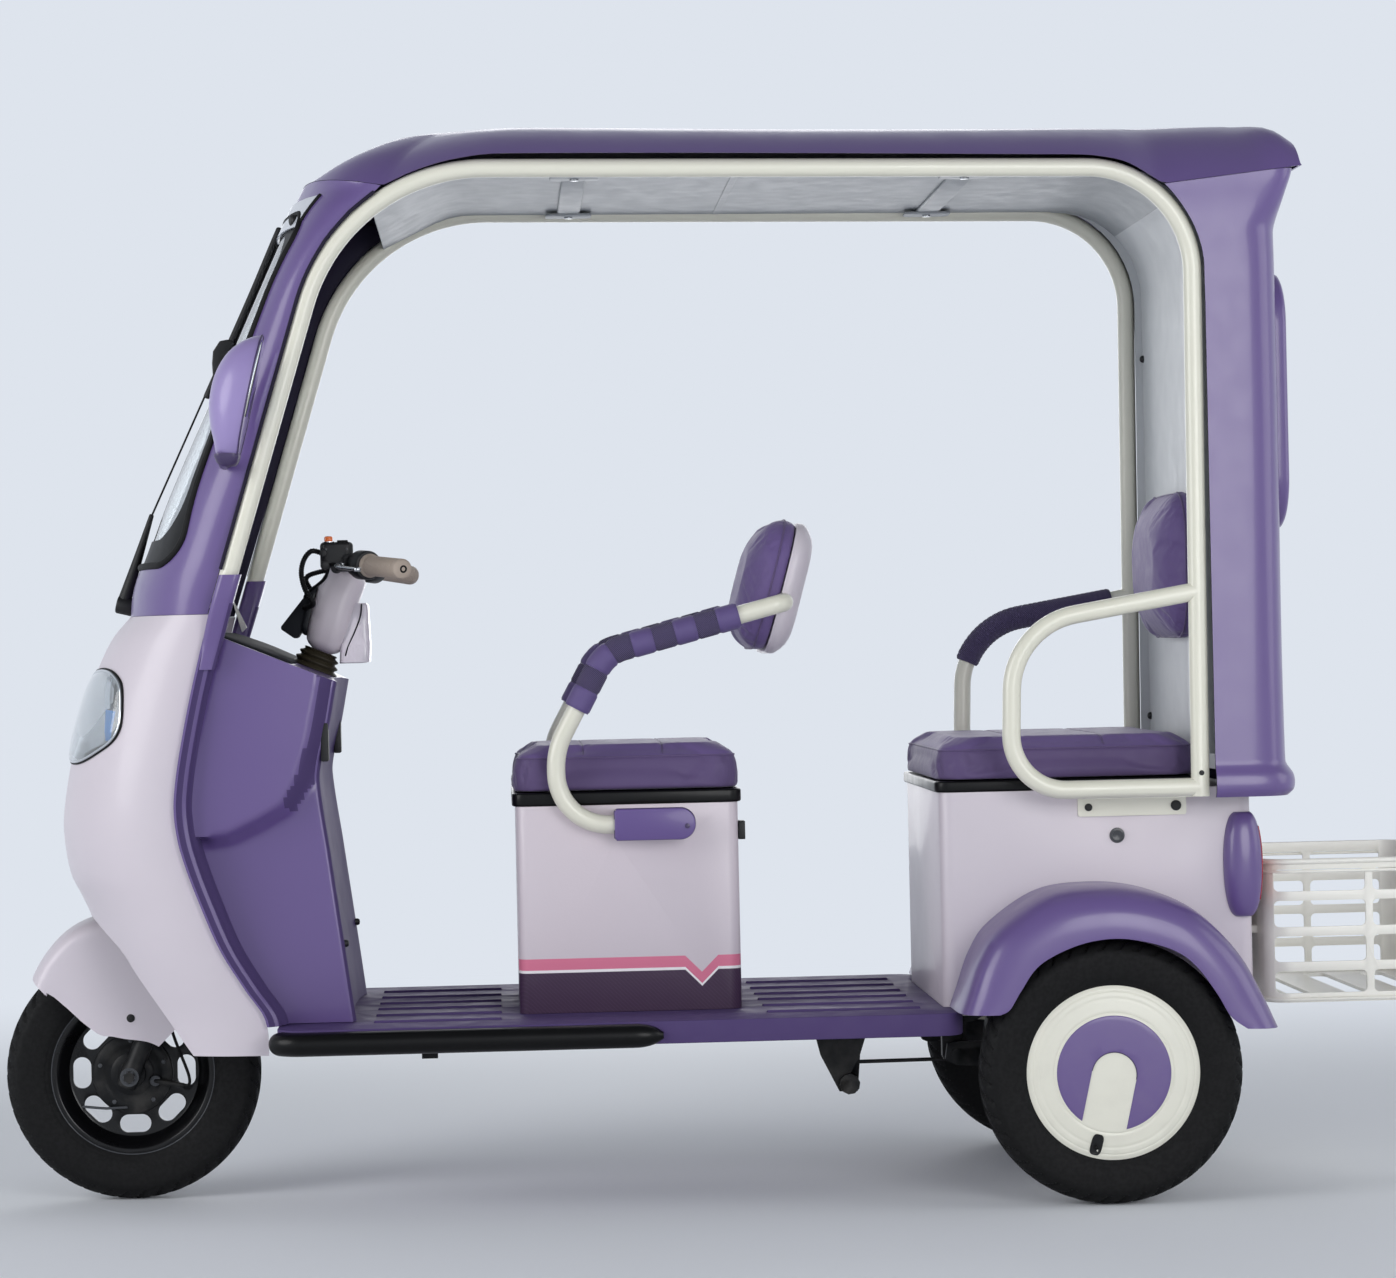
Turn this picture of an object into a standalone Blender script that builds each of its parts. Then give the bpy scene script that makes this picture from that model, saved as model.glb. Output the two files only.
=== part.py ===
"""Semi-enclosed electric tricycle, built up from its separate pieces.

Frame: +X runs to the rear, +Y to the rider's right, +Z up, in metres.
The ground is z = 0, and x = 0 is the middle of the overall length.
Run with: blender --background --python part.py
"""
import math

import bmesh
import bpy
from mathutils import Matrix, Vector

# Overall sizes
LENGTH = 2.412
WHEELBASE = 1.580
GAP = 0.0003

# Wheels: 3.00-10 tyres
TYRE_RADIUS = 0.211
TYRE_WIDTH = 0.080
TYRE_WALL = 0.007
RIM_RADIUS = 0.1375
RIM_WELL = 0.012
FRONT_AXLE_X = -LENGTH / 2 + TYRE_RADIUS
REAR_AXLE_X = FRONT_AXLE_X + WHEELBASE
AXLE_Z = TYRE_RADIUS
REAR_TRACK_HALF = 0.385
WHEEL_STEPS = 24
RUNNING_GAP = 0.0015

# Front hub, brake plate and slotted disc
FRONT_AXLE_RADIUS = 0.006
FRONT_HUB_RADIUS = 0.030
FRONT_HUB_HALF = 0.028
FRONT_WEB_HALF = 0.003
SLOT_COUNT = 8
SLOT_RING_RADIUS = 0.0865
SLOT_LENGTH = 0.052
SLOT_WIDTH = 0.030
BRAKE_PLATE_RADIUS = 0.067
BRAKE_PLATE_THICK = 0.009

# Rear wheels
REAR_CAP_RADIUS = 0.1400
REAR_CAP_DOME = 0.010
REAR_SHAFT_RADIUS = 0.012

# Steering: raked axis through a point above the floor, fork ahead of it
RAKE = math.radians(22.5)
STEER_POINT = Vector((-0.678, 0.0, 0.885))
FORK_LEG_Y = 0.075
STANCHION_RADIUS = 0.012
SLIDER_RADIUS = 0.0165
SLIDER_LENGTH = 0.235
FORK_TRAVEL = 0.030
CROWN_HEIGHT = 0.385
CROWN_THICK = 0.026
STEM_RADIUS = 0.0125
HEAD_TUBE_RADIUS = 0.021

# Floor and under-frame
FLOOR_TOP = 0.3075
FLOOR_THICK = 0.007
FLOOR_SKIRT = 0.036
FLOOR_HALF_WIDTH = 0.374
FLOOR_FRONT_X = -0.737
FLOOR_REAR_X = 0.3350
RAIL_RADIUS = 0.0145
RAIL_Y = 0.170
RAIL_RISE = 0.052
BUMPER_REAR_X = -0.125
BUMPER_THICK = 0.022
BUMPER_HEIGHT = 0.038
BUMPER_Z = 0.2855
FLOOR_CORNER = 0.045
FLOOR_WING_X = 0.357

# Rear suspension
PIVOT_X = 0.360
PIVOT_Z = 0.226
PIVOT_PIN_RADIUS = 0.008
ARM_Y = 0.197
ARM_THICK = 0.014
AXLE_TUBE_RADIUS = 0.026
SHOCK_X = 0.665
SHOCK_Y = 0.215

# Rear box and its seat
BOX_FRONT_X = FLOOR_REAR_X
BOX_REAR_X = 0.8450
BOX_HALF_WIDTH = 0.260
BOX_BOTTOM = 0.292
BOX_TOP = 0.6540
BOX_FLOOR = 0.372
WALL = 0.004
REAR_PAN_THICK = 0.018
REAR_CUSHION_HEIGHT = 0.066
REAR_CUSHION_REAR_X = 0.7650
SEAT_OVERHANG = 0.008

# Driver's seat
SEAT_BOX_FRONT_X = -0.351
SEAT_BOX_REAR_X = 0.0120
SEAT_BOX_HALF_WIDTH = 0.200
SEAT_BOX_TOP = 0.6450
SEAT_PAN_THICK = 0.0215
SEAT_CUSHION_HEIGHT = 0.072

# Driver's arm and backrest frame
ARM_TUBE_RADIUS = 0.0150
ARM_TUBE_Y = 0.2240
SLEEVE_RADIUS = 0.0215
ARM_COVER_LENGTH = 0.128
ARM_COVER_HEIGHT = 0.048

# Canopy hoops
HOOP_Y = 0.3350
HOOP_RADIUS = 0.0148
HOOP_TOP_FRONT_Z = 1.672
HOOP_TOP_REAR_Z = 1.653
HOOP_FRONT_X = -0.6026
HOOP_REAR_X = 0.7540
HOOP_POST_LEAN = 0.3045
HOOP_FRONT_BEND = 0.300
HOOP_REAR_BEND = 0.170
HOOP_FOOT_Z = 0.945
REAR_POST_FOOT_Z = 0.657

# Body shells
SHELL = 0.004
NOSE_HALF_WIDTH = 0.315
FLANGE_HALF_WIDTH = 0.326
FLANGE_DEPTH = 0.021
ROOF_HALF_WIDTH = 0.362
ROOF_REAR_X = 0.9460
PANEL_HALF_WIDTH = 0.352
PANEL_REAR_X = 0.9040
PANEL_BOTTOM = 0.640
LINER_WALL_X = 0.7800
PILLAR_HALF_WIDTH = 0.346
WINDOW_HALF_WIDTH = 0.300

# Handlebar
BAR_RADIUS = 0.011
BAR_CENTRE = Vector((-0.612, 0.0, 1.048))
BAR_BEND_Y = 0.125
BAR_END = Vector((-0.5245, 0.290, 1.0345))
GRIP_RADIUS = 0.0165
GRIP_LENGTH = 0.118

# Basket
BASKET_FRONT_X = 0.8680
BASKET_REAR_X = LENGTH / 2
BASKET_HALF_WIDTH = 0.250
BASKET_BOTTOM = 0.298
BASKET_TOP = 0.532
BASKET_WALL = 0.006

# Finishes: colour, roughness, metallic
FINISHES = {
    "purple": ((121, 98, 166), 0.30, 0.0),
    "dark_purple": ((78, 62, 110), 0.45, 0.0),
    "pale_shell": ((226, 216, 226), 0.28, 0.0),
    "cream": ((236, 231, 217), 0.35, 0.0),
    "black_steel": ((24, 25, 27), 0.40, 0.6),
    "black_plastic": ((18, 18, 20), 0.30, 0.0),
    "rubber": ((32, 33, 35), 0.75, 0.0),
    "steel": ((150, 152, 156), 0.30, 1.0),
    "clear": ((205, 215, 222), 0.08, 0.0),
    "liner": ((176, 181, 184), 0.55, 0.0),
    "vinyl": ((112, 88, 148), 0.50, 0.0),
    "grip": ((168, 154, 142), 0.60, 0.0),
    "orange": ((236, 122, 60), 0.35, 0.0),
    "battery": ((60, 64, 70), 0.55, 0.0),
}


def clear_scene():
    """Start from an empty scene."""
    for old in list(bpy.data.objects):
        bpy.data.objects.remove(old, do_unlink=True)


def material(name, finish):
    """A Principled material for one piece: 8-bit colour, roughness and metallic value."""
    colour, roughness, metallic = FINISHES[finish]
    made = bpy.data.materials.new(name)
    made.use_nodes = True
    shader = made.node_tree.nodes["Principled BSDF"]
    shader.inputs["Base Color"].default_value = (*((part / 255) ** 2.2 for part in colour), 1.0)
    shader.inputs["Roughness"].default_value = roughness
    shader.inputs["Metallic"].default_value = metallic
    return made


def add_object(name, mesh, finish, round_edges=40.0):
    """Put a mesh in the scene, outward facing and shaded smooth."""
    work = bmesh.new()
    work.from_mesh(mesh)
    bmesh.ops.remove_doubles(work, verts=work.verts, dist=1e-6)
    bmesh.ops.recalc_face_normals(work, faces=work.faces)
    work.to_mesh(mesh)
    work.free()
    mesh.shade_smooth()
    mesh.set_sharp_from_angle(angle=math.radians(round_edges))
    made = bpy.data.objects.new(name, mesh)
    bpy.context.scene.collection.objects.link(made)
    made.data.materials.clear()
    if finish:
        made.data.materials.append(material(name, finish))
    return made


def make_mesh(name, points, faces):
    """A mesh from a list of points and a list of faces."""
    mesh = bpy.data.meshes.new(name)
    mesh.from_pydata([tuple(point) for point in points], [], faces)
    return mesh


def combine(target, others, operation="UNION"):
    """Apply Boolean operations with other objects, which are then removed."""
    for other in others:
        step = target.modifiers.new("combine", "BOOLEAN")
        step.operation = operation
        step.object = other
    bpy.context.view_layer.update()
    evaluated = target.evaluated_get(bpy.context.evaluated_depsgraph_get())
    baked = bpy.data.meshes.new_from_object(evaluated)
    finish = target.data.materials[0] if len(target.data.materials) else None
    target.modifiers.clear()
    target.data = baked
    baked.materials.clear()
    if finish:
        baked.materials.append(finish)
    for face in baked.polygons:
        face.material_index = 0
    baked.shade_smooth()
    baked.set_sharp_from_angle(angle=math.radians(40.0))
    for other in others:
        bpy.data.objects.remove(other, do_unlink=True)
    return target


def cut(target, cutters):
    """Take the cutters out of the target."""
    return combine(target, cutters, "DIFFERENCE")


def between(start, end, count):
    """Evenly spaced values from start to end."""
    return [start + (end - start) * step / (count - 1) for step in range(count)]


def smooth_value(knots, at):
    """Value at a place on the smooth curve through (place, value) knots."""
    places = [knot[0] for knot in knots]
    values = [knot[1] for knot in knots]
    if at <= places[0]:
        return values[0]
    if at >= places[-1]:
        return values[-1]
    index = max(i for i in range(len(places) - 1) if places[i] <= at)

    def slope(i):
        low, high = max(i - 1, 0), min(i + 1, len(places) - 1)
        return (values[high] - values[low]) / (places[high] - places[low])

    span = places[index + 1] - places[index]
    t = (at - places[index]) / span
    rise_start, rise_end = slope(index) * span, slope(index + 1) * span
    return ((2 * t ** 3 - 3 * t ** 2 + 1) * values[index] + (t ** 3 - 2 * t ** 2 + t) * rise_start
            + (3 * t ** 2 - 2 * t ** 3) * values[index + 1] + (t ** 3 - t ** 2) * rise_end)


def bent_path(corners, radii, steps=6):
    """A path of straight runs joined by arcs, as a tube bender makes it."""
    corners = [Vector(corner) for corner in corners]
    if not isinstance(radii, (list, tuple)):
        radii = [radii] * (len(corners) - 2)
    path = [corners[0]]
    for before, corner, after, radius in zip(corners, corners[1:], corners[2:], radii):
        back = (before - corner).normalized()
        ahead = (after - corner).normalized()
        half = back.angle(ahead) / 2
        reach = radius / math.tan(half)
        centre = corner + (back + ahead).normalized() * (radius / math.sin(half))
        start = corner + back * reach - centre
        axis = back.cross(ahead).normalized()
        turn = -(math.pi - 2 * half)
        for step in range(steps + 1):
            path.append(centre + Matrix.Rotation(turn * step / steps, 3, axis) @ start)
    path.append(corners[-1])
    return path


def tube_rings(path, radius, sides, twist=0.5):
    """Rings of points round a path, turned as little as possible along it."""
    path = [Vector(point) for point in path]
    rings = []
    normal = None
    for index, point in enumerate(path):
        ahead = path[min(index + 1, len(path) - 1)] - point
        behind = point - path[max(index - 1, 0)]
        along = (ahead.normalized() + behind.normalized()).normalized()
        if normal is None:
            normal = along.orthogonal().normalized()
        normal = (normal - along * normal.dot(along)).normalized()
        side = along.cross(normal)
        width = radius(index / (len(path) - 1)) if callable(radius) else radius
        rings.append([point + (normal * math.cos(turn) + side * math.sin(turn)) * width
                      for turn in (2 * math.pi * (step + twist) / sides for step in range(sides))])
    return rings


def loft(name, rings, finish, closed_path=False):
    """A solid skinned over rings of equal point count, with flat ends."""
    count = len(rings[0])
    points = [point for ring in rings for point in ring]
    faces = []
    for row in range(len(rings) - (0 if closed_path else 1)):
        following = (row + 1) % len(rings)
        for step in range(count):
            turn = (step + 1) % count
            faces.append((row * count + step, row * count + turn, following * count + turn,
                          following * count + step))
    if not closed_path:
        faces.append(tuple(reversed(range(count))))
        faces.append(tuple((len(rings) - 1) * count + step for step in range(count)))
    return add_object(name, make_mesh(name, points, faces), finish)


def tube(name, path, radius, finish, sides=8):
    """A round bar along a path."""
    return loft(name, tube_rings(path, radius, sides), finish)


def sheet(name, outer, inner, finish, folded=False):
    """A thick sheet between two grids of points of the same size; a folded one's last row doubles back on itself."""
    rows, columns = len(outer), len(outer[0])
    points = [point for row in outer for point in row] + [point for row in inner for point in row]
    shift = rows * columns

    def at(row, column):
        return row * columns + column

    faces = []
    for row in range(rows - 1):
        for column in range(columns - 1):
            face = (at(row, column), at(row, column + 1), at(row + 1, column + 1), at(row + 1, column))
            faces.append(face)
            faces.append(tuple(shift + corner for corner in reversed(face)))
    edge = [at(0, column) for column in range(columns)]
    edge += [at(row, columns - 1) for row in range(1, rows)]
    edge += [at(rows - 1, column) for column in range(columns - 2, -1, -1)]
    edge += [at(row, 0) for row in range(rows - 2, 0, -1)]
    last = at(rows - 1, 0)
    for start, end in zip(edge, edge[1:] + edge[:1]):
        if not (folded and start >= last and end >= last):
            faces.append((end, start, shift + start, shift + end))
    return add_object(name, make_mesh(name, points, faces), finish)


def lathe(name, profile, centre, finish, axis=(0, 1, 0), steps=WHEEL_STEPS):
    """A turned solid: profile pairs are (radius, distance along the axis)."""
    centre, axis = Vector(centre), Vector(axis).normalized()
    side = axis.orthogonal().normalized()
    up = axis.cross(side)
    rings = []
    for radius, along in profile:
        rings.append([centre + axis * along + (side * math.cos(turn) + up * math.sin(turn)) * radius
                      for turn in (2 * math.pi * step / steps for step in range(steps))])
    closed = min(profile[0][0], profile[-1][0]) > 0
    points = [point for ring in rings for point in ring]
    faces = []
    for row in range(len(rings) - (0 if closed else 1)):
        following = (row + 1) % len(rings)
        for step in range(steps):
            turn = (step + 1) % steps
            faces.append((row * steps + step, row * steps + turn, following * steps + turn,
                          following * steps + step))
    return add_object(name, make_mesh(name, points, faces), finish)


def disc(name, centre, radius, half, finish, axis=(0, 1, 0), steps=24):
    """A plain cylinder about a centre."""
    return lathe(name, [(0, -half), (radius, -half), (radius, half), (0, half)], centre, finish, axis, steps)


def rounded_outline(low, high, radius, steps=4):
    """Corner-rounded rectangle as (a, b) pairs, anticlockwise."""
    outline = []
    for centre_a, centre_b, first in ((high[0] - radius, high[1] - radius, 0),
                                      (low[0] + radius, high[1] - radius, 1),
                                      (low[0] + radius, low[1] + radius, 2),
                                      (high[0] - radius, low[1] + radius, 3)):
        for step in range(steps + 1):
            turn = math.pi / 2 * (first + step / steps)
            outline.append((centre_a + radius * math.cos(turn), centre_b + radius * math.sin(turn)))
    return outline


def block(name, low, high, finish, radius=0.0, axis="Z", steps=3):
    """A box, or a box with the four edges along one axis rounded."""
    order = {"X": (1, 2, 0), "Y": (2, 0, 1), "Z": (0, 1, 2)}[axis]
    start, end = (low[order[0]], low[order[1]]), (high[order[0]], high[order[1]])
    if radius > 0:
        outline = rounded_outline(start, end, radius, steps)
    else:
        outline = [(start[0], start[1]), (end[0], start[1]), (end[0], end[1]), (start[0], end[1])]
    return prism(name, outline, low[order[2]], high[order[2]], finish, axis)


def prism(name, outline, start, end, finish, axis="Y"):
    """A flat outline of (a, b) pairs drawn out along an axis; it may run round either way."""
    area = sum(a[0] * b[1] - b[0] * a[1] for a, b in zip(outline, outline[1:] + outline[:1]))
    if area < 0:
        outline = outline[::-1]
    order = {"X": (1, 2, 0), "Y": (2, 0, 1), "Z": (0, 1, 2)}[axis]

    def place(a, b, along):
        point = [0.0, 0.0, 0.0]
        point[order[0]], point[order[1]], point[order[2]] = a, b, along
        return Vector(point)

    rings = [[place(a, b, along) for a, b in outline] for along in (start, end)]
    return loft(name, rings, finish)


def side_prism(name, outline, start, end, finish):
    """A side-view outline of (x, z) pairs drawn out along Y."""
    return prism(name, [(z, x) for x, z in outline], start, end, finish, "Y")


def steer_axis(height):
    """The point of the steering axis at a height above the ground."""
    return Vector((STEER_POINT.x + math.tan(RAKE) * (height - STEER_POINT.z), 0.0, height))


RAKE_UP = Vector((math.sin(RAKE), 0.0, math.cos(RAKE)))
FRONT_AXLE = Vector((FRONT_AXLE_X, 0.0, AXLE_Z))
REAR_AXLE = Vector((REAR_AXLE_X, 0.0, AXLE_Z))
SIDES = (("left", -1), ("right", 1))


def carried(body, pivot, pieces, parent=None):
    """An empty on a joint's axis that carries the pieces of one body."""
    empty = bpy.data.objects.new(body, None)
    bpy.context.scene.collection.objects.link(empty)
    empty.parent = parent
    pivot = Vector(pivot)
    empty["pivot"] = tuple(pivot)
    empty.location = pivot - (Vector(parent["pivot"]) if parent else Vector())
    for piece in pieces:
        piece.data.transform(Matrix.Translation(-pivot))
        piece.parent = empty
    return empty


def fork_frame(ahead, across, along):
    """A point in the fork's frame: behind the axle, across, and up the rake."""
    return FRONT_AXLE + Vector((math.cos(RAKE), 0.0, -math.sin(RAKE))) * ahead + Vector((0, across, 0)) + RAKE_UP * along


def along_rake(point):
    """How far up the rake from the front axle a point lies."""
    return (Vector(point) - FRONT_AXLE).dot(RAKE_UP)


STEER_OFFSET = (STEER_POINT - FRONT_AXLE).dot(Vector((math.cos(RAKE), 0.0, -math.sin(RAKE))))


def tyre(name, centre):
    """A tyre open towards its rim; fractions are of its section height and half width."""
    bead = RIM_RADIUS - 0.009 + GAP
    height = TYRE_RADIUS - bead
    half = TYRE_WIDTH / 2
    outside = [(0.0, 0.60), (0.42, 0.97), (0.72, 0.98), (0.95, 0.56)]
    inside = [(0.0, 0.42)]
    profile = [(bead + height * up, -half * wide) for up, wide in outside]
    profile += [(TYRE_RADIUS, 0.0)]
    profile += [(bead + height * up, half * wide) for up, wide in reversed(outside)]
    profile += [(bead + height * up, half * wide) for up, wide in inside]
    profile += [(TYRE_RADIUS - TYRE_WALL, 0.0)]
    profile += [(bead + height * up, -half * wide) for up, wide in reversed(inside)]
    return lathe(name, profile, centre, "rubber")


def rim_outside(half):
    """The tyre side of a rim, from one flange to the other."""
    seat, well = RIM_RADIUS - 0.009, RIM_RADIUS - 0.009 - RIM_WELL
    side = [(RIM_RADIUS, half), (seat, half - 0.0029), (well, 0.008)]
    return [(radius, -along) for radius, along in side] + [(radius, along) for radius, along in reversed(side)]


def front_wheel():
    """Front tyre, and the slotted rim with its hub."""
    half = 0.0285
    bore = FRONT_AXLE_RADIUS + RUNNING_GAP
    inner = RIM_RADIUS - 0.009 - RIM_WELL - 0.004
    web = inner - 0.006
    right = [(RIM_RADIUS - 0.012, half), (web, FRONT_WEB_HALF), (FRONT_HUB_RADIUS + 0.002, FRONT_WEB_HALF),
             (FRONT_HUB_RADIUS, FRONT_HUB_HALF), (bore, FRONT_HUB_HALF)]
    profile = rim_outside(half) + right + [(radius, -along) for radius, along in reversed(right)]
    rim = lathe("front_rim", profile, FRONT_AXLE, "black_steel")
    straight = SLOT_LENGTH - SLOT_WIDTH
    slots = []
    for index in range(SLOT_COUNT):
        slot = block("slot", (-SLOT_WIDTH / 2, -0.02, -straight / 2 - SLOT_WIDTH / 2),
                     (SLOT_WIDTH / 2, 0.02, straight / 2 + SLOT_WIDTH / 2), None, SLOT_WIDTH / 2 - 1e-5, "Y", 2)
        turn = Matrix.Rotation(2 * math.pi * index / SLOT_COUNT, 4, "Y")
        slot.data.transform(Matrix.Translation(FRONT_AXLE) @ turn @ Matrix.Translation((SLOT_RING_RADIUS, 0, 0)))
        slots.append(slot)
    return [tyre("front_tyre", FRONT_AXLE), cut(rim, slots)]


def front_axle():
    """Spindle with nuts, spacers and the fixed brake plate on its left."""
    leg_inner = FORK_LEG_Y - SLIDER_RADIUS - GAP
    leg_outer = FORK_LEG_Y + SLIDER_RADIUS + GAP
    plate_inner = -FRONT_HUB_HALF - RUNNING_GAP
    plate_outer = plate_inner - BRAKE_PLATE_THICK
    spindle, spacer = FRONT_AXLE_RADIUS, FRONT_AXLE_RADIUS + 0.004
    nut = leg_outer + 0.008
    profile = [(0, -nut), (spacer, -nut), (spacer, -leg_outer), (spindle, -leg_outer), (spindle, -leg_inner),
               (spacer, -leg_inner), (spacer, plate_outer), (BRAKE_PLATE_RADIUS, plate_outer),
               (BRAKE_PLATE_RADIUS, plate_inner), (spindle, plate_inner), (spindle, FRONT_HUB_HALF + GAP),
               (spacer, FRONT_HUB_HALF + GAP), (spacer, leg_inner), (spindle, leg_inner),
               (spindle, leg_outer), (spacer, leg_outer), (spacer, nut), (0, nut)]
    return lathe("front_axle", profile, FRONT_AXLE, "black_steel", steps=10)


def fork_slider(side_name, side):
    """Lower fork leg: a blind bore for the stanchion and a cross hole for the spindle."""
    bore = (STANCHION_RADIUS + GAP) / math.cos(math.pi / 14)
    floor = 0.038
    profile = [(0, -0.020), (SLIDER_RADIUS, -0.020), (SLIDER_RADIUS, SLIDER_LENGTH), (bore, SLIDER_LENGTH),
               (bore, floor), (0, floor)]
    name = "fork_slider_" + side_name
    leg = lathe(name, profile, fork_frame(0, side * FORK_LEG_Y, 0), "black_steel", RAKE_UP, 14)
    hole_radius = (FRONT_AXLE_RADIUS + GAP) / math.cos(math.pi / 12)
    hole = disc("hole", fork_frame(0, side * FORK_LEG_Y, 0), hole_radius, 0.05, None, steps=12)
    return cut(leg, [hole])


FENDER_WALL = 0.0025
FENDER_HALF_WIDTH = FORK_LEG_Y + SLIDER_RADIUS + RUNNING_GAP + FENDER_WALL
# Mudguard rows from front to rear: angle from the vertical, outer radius, radius of the skirt's lower edge
FENDER_ROWS = [(-44, 0.231, 0.222), (-41, 0.236, 0.170), (-39, 0.239, 0.122), (-34, 0.247, 0.088), (-21, 0.264, 0.073),
               (-5, 0.268, 0.064), (12, 0.262, 0.0625), (30, 0.252, 0.066), (45, 0.244, 0.070)]


def front_fender():
    """Mudguard over the front tyre with side skirts outside the fork legs."""
    outer, inner = [], []
    for degrees, crown, low in FENDER_ROWS:
        turn = math.radians(degrees)
        for rows, wall in ((outer, 0.0), (inner, FENDER_WALL)):
            half = FENDER_HALF_WIDTH - wall
            top = crown - wall
            shoulder = top - 0.034
            low_edge = min(low, shoulder - 0.004)
            section = [(-half, low_edge), (-half, (low_edge + shoulder) / 2)]
            for step in range(7):
                lean = math.pi * (1 - step / 6)
                across = half * abs(math.cos(lean)) ** 0.6 * math.copysign(1, math.cos(lean))
                section.append((across, shoulder + 0.034 * math.sin(lean) ** 0.7))
            section += [(half, (low_edge + shoulder) / 2), (half, low_edge)]
            rows.append([FRONT_AXLE + Vector((math.sin(turn) * out, across, math.cos(turn) * out))
                         for across, out in section])
    legs = [tube("leg", [fork_frame(0, side * FORK_LEG_Y, 0.15), fork_frame(0, side * FORK_LEG_Y, 0.40)],
                 SLIDER_RADIUS + RUNNING_GAP * 0.7, None, 12) for name, side in SIDES]
    return cut(sheet("front_fender", outer, inner, "pale_shell"), legs)


def fork_crown():
    """Crown with both stanchions and the steering stem."""
    crown = block("fork_crown", (-0.022, -FORK_LEG_Y - 0.020, 0), (STEER_OFFSET + 0.024, FORK_LEG_Y + 0.020, CROWN_THICK),
                  "black_steel", 0.018, "Z")
    crown.data.transform(Matrix.Translation(fork_frame(0, 0, CROWN_HEIGHT)) @ Matrix.Rotation(RAKE, 4, "Y"))
    legs = [tube("leg", [fork_frame(0, side * FORK_LEG_Y, STANCHION_FOOT), fork_frame(0, side * FORK_LEG_Y, CROWN_HEIGHT + 0.02)],
                 STANCHION_RADIUS, None, 14) for name, side in SIDES]
    stem = tube("stem", [fork_frame(STEER_OFFSET, 0, CROWN_HEIGHT + 0.01), fork_frame(STEER_OFFSET, 0, STEM_TOP)],
                STEM_RADIUS, None, 14)
    return combine(crown, legs + [stem])


STANCHION_FOOT = 0.092
DECK_ALONG = 0.734
BOOT_HEIGHT = 0.032
BOOT_RADIUS = 0.040
STEM_TOP = along_rake(BAR_CENTRE) - 0.028
GRIP_AXIS = Vector((BAR_END.x - BAR_CENTRE.x, BAR_END.y - BAR_BEND_Y, BAR_END.z - BAR_CENTRE.z)).normalized()
POD_RADIUS = 0.024
POD_LENGTH = 0.034


def mirrored(point, side):
    """The point on the wanted side of the middle plane, from its right-hand place."""
    return Vector((point[0], point[1] * side, point[2]))


def grip_axis_point(side, inboard):
    """A point on a grip's axis, measured inboard from the bar's end."""
    return mirrored(BAR_END - GRIP_AXIS * inboard, side)


LEVER_PIVOT_AHEAD = 0.037
LEVER_PIN_RADIUS = 0.003
LEVER_ROOT_HALF = 0.004


def lever_pivot(side):
    """Where a brake lever's pin stands, ahead of its pod."""
    return grip_axis_point(side, GRIP_LENGTH + POD_LENGTH * 0.6) + Vector((-LEVER_PIVOT_AHEAD, 0, 0))


def handlebar():
    """Swept bar with its clamp, two control pods, lever perches and the switch box."""
    bend = Vector((BAR_CENTRE.x, BAR_BEND_Y, BAR_CENTRE.z))
    path = bent_path([mirrored(BAR_END, -1), mirrored(bend, -1), bend, BAR_END], 0.05, 2)
    bar = tube("handlebar", path, BAR_RADIUS, "black_plastic", 8)
    pieces = []
    clamp = block("clamp", (-0.018, -0.030, 0), (0.018, 0.030, 0.045), None, 0.008, "Y", 1)
    clamp.data.transform(Matrix.Translation(fork_frame(STEER_OFFSET, 0, STEM_TOP + GAP)) @ Matrix.Rotation(RAKE, 4, "Y"))
    pieces.append(clamp)
    for name, side in SIDES:
        middle = grip_axis_point(side, GRIP_LENGTH + POD_LENGTH / 2 + RUNNING_GAP)
        pieces.append(disc("pod", middle, POD_RADIUS, POD_LENGTH / 2, None, mirrored(GRIP_AXIS, side), 12))
        pivot = lever_pivot(side)
        perch = block("perch", (pivot.x - 0.009, pivot.y - 0.009, pivot.z - 0.010),
                      (middle.x, pivot.y + 0.009, pivot.z - LEVER_ROOT_HALF - GAP), None, 0.003, "Z", 1)
        pin = disc("pin", pivot, LEVER_PIN_RADIUS, LEVER_ROOT_HALF + 0.0035, None, (0, 0, 1), 10)
        pieces += [perch, pin]
    box = block("switch_box", SWITCH_LOW, SWITCH_HIGH, None, 0.004, "Z", 1)
    combine(bar, pieces + [box])
    well = disc("well", BUTTON_TOP - Vector((0, 0, 0.010)), BUTTON_RADIUS + RUNNING_GAP / 2, 0.010, None, (0, 0, 1), 12)
    return cut(bar, [well])


SWITCH_LOW = Vector((BAR_CENTRE.x - 0.050, -BAR_BEND_Y - 0.014, BAR_CENTRE.z - 0.006))
SWITCH_HIGH = Vector((BAR_CENTRE.x + 0.004, -BAR_BEND_Y + 0.014, BAR_CENTRE.z + 0.036))
BUTTON_RADIUS = 0.0070
BUTTON_TRAVEL = 0.003
BUTTON_TOP = Vector((SWITCH_LOW.x + 0.014, -BAR_BEND_Y, SWITCH_HIGH.z))


def horn_button():
    """Orange push button standing out of the switch box."""
    return lathe("horn_button", [(0, -0.014), (BUTTON_RADIUS, -0.014), (BUTTON_RADIUS, 0.008),
                                 (BUTTON_RADIUS - 0.002, 0.010), (0, 0.010)], BUTTON_TOP, "orange", (0, 0, 1), 12)


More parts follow.
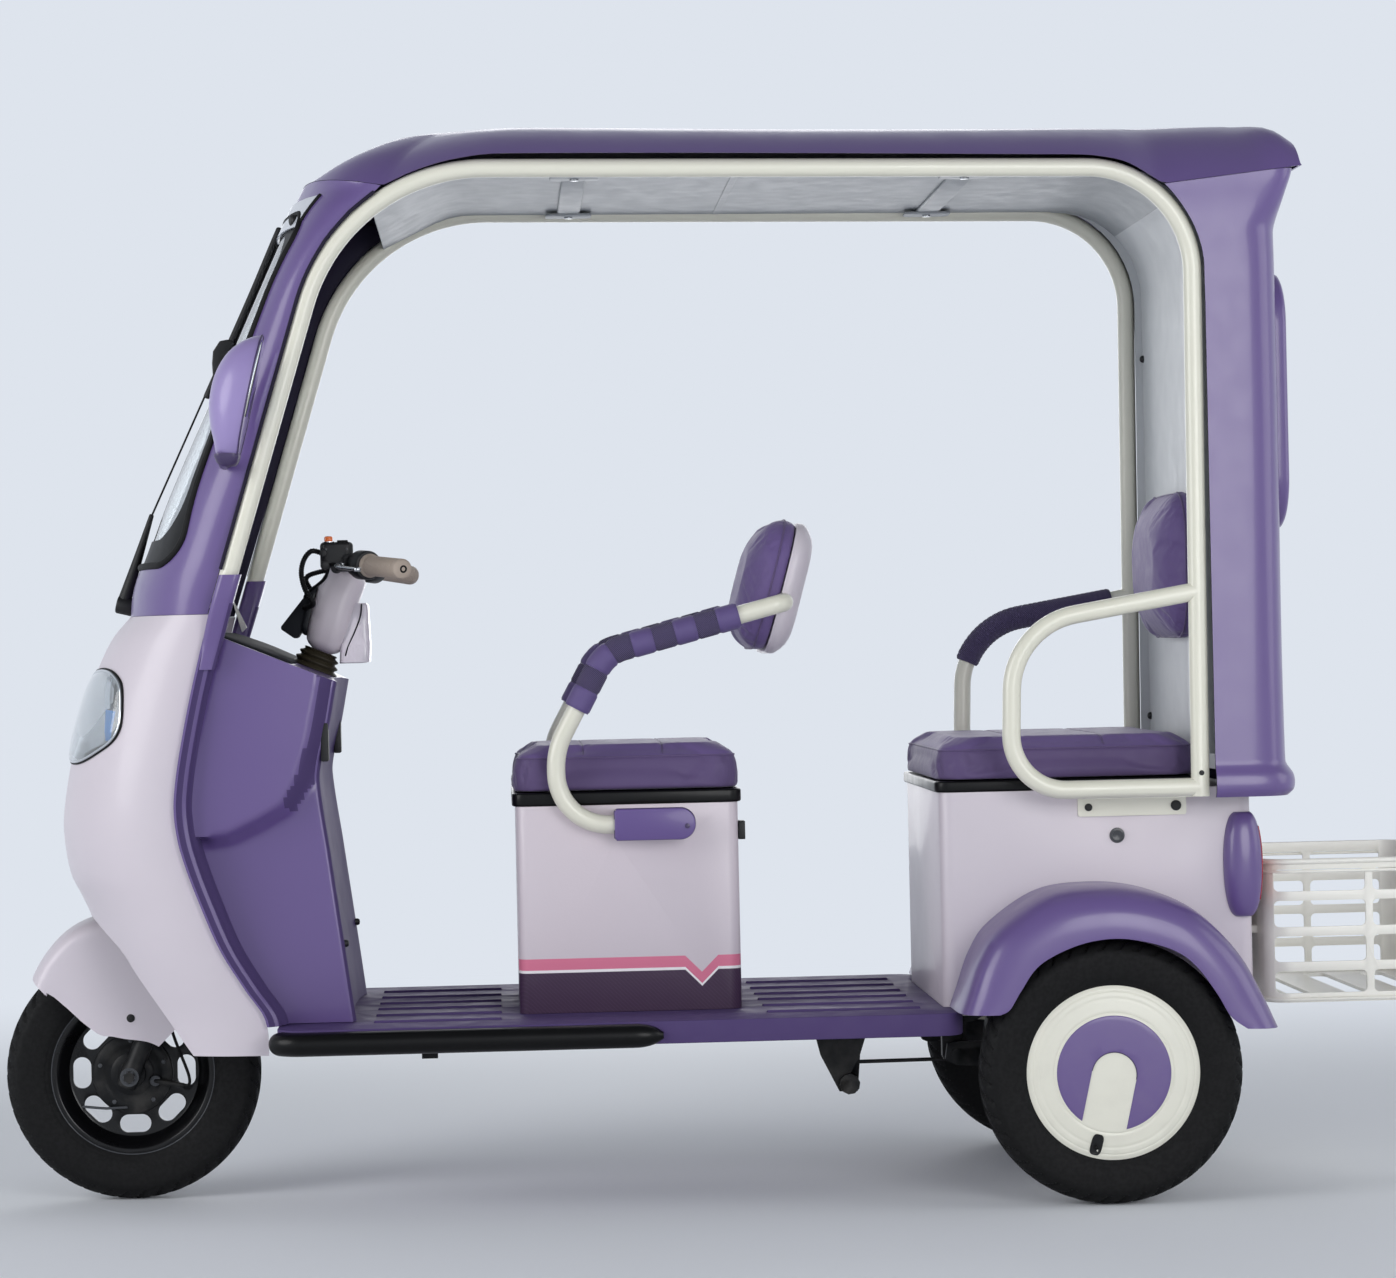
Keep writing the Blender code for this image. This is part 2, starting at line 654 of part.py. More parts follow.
def grip(name, side):
    """Grip closed over the bar's end."""
    bore = (BAR_RADIUS + GAP) / math.cos(math.pi / 14) + GAP
    cap = 0.005
    profile = [(0, cap), (GRIP_RADIUS - 0.003, cap), (GRIP_RADIUS, cap - 0.003), (GRIP_RADIUS, 0.006 - GRIP_LENGTH),
               (GRIP_RADIUS + 0.003, 0.004 - GRIP_LENGTH), (GRIP_RADIUS + 0.003, -GRIP_LENGTH),
               (bore, -GRIP_LENGTH), (bore, GAP), (0, GAP)]
    return lathe(name, profile, mirrored(BAR_END, side), "grip", mirrored(GRIP_AXIS, side), 14)


def brake_lever(side_name, side):
    """Lever with a ring root round its pin, running out ahead of the grip."""
    pivot = lever_pivot(side)
    name = "brake_lever_" + side_name
    reach = [pivot, pivot + mirrored((-0.006, 0.025, -0.001), side), pivot + mirrored((0.000, 0.070, -0.006), side),
             pivot + mirrored((0.030, 0.128, -0.014), side)]
    path = bent_path(reach, 0.04, 2)
    lever = tube(name, path, lambda share: 0.0055 - 0.0015 * share, "steel", 6)
    for point in lever.data.vertices:
        point.co.z = pivot.z + (point.co.z - pivot.z) * 0.68
    tip = disc("tip", path[-1] + Vector((0, 0, (pivot.z - path[-1].z) * 0.32)), 0.0065, 0.0035, None, (0, 0, 1), 8)
    root = disc("root", pivot, 0.0085, LEVER_ROOT_HALF, None, (0, 0, 1), 10)
    combine(lever, [root, tip])
    trim = [disc("hole", pivot, LEVER_PIN_RADIUS + 0.0006, 0.02, None, (0, 0, 1), 10)]
    return cut(lever, trim)


STEM_COVER_SHIFT = -0.012


def stem_cover():
    """Moulded cover round the stem, leaning ahead of it towards its top."""
    start = DECK_ALONG + BOOT_HEIGHT + 2 * GAP
    levels = [(0.0, 0.024, 0.036, 0.0), (0.12, 0.031, 0.048, 0.0), (0.35, 0.034, 0.054, -0.001),
              (0.70, 0.033, 0.052, STEM_COVER_SHIFT * 0.5), (1.0, 0.029, 0.046, STEM_COVER_SHIFT)]
    height = STEM_TOP - 0.012 - start
    rings = []
    for share, half_x, half_y, shift in levels:
        ring = rounded_outline((-half_x, -half_y), (half_x, half_y), min(half_x, half_y) * 0.8, 3)
        rings.append([fork_frame(STEER_OFFSET + shift + x, y, start + height * share) for x, y in ring])
    cover = loft("stem_cover", rings, "pale_shell")
    bore = tube("bore", [fork_frame(STEER_OFFSET, 0, start - 0.05), fork_frame(STEER_OFFSET, 0, STEM_TOP + 0.05)],
                STEM_RADIUS + 2 * GAP, None, 14)
    return cut(cover, [bore])


def steering_boot():
    """Ribbed rubber boot between the deck and the stem cover."""
    bore = STEM_RADIUS + RUNNING_GAP
    base = DECK_ALONG + GAP
    ribs = 3
    profile = [(bore, base), (BOOT_RADIUS, base)]
    for rib in range(ribs):
        foot = base + BOOT_HEIGHT * rib / ribs
        shrink = 0.003 * rib
        profile += [(BOOT_RADIUS - shrink, foot + 0.006), (BOOT_RADIUS - shrink - 0.005, foot + 0.008)]
    profile += [(BOOT_RADIUS - 0.012, base + BOOT_HEIGHT), (bore, base + BOOT_HEIGHT)]
    return lathe("steering_boot", profile, fork_frame(STEER_OFFSET, 0, 0), "rubber", RAKE_UP, 12)


def control_cables():
    """The cable pair's sheath: out of the switch box, down in a loop, past the cover, up to the right pod."""
    ahead = STEER_OFFSET + STEM_COVER_SHIFT - 0.033 - 0.0075
    middle = fork_frame(ahead, 0, 0.825)
    entry = Vector((SWITCH_LOW.x - GAP, -BAR_BEND_Y, BAR_CENTRE.z + 0.018))
    left = [entry, entry - Vector((0.042, 0, 0)), Vector((SWITCH_LOW.x - 0.050, -0.080, BAR_CENTRE.z - 0.020)),
            Vector((middle.x, -0.035, middle.z))]
    square = Vector((-GRIP_AXIS.y, GRIP_AXIS.x, 0.0)).normalized()
    gland = grip_axis_point(1, GRIP_LENGTH + POD_LENGTH + RUNNING_GAP + GAP) + square * (BAR_RADIUS + POD_RADIUS) / 2
    right = [Vector((middle.x, 0.035, middle.z)), Vector((SWITCH_LOW.x - 0.040, 0.070, BAR_CENTRE.z - 0.020)),
             gland - GRIP_AXIS * 0.035, gland]
    return tube("control_cables", bent_path(left + right, [0.018, 0.03, 0.02, 0.02, 0.03, 0.018], 3), 0.0042,
                "black_plastic", 6)


RAIL_TOP = FLOOR_TOP - FLOOR_THICK - GAP
RAIL_Z = RAIL_TOP - RAIL_RADIUS
HEAD_TUBE_LOW = 0.425
HEAD_TUBE_HIGH = 0.690


def chassis_frame():
    """Two rails with cross tubes, a down tube, the head tube and the rear arm lugs."""
    front, rear = FLOOR_FRONT_X + 0.055, BOX_REAR_X - 0.020
    kick = PIVOT_X + 0.030
    pieces = []
    for name, side in SIDES:
        y = side * RAIL_Y
        corners = [(front, y, RAIL_Z), (kick, y, RAIL_Z), (kick + 0.075, y, RAIL_Z + RAIL_RISE),
                   (rear, y, RAIL_Z + RAIL_RISE)]
        pieces.append(tube("rail", bent_path(corners, 0.05, 2), RAIL_RADIUS, "black_steel", 6))
        lug = block("lug", (PIVOT_X - 0.020, y - 0.010, PIVOT_Z - 0.018), (PIVOT_X + 0.020, y + 0.010, RAIL_Z), None, 0.012, "Y", 2)
        pieces.append(lug)
    for x, z in ((front + 0.02, RAIL_Z), (-0.20, RAIL_Z), (0.24, RAIL_Z), (rear - 0.02, RAIL_Z + RAIL_RISE)):
        pieces.append(tube("cross", [(x, -RAIL_Y, z), (x, RAIL_Y, z)], RAIL_RADIUS * 0.85, None, 6))
    bracket = side_prism("bracket", [(0.125, RAIL_Z), (0.140, 0.225), (0.170, 0.165), (0.200, 0.165), (0.205, 0.225), (0.225, RAIL_Z)],
                         -RAIL_Y - 0.004, -RAIL_Y + 0.004, None)
    roller = disc("roller", (0.186, -RAIL_Y, 0.178), 0.017, 0.018, None, steps=10)
    rod = tube("rod", [(0.194, -RAIL_Y + 0.005, 0.212), (PIVOT_X + 0.015, -RAIL_Y + 0.016, PIVOT_Z - 0.014)], 0.0032, None, 6)
    foot = block("foot", (-0.512, -RAIL_Y - 0.012, 0.238), (-0.486, -RAIL_Y + 0.012, RAIL_Z), None)
    pieces += [bracket, roller, rod, foot]
    head = fork_frame(STEER_OFFSET, 0, HEAD_TUBE_LOW + 0.06)
    down = [head, (front - 0.005, 0, 0.50), (front - 0.012, 0, RAIL_Z + 0.09), (front + 0.02, 0, RAIL_Z)]
    pieces.append(tube("down", bent_path(down, 0.06, 2), RAIL_RADIUS, None, 6))
    pieces.append(tube("head", [fork_frame(STEER_OFFSET, 0, HEAD_TUBE_LOW), fork_frame(STEER_OFFSET, 0, HEAD_TUBE_HIGH)],
                       HEAD_TUBE_RADIUS, None, 14))
    frame = combine(pieces[0], pieces[1:])
    frame.name = "chassis_frame"
    bore = tube("bore", [fork_frame(STEER_OFFSET, 0, 0.3), fork_frame(STEER_OFFSET, 0, 0.9)],
                STEM_RADIUS + RUNNING_GAP, None, 14)
    pin_hole = (PIVOT_PIN_RADIUS + GAP) / math.cos(math.pi / 12)
    holes = [disc("hole", (PIVOT_X, side * RAIL_Y, PIVOT_Z), pin_hole, 0.03, None, steps=12) for name, side in SIDES]
    return cut(frame, [bore] + holes)


RIB_HEIGHT = 0.0035
RIB_WIDTH = 0.014
RIB_ROWS = (-0.27, -0.16, -0.05, 0.05, 0.16, 0.27)
NOTCH_REAR_X = -0.640
NOTCH_HALF_WIDTH = 0.060


def floorboard():
    """Floor tray with a skirt round it and raised tread ribs."""
    low, high = FLOOR_TOP - FLOOR_SKIRT, FLOOR_TOP
    tray = block("floorboard", (FLOOR_FRONT_X, -FLOOR_HALF_WIDTH, low), (FLOOR_WING_X, FLOOR_HALF_WIDTH, high),
                 "purple", FLOOR_CORNER, "Z", 4)
    hollow = block("hollow", (FLOOR_FRONT_X + WALL, -FLOOR_HALF_WIDTH + WALL, low - 0.02),
                   (FLOOR_WING_X - WALL, FLOOR_HALF_WIDTH - WALL, high - FLOOR_THICK), None, FLOOR_CORNER - WALL, "Z", 4)
    rear_gap = block("rear_gap", (FLOOR_REAR_X - GAP, -BOX_HALF_WIDTH - GAP, low - 0.02),
                     (FLOOR_WING_X + 0.02, BOX_HALF_WIDTH + GAP, high + 0.02), None)
    notch = block("notch", (FLOOR_FRONT_X - 0.02, -NOTCH_HALF_WIDTH, low - 0.02), (NOTCH_REAR_X, NOTCH_HALF_WIDTH, high + 0.02), None)
    cut(tray, [hollow, rear_gap, notch])
    ribs = []
    for y in RIB_ROWS:
        for start, end in ((-0.585, SEAT_BOX_FRONT_X - 0.030), (SEAT_BOX_REAR_X + 0.035, FLOOR_REAR_X - 0.04)):
            ribs.append(block("rib", (start, y - RIB_WIDTH / 2, high - 0.002), (end, y + RIB_WIDTH / 2, high + RIB_HEIGHT),
                              None))
    return combine(tray, ribs)


def side_bumper(side_name, side):
    """Rounded black rubbing strip round the floor's front corner and along the front half of its side."""
    corner = Vector((FLOOR_FRONT_X + FLOOR_CORNER, FLOOR_HALF_WIDTH - FLOOR_CORNER, BUMPER_Z))
    path = []
    turns = between(math.radians(12), math.radians(90), 5)
    reach = FLOOR_CORNER / math.cos((turns[1] - turns[0]) / 2) + GAP
    for turn in turns:
        path.append((corner, Vector((-math.cos(turn), math.sin(turn), 0.0)), reach))
    for x in (-0.42, BUMPER_REAR_X - 0.045, BUMPER_REAR_X):
        path.append((Vector((x, FLOOR_HALF_WIDTH, BUMPER_Z)), Vector((0.0, 1.0, 0.0)), GAP))
    sizes = [0.55, 0.85, 1.0, 1.0, 1.0, 0.95, 0.80, 0.50]
    rings = []
    for (centre, outward, start), size in zip(path, sizes):
        half, bulge = BUMPER_HEIGHT / 2 * size, BUMPER_THICK * size
        ring = [(0.0, -half)]
        ring += [(bulge * math.sin(turn) ** 0.8, -half * math.cos(turn)) for turn in between(math.pi / 6, math.pi * 5 / 6, 5)]
        ring += [(0.0, half)]
        rings.append([mirrored(centre + outward * (start + out) + Vector((0, 0, up)), side) for out, up in ring])
    return loft("side_bumper_" + side_name, rings, "black_plastic")


# Side-view curves of the nose and the leg shield: (height, x)
NOSE_FRONT = [(0.250, -1.000), (0.478, -1.058), (0.516, -1.073), (0.544, -1.087), (0.590, -1.096), (0.640, -1.098),
              (0.730, -1.084), (0.800, -1.066), (0.870, -1.042), (0.932, -1.012), (0.968, -0.981)]
NOSE_REAR = [(0.250, -0.752), (0.320, -0.757), (0.369, -0.788), (0.433, -0.826), (0.506, -0.856), (0.565, -0.877),
             (0.610, -0.889), (0.658, -0.894), (0.706, -0.890), (0.769, -0.879), (0.848, -0.862), (0.968, -0.832)]
NOSE_WIDTH = [(0.250, 0.300), (0.420, 0.308), (0.650, NOSE_HALF_WIDTH), (0.968, NOSE_HALF_WIDTH)]
SHIELD_REAR = [(0.300, -0.613), (0.395, -0.6254), (0.577, -0.6494), (0.695, -0.665), (0.731, -0.661), (0.783, -0.648),
               (0.851, -0.635), (0.950, -0.615)]
NOSE_BOTTOM = 0.252
NOSE_TOP = 0.968
SHIELD_FOOT = FLOOR_TOP + 0.001
LEVELS = [SHIELD_FOOT, 0.39, 0.47, 0.56, 0.65, 0.74, 0.83, 0.90, NOSE_TOP]
NOSE_POWER = 2.3
ARCH_EDGE = [(-1.058, 0.490), (-0.997, 0.436), (-0.962, 0.386), (-0.891, 0.285), (-0.868, 0.2535), (-0.868, 0.20),
             (-1.30, 0.20), (-1.30, 0.490)]
ARCH_HALF_WIDTH = 0.128
ARCH_TOP = 0.545


def u_section(front, rear, half_width, height, power, count):
    """Plan-view points of a shell, from its left rear edge round the front to its right rear edge."""
    section = []
    for step in range(count):
        turn = math.pi * (step / (count - 1) - 0.5)
        across = half_width * math.copysign(abs(math.sin(turn)) ** (2 / power), math.sin(turn))
        section.append(Vector((rear - (rear - front) * abs(math.cos(turn)) ** (2 / power), across, height)))
    return section


def nose_section(height, inset, count=13):
    """One level of the nose's surface, moved in by an inset."""
    return u_section(smooth_value(NOSE_FRONT, height) + inset, smooth_value(NOSE_REAR, height) - GAP,
                     smooth_value(NOSE_WIDTH, height) - inset, height, NOSE_POWER, count)


def front_nose():
    """Front shell over the wheel and fork, open below and behind, with an arch for the mudguard."""
    heights = [NOSE_BOTTOM] + LEVELS
    outer = [nose_section(height, 0.0) for height in heights]
    inner = [nose_section(height, SHELL) for height in heights]
    nose = sheet("front_nose", outer, inner, "pale_shell")
    side_cut = side_prism("side_cut", ARCH_EDGE, -0.6, 0.6, None)
    arch = [(-ARCH_HALF_WIDTH, 0.1)] + [(ARCH_HALF_WIDTH * math.cos(turn), ARCH_TOP - 0.09 + 0.09 * math.sin(turn))
                                        for turn in between(math.pi, 0.0, 9)] + [(ARCH_HALF_WIDTH, 0.1)]
    arch_cut = prism("arch_cut", arch, -1.3, -0.90, None, "X")
    lamps = [lamp_shape("lamp_cut", side, -0.030, 0.05, GAP, None) for name, side in SIDES]
    return cut(nose, [side_cut, arch_cut] + lamps)


LAMP_CENTRE_Z = 0.808
LAMP_CENTRE_TURN = math.radians(38)
LAMP_HALF_TURN = 0.36
LAMP_HALF_HEIGHT = 0.072
LAMP_LEAN = 1.1


def lamp_shape(name, side, depth, bulge, grow, finish):
    """Almond lens following the nose's surface, from a depth below it to a bulge above it."""
    rings = []
    for level, size in ((depth, 1.0), (0.0015, 1.0), (bulge * 0.75, 0.86), (bulge, 0.55)):
        ring = []
        for step in range(16):
            turn = 2 * math.pi * step / 16
            up = math.copysign(abs(math.sin(turn)) ** 0.75, math.sin(turn)) * (LAMP_HALF_HEIGHT * size + grow)
            round_it = math.copysign(abs(math.cos(turn)) ** 0.75, math.cos(turn)) * (LAMP_HALF_TURN * size + grow / 0.25)
            height = LAMP_CENTRE_Z + up
            at = LAMP_CENTRE_TURN + round_it + up * LAMP_LEAN
            front, rear = smooth_value(NOSE_FRONT, height), smooth_value(NOSE_REAR, height)
            half = smooth_value(NOSE_WIDTH, height)
            along = abs(math.cos(at)) ** (2 / NOSE_POWER)
            across = abs(math.sin(at)) ** (2 / NOSE_POWER)
            outward = Vector((-math.cos(at), math.sin(at), 0.0))
            ring.append(Vector((rear - (rear - front) * along, across * half, height)) + outward * level)
        rings.append([Vector((point.x, point.y * side, point.z)) for point in ring])
    return loft(name, rings, finish)


def shield_profile(height, inset):
    """One level of the leg shield: rim, step inwards, knee panel and rear face."""
    front = smooth_value(NOSE_REAR, height)
    rear = smooth_value(SHIELD_REAR, height) - inset
    rim = smooth_value(NOSE_WIDTH, height) + FLANGE_HALF_WIDTH - NOSE_HALF_WIDTH - inset
    depth = rear - front
    edge = front + FLANGE_DEPTH - inset
    half = [(front, rim), (edge - 0.004, rim), (edge, rim - 0.006), (edge + 0.006, rim - 0.030)]
    for share in (0.32, 0.58, 0.84):
        x = front + depth * share
        half.append((x, knee_width(x, height, rim)))
    half.append((rear - 0.004, knee_width(rear, height, rim) - 0.022))
    half.append((rear, knee_width(rear, height, rim) - 0.050))
    half.append((rear, 0.10))
    return half


KNEE_RIDGE = [(-0.835, 0.612), (-0.811, 0.614), (-0.762, 0.636), (-0.721, 0.659), (-0.697, 0.699), (-0.676, 0.763),
              (-0.658, 0.851), (-0.650, 0.960)]


def knee_width(x, height, rim):
    """Half width of the knee panel: full above the ridge, drawn in below and behind it."""
    full = rim - 0.036
    over = min(max((height - smooth_value(KNEE_RIDGE, x)) / 0.040, -1.0), 1.0)
    share = (over + 1) / 2
    share = share * share * (3 - 2 * share)
    lower = full - 0.030 - 0.012 * min(max((x + 0.80) / 0.15, 0.0), 1.0)
    return lower + (full - lower) * share


def leg_shield():
    """Purple shield behind the nose: outer rim, knee panels, tunnel face, slanted deck and post sockets."""
    solid = loft("leg_shield", [shield_ring(height, 0.0) for height in LEVELS + [1.02]], "purple")
    core = loft("core", [shield_ring(height, SHELL, 0.05) for height in [0.25] + LEVELS[1:-1:2] + [1.10]], None)
    cut(core, [deck_cutter("under", DECK_ALONG - SHELL, -1.2)])
    cut(solid, [deck_cutter("lid", DECK_ALONG, -1.2)])
    hole = tube("hole", [fork_frame(STEER_OFFSET, 0, 0.6), fork_frame(STEER_OFFSET, 0, 0.9)], DECK_HOLE_RADIUS, None, 16)
    cut(solid, [core, hole])
    combine(solid, [post_socket(side) for name, side in SIDES])
    bores = []
    for name, side in SIDES:
        foot, top = hoop_post_point(HOOP_FOOT_Z - 2 * GAP), hoop_post_point(1.10)
        bores.append(tube("bore", [(foot[0], side * HOOP_Y, foot[1]), (top[0], side * HOOP_Y, top[1])],
                          (HOOP_RADIUS + GAP) / math.cos(math.pi / HOOP_SIDES), None, HOOP_SIDES))
    return cut(solid, bores)


DECK_HOLE_RADIUS = 0.026
SOCKET_TOP_Z = 1.030
SOCKET_WALL = 0.005
HOOP_SIDES = 8


def hoop_post_point(height):
    """Side-view point (x, z) on the line of a hoop's front post."""
    return (HOOP_FRONT_X + HOOP_POST_LEAN * (height - HOOP_TOP_FRONT_Z), height)


def post_socket(side):
    """Horn of the shield's rim that rises into a socket round a hoop's front post."""
    rings = []
    for height, share in ((0.895, 0.0), (0.930, 0.25), (0.985, 0.8), (SOCKET_TOP_Z, 1.0)):
        front = smooth_value(NOSE_REAR, min(height, NOSE_TOP)) + GAP + max(height - NOSE_TOP, 0.0) * HOOP_POST_LEAN
        centre = hoop_post_point(height)[0]
        reach = HOOP_RADIUS + SOCKET_WALL
        low = (front, (FLANGE_HALF_WIDTH - 0.030) * (1 - share) + (HOOP_Y - reach) * share)
        high = (centre + reach, FLANGE_HALF_WIDTH * (1 - share) + (HOOP_Y + reach) * share)
        rings.append([Vector((x, y * side, height)) for x, y in rounded_outline(low, high, 0.010, 3)])
    return loft("socket", rings, None)


def shield_ring(height, inset, forward=0.0):
    """Both halves of one level of the leg shield as a closed ring."""
    half = shield_profile(height, inset)
    half[0] = (half[0][0] + GAP - forward, half[0][1])
    flat = [(x, -y) for x, y in half] + [(x, y) for x, y in reversed(half)]
    return [Vector((x, y, height)) for x, y in flat]


def deck_cutter(name, along, front):
    """Everything above the deck's plane, which is square to the steering axis."""
    outline = [(front, 0.0), (0.5, 0.0), (0.5, 1.0), (front, 1.0)]
    cutter = side_prism(name, outline, -0.6, 0.6, None)
    cutter.data.transform(Matrix.Translation(fork_frame(STEER_OFFSET, 0, along)) @ Matrix.Rotation(RAKE, 4, "Y"))
    return cutter


# Windscreen: centre line, pillar rear edge and width, by height
GLASS_CENTRE = [(0.9685, -0.9810), (1.000, -0.9780), (1.030, -0.9700), (1.065, -0.9550), (1.164, -0.9160),
                (1.371, -0.8200), (1.500, -0.7600), (1.636, -0.6990), (1.690, -0.6700)]
PILLAR_WIDTH = [(0.9685, NOSE_HALF_WIDTH), (1.060, 0.330), (1.200, PILLAR_HALF_WIDTH), (1.700, PILLAR_HALF_WIDTH)]
SURROUND_TOP = 1.684
SEAM_FRONT = (-0.685, 1.6700)
SEAM_SLOPE = -0.190
SEAM_SIDE_Z = 1.645
SURROUND_THICK = 0.012
GLASS_THICK = 0.004
GLASS_POWER = 2.15
WINDOW_LOW = 1.047
WINDOW_HIGH = 1.612
WINDOW_CORNER = 0.055
GLASS_GAP = 0.0006
PILLAR_CLEAR = 0.0018


def hoop_front_x(height):
    """X of a hoop's front side, from its post up into its bend."""
    path = hoop_path()
    for before, after in zip(path, path[1:]):
        if before[1] <= height < after[1]:
            break
    run, rise = after[0] - before[0], after[1] - before[1]
    share = (height - before[1]) / rise
    slant = math.hypot(run, rise) / rise
    return before[0] + run * share - HOOP_RADIUS * slant


def hoop_path():
    """Side-view path of a hoop from its front foot over the roof to its rear foot."""
    foot = hoop_post_point(HOOP_FOOT_Z)
    corners = [(foot[0], 0, foot[1]), (HOOP_FRONT_X, 0, HOOP_TOP_FRONT_Z), (HOOP_REAR_X, 0, HOOP_TOP_REAR_Z),
               (HOOP_REAR_X - 0.006, 0, REAR_POST_FOOT_Z - HOOP_RADIUS)]
    return [(point.x, point.z) for point in bent_path(corners, [HOOP_FRONT_BEND, HOOP_REAR_BEND], 6)]


def screen_section(height, inset, count=13):
    """One level of the windscreen's surface, moved in by an inset."""
    rear = hoop_front_x(min(height, SEAM_SIDE_Z)) - PILLAR_CLEAR
    front = smooth_value(GLASS_CENTRE, height)
    return u_section(front + inset, rear, smooth_value(PILLAR_WIDTH, height) - inset, height, GLASS_POWER, count)


SCREEN_LEVELS = [NOSE_TOP + 2 * GAP, 1.03, 1.07, 1.18, 1.32, 1.46, 1.53, 1.57, 1.61, 1.645, SURROUND_TOP]
GLASS_LEVELS = [1.20, 1.33, 1.46]
GLASS_INSET = 0.003


def window_cutter(name, shrink):
    """The window's outline drawn out along X."""
    outline = rounded_outline((-WINDOW_HALF_WIDTH + shrink, WINDOW_LOW + shrink),
                              (WINDOW_HALF_WIDTH - shrink, WINDOW_HIGH - shrink), WINDOW_CORNER - shrink, 3)
    return prism(name, outline, -1.3, 0.0, None, "X")


def seam_height(x):
    """Height of the plane where the windscreen surround ends and the roof begins."""
    return SEAM_FRONT[1] + SEAM_SLOPE * (x - SEAM_FRONT[0])


def windscreen_surround():
    """Purple cowl and pillars round the window."""
    outer = [screen_section(height, 0.0) for height in SCREEN_LEVELS]
    inner = [screen_section(height, SURROUND_THICK) for height in SCREEN_LEVELS]
    surround = sheet("windscreen_surround", outer, inner, "purple")
    above = side_prism("above", [(-1.2, seam_height(-1.2)), (-0.3, seam_height(-0.3)), (-0.3, 2.0), (-1.2, 2.0)], -0.6, 0.6, None)
    return cut(surround, [window_cutter("window", 0.0), above])


def screen_x(across, height, inset):
    """X of the windscreen's surface at a distance from the middle and a height."""
    rear = hoop_front_x(min(height, SEAM_SIDE_Z)) - PILLAR_CLEAR
    front = smooth_value(GLASS_CENTRE, height) + inset
    half = smooth_value(PILLAR_WIDTH, height) - inset
    return rear - (rear - front) * (1 - (abs(across) / half) ** GLASS_POWER) ** (1 / GLASS_POWER)


def screen_half_width(x, height):
    """Half width of the windscreen's surface at an X and a height."""
    rear = hoop_front_x(height) - PILLAR_CLEAR
    depth = (rear - x) / (rear - smooth_value(GLASS_CENTRE, height))
    return smooth_value(PILLAR_WIDTH, height) * (1 - depth ** GLASS_POWER) ** (1 / GLASS_POWER)


def windscreen_glass():
    """Curved pane inside the surround's window."""
    low, high = WINDOW_LOW + GLASS_GAP, WINDOW_HIGH - GLASS_GAP
    wide, corner = WINDOW_HALF_WIDTH - GLASS_GAP, WINDOW_CORNER - GLASS_GAP
    levels = []
    for turn in between(0.0, math.pi / 2, 4):
        levels.append((low + corner * (1 - math.sin(turn)), wide - corner * (1 - math.cos(turn))))
    levels = levels[::-1] + [(height, wide) for height in GLASS_LEVELS]
    for turn in between(0.0, math.pi / 2, 4):
        levels.append((high - corner * (1 - math.sin(turn)), wide - corner * (1 - math.cos(turn))))
    sides = []
    for inset in (GLASS_INSET, GLASS_INSET + GLASS_THICK):
        rows = []
        for height, half in levels:
            across = [half * math.sin(turn) for turn in between(-math.pi / 2, math.pi / 2, 9)]
            rows.append([Vector((screen_x(y, height, inset), y, height)) for y in across])
        sides.append(rows)
    return sheet("windscreen_glass", sides[0], sides[1], "clear")


# Roof: crest by x, and how far its side edge stands above the seam's plane or the hoop
ROOF_CREST = [(-0.685, 1.6720), (-0.668, 1.684), (-0.640, 1.706), (-0.610, 1.724), (-0.560, 1.742), (-0.500, 1.752),
              (-0.410, 1.757), (-0.300, 1.7575), (0.150, 1.748), (0.628, 1.743), (0.840, 1.746), (0.880, 1.740),
              (0.920, 1.728), (ROOF_REAR_X, 1.713)]
ROOF_EDGE = [(-0.541, 1.6430), (-0.490, 1.665), (-0.430, 1.681), (-0.350, 1.6885), (0.550, 1.6730), (0.600, 1.6700),
             (0.650, 1.6580), (0.705, 1.6240)]
ROOF_WALL = 0.0045
ROOF_SIDE_X = -0.540
ROOF_POWER = 3.6
SPINE_X = -0.200
SPINE_FRONT_X = (SPINE_X + ROOF_SIDE_X) / 2
ROOF_STATIONS = [ROOF_REAR_X, 0.900, 0.820, 0.708, 0.655, 0.590, 0.300, -0.200, -0.360, -0.440, -0.500, ROOF_SIDE_X]
ROOF_SHARES = [0.0, 0.06, 0.17, 0.42, 1.0]
REAR_SEAM = (0.705, 1.6240)
REAR_SEAM_SLOPE = 0.115


def rear_seam_height(x):
    """Height of the plane where the rear panel ends and the roof begins."""
    return REAR_SEAM[1] + REAR_SEAM_SLOPE * (x - REAR_SEAM[0])


def roof_edge_points():
    """The roof's edge on the right side, from the rear to the middle of the front, then its spine points."""
    edge = []
    for x in ROOF_STATIONS:
        half = ROOF_HALF_WIDTH - 0.015 * min(max((-0.36 - x) / 0.18, 0.0), 1.0)
        height = rear_seam_height(x) if x > REAR_SEAM[0] else smooth_value(ROOF_EDGE, x)
        spine = x if x > SPINE_X else SPINE_X + (x - SPINE_X) / 2
        edge.append((Vector((x, half, height + 2 * GAP)), spine))
    for turn in between(math.radians(75), 0.0, 6):
        height = 1.66
        for again in range(3):
            front, rear = smooth_value(GLASS_CENTRE, height), ROOF_SIDE_X
            half = ROOF_HALF_WIDTH - 0.015
            x = rear - (rear - front) * math.cos(turn) ** (2 / GLASS_POWER)
            height = seam_height(x)
        edge.append((Vector((x, half * math.sin(turn) ** (2 / GLASS_POWER), height + 2 * GAP)), SPINE_FRONT_X - 0.05 * math.cos(turn)))
    return edge


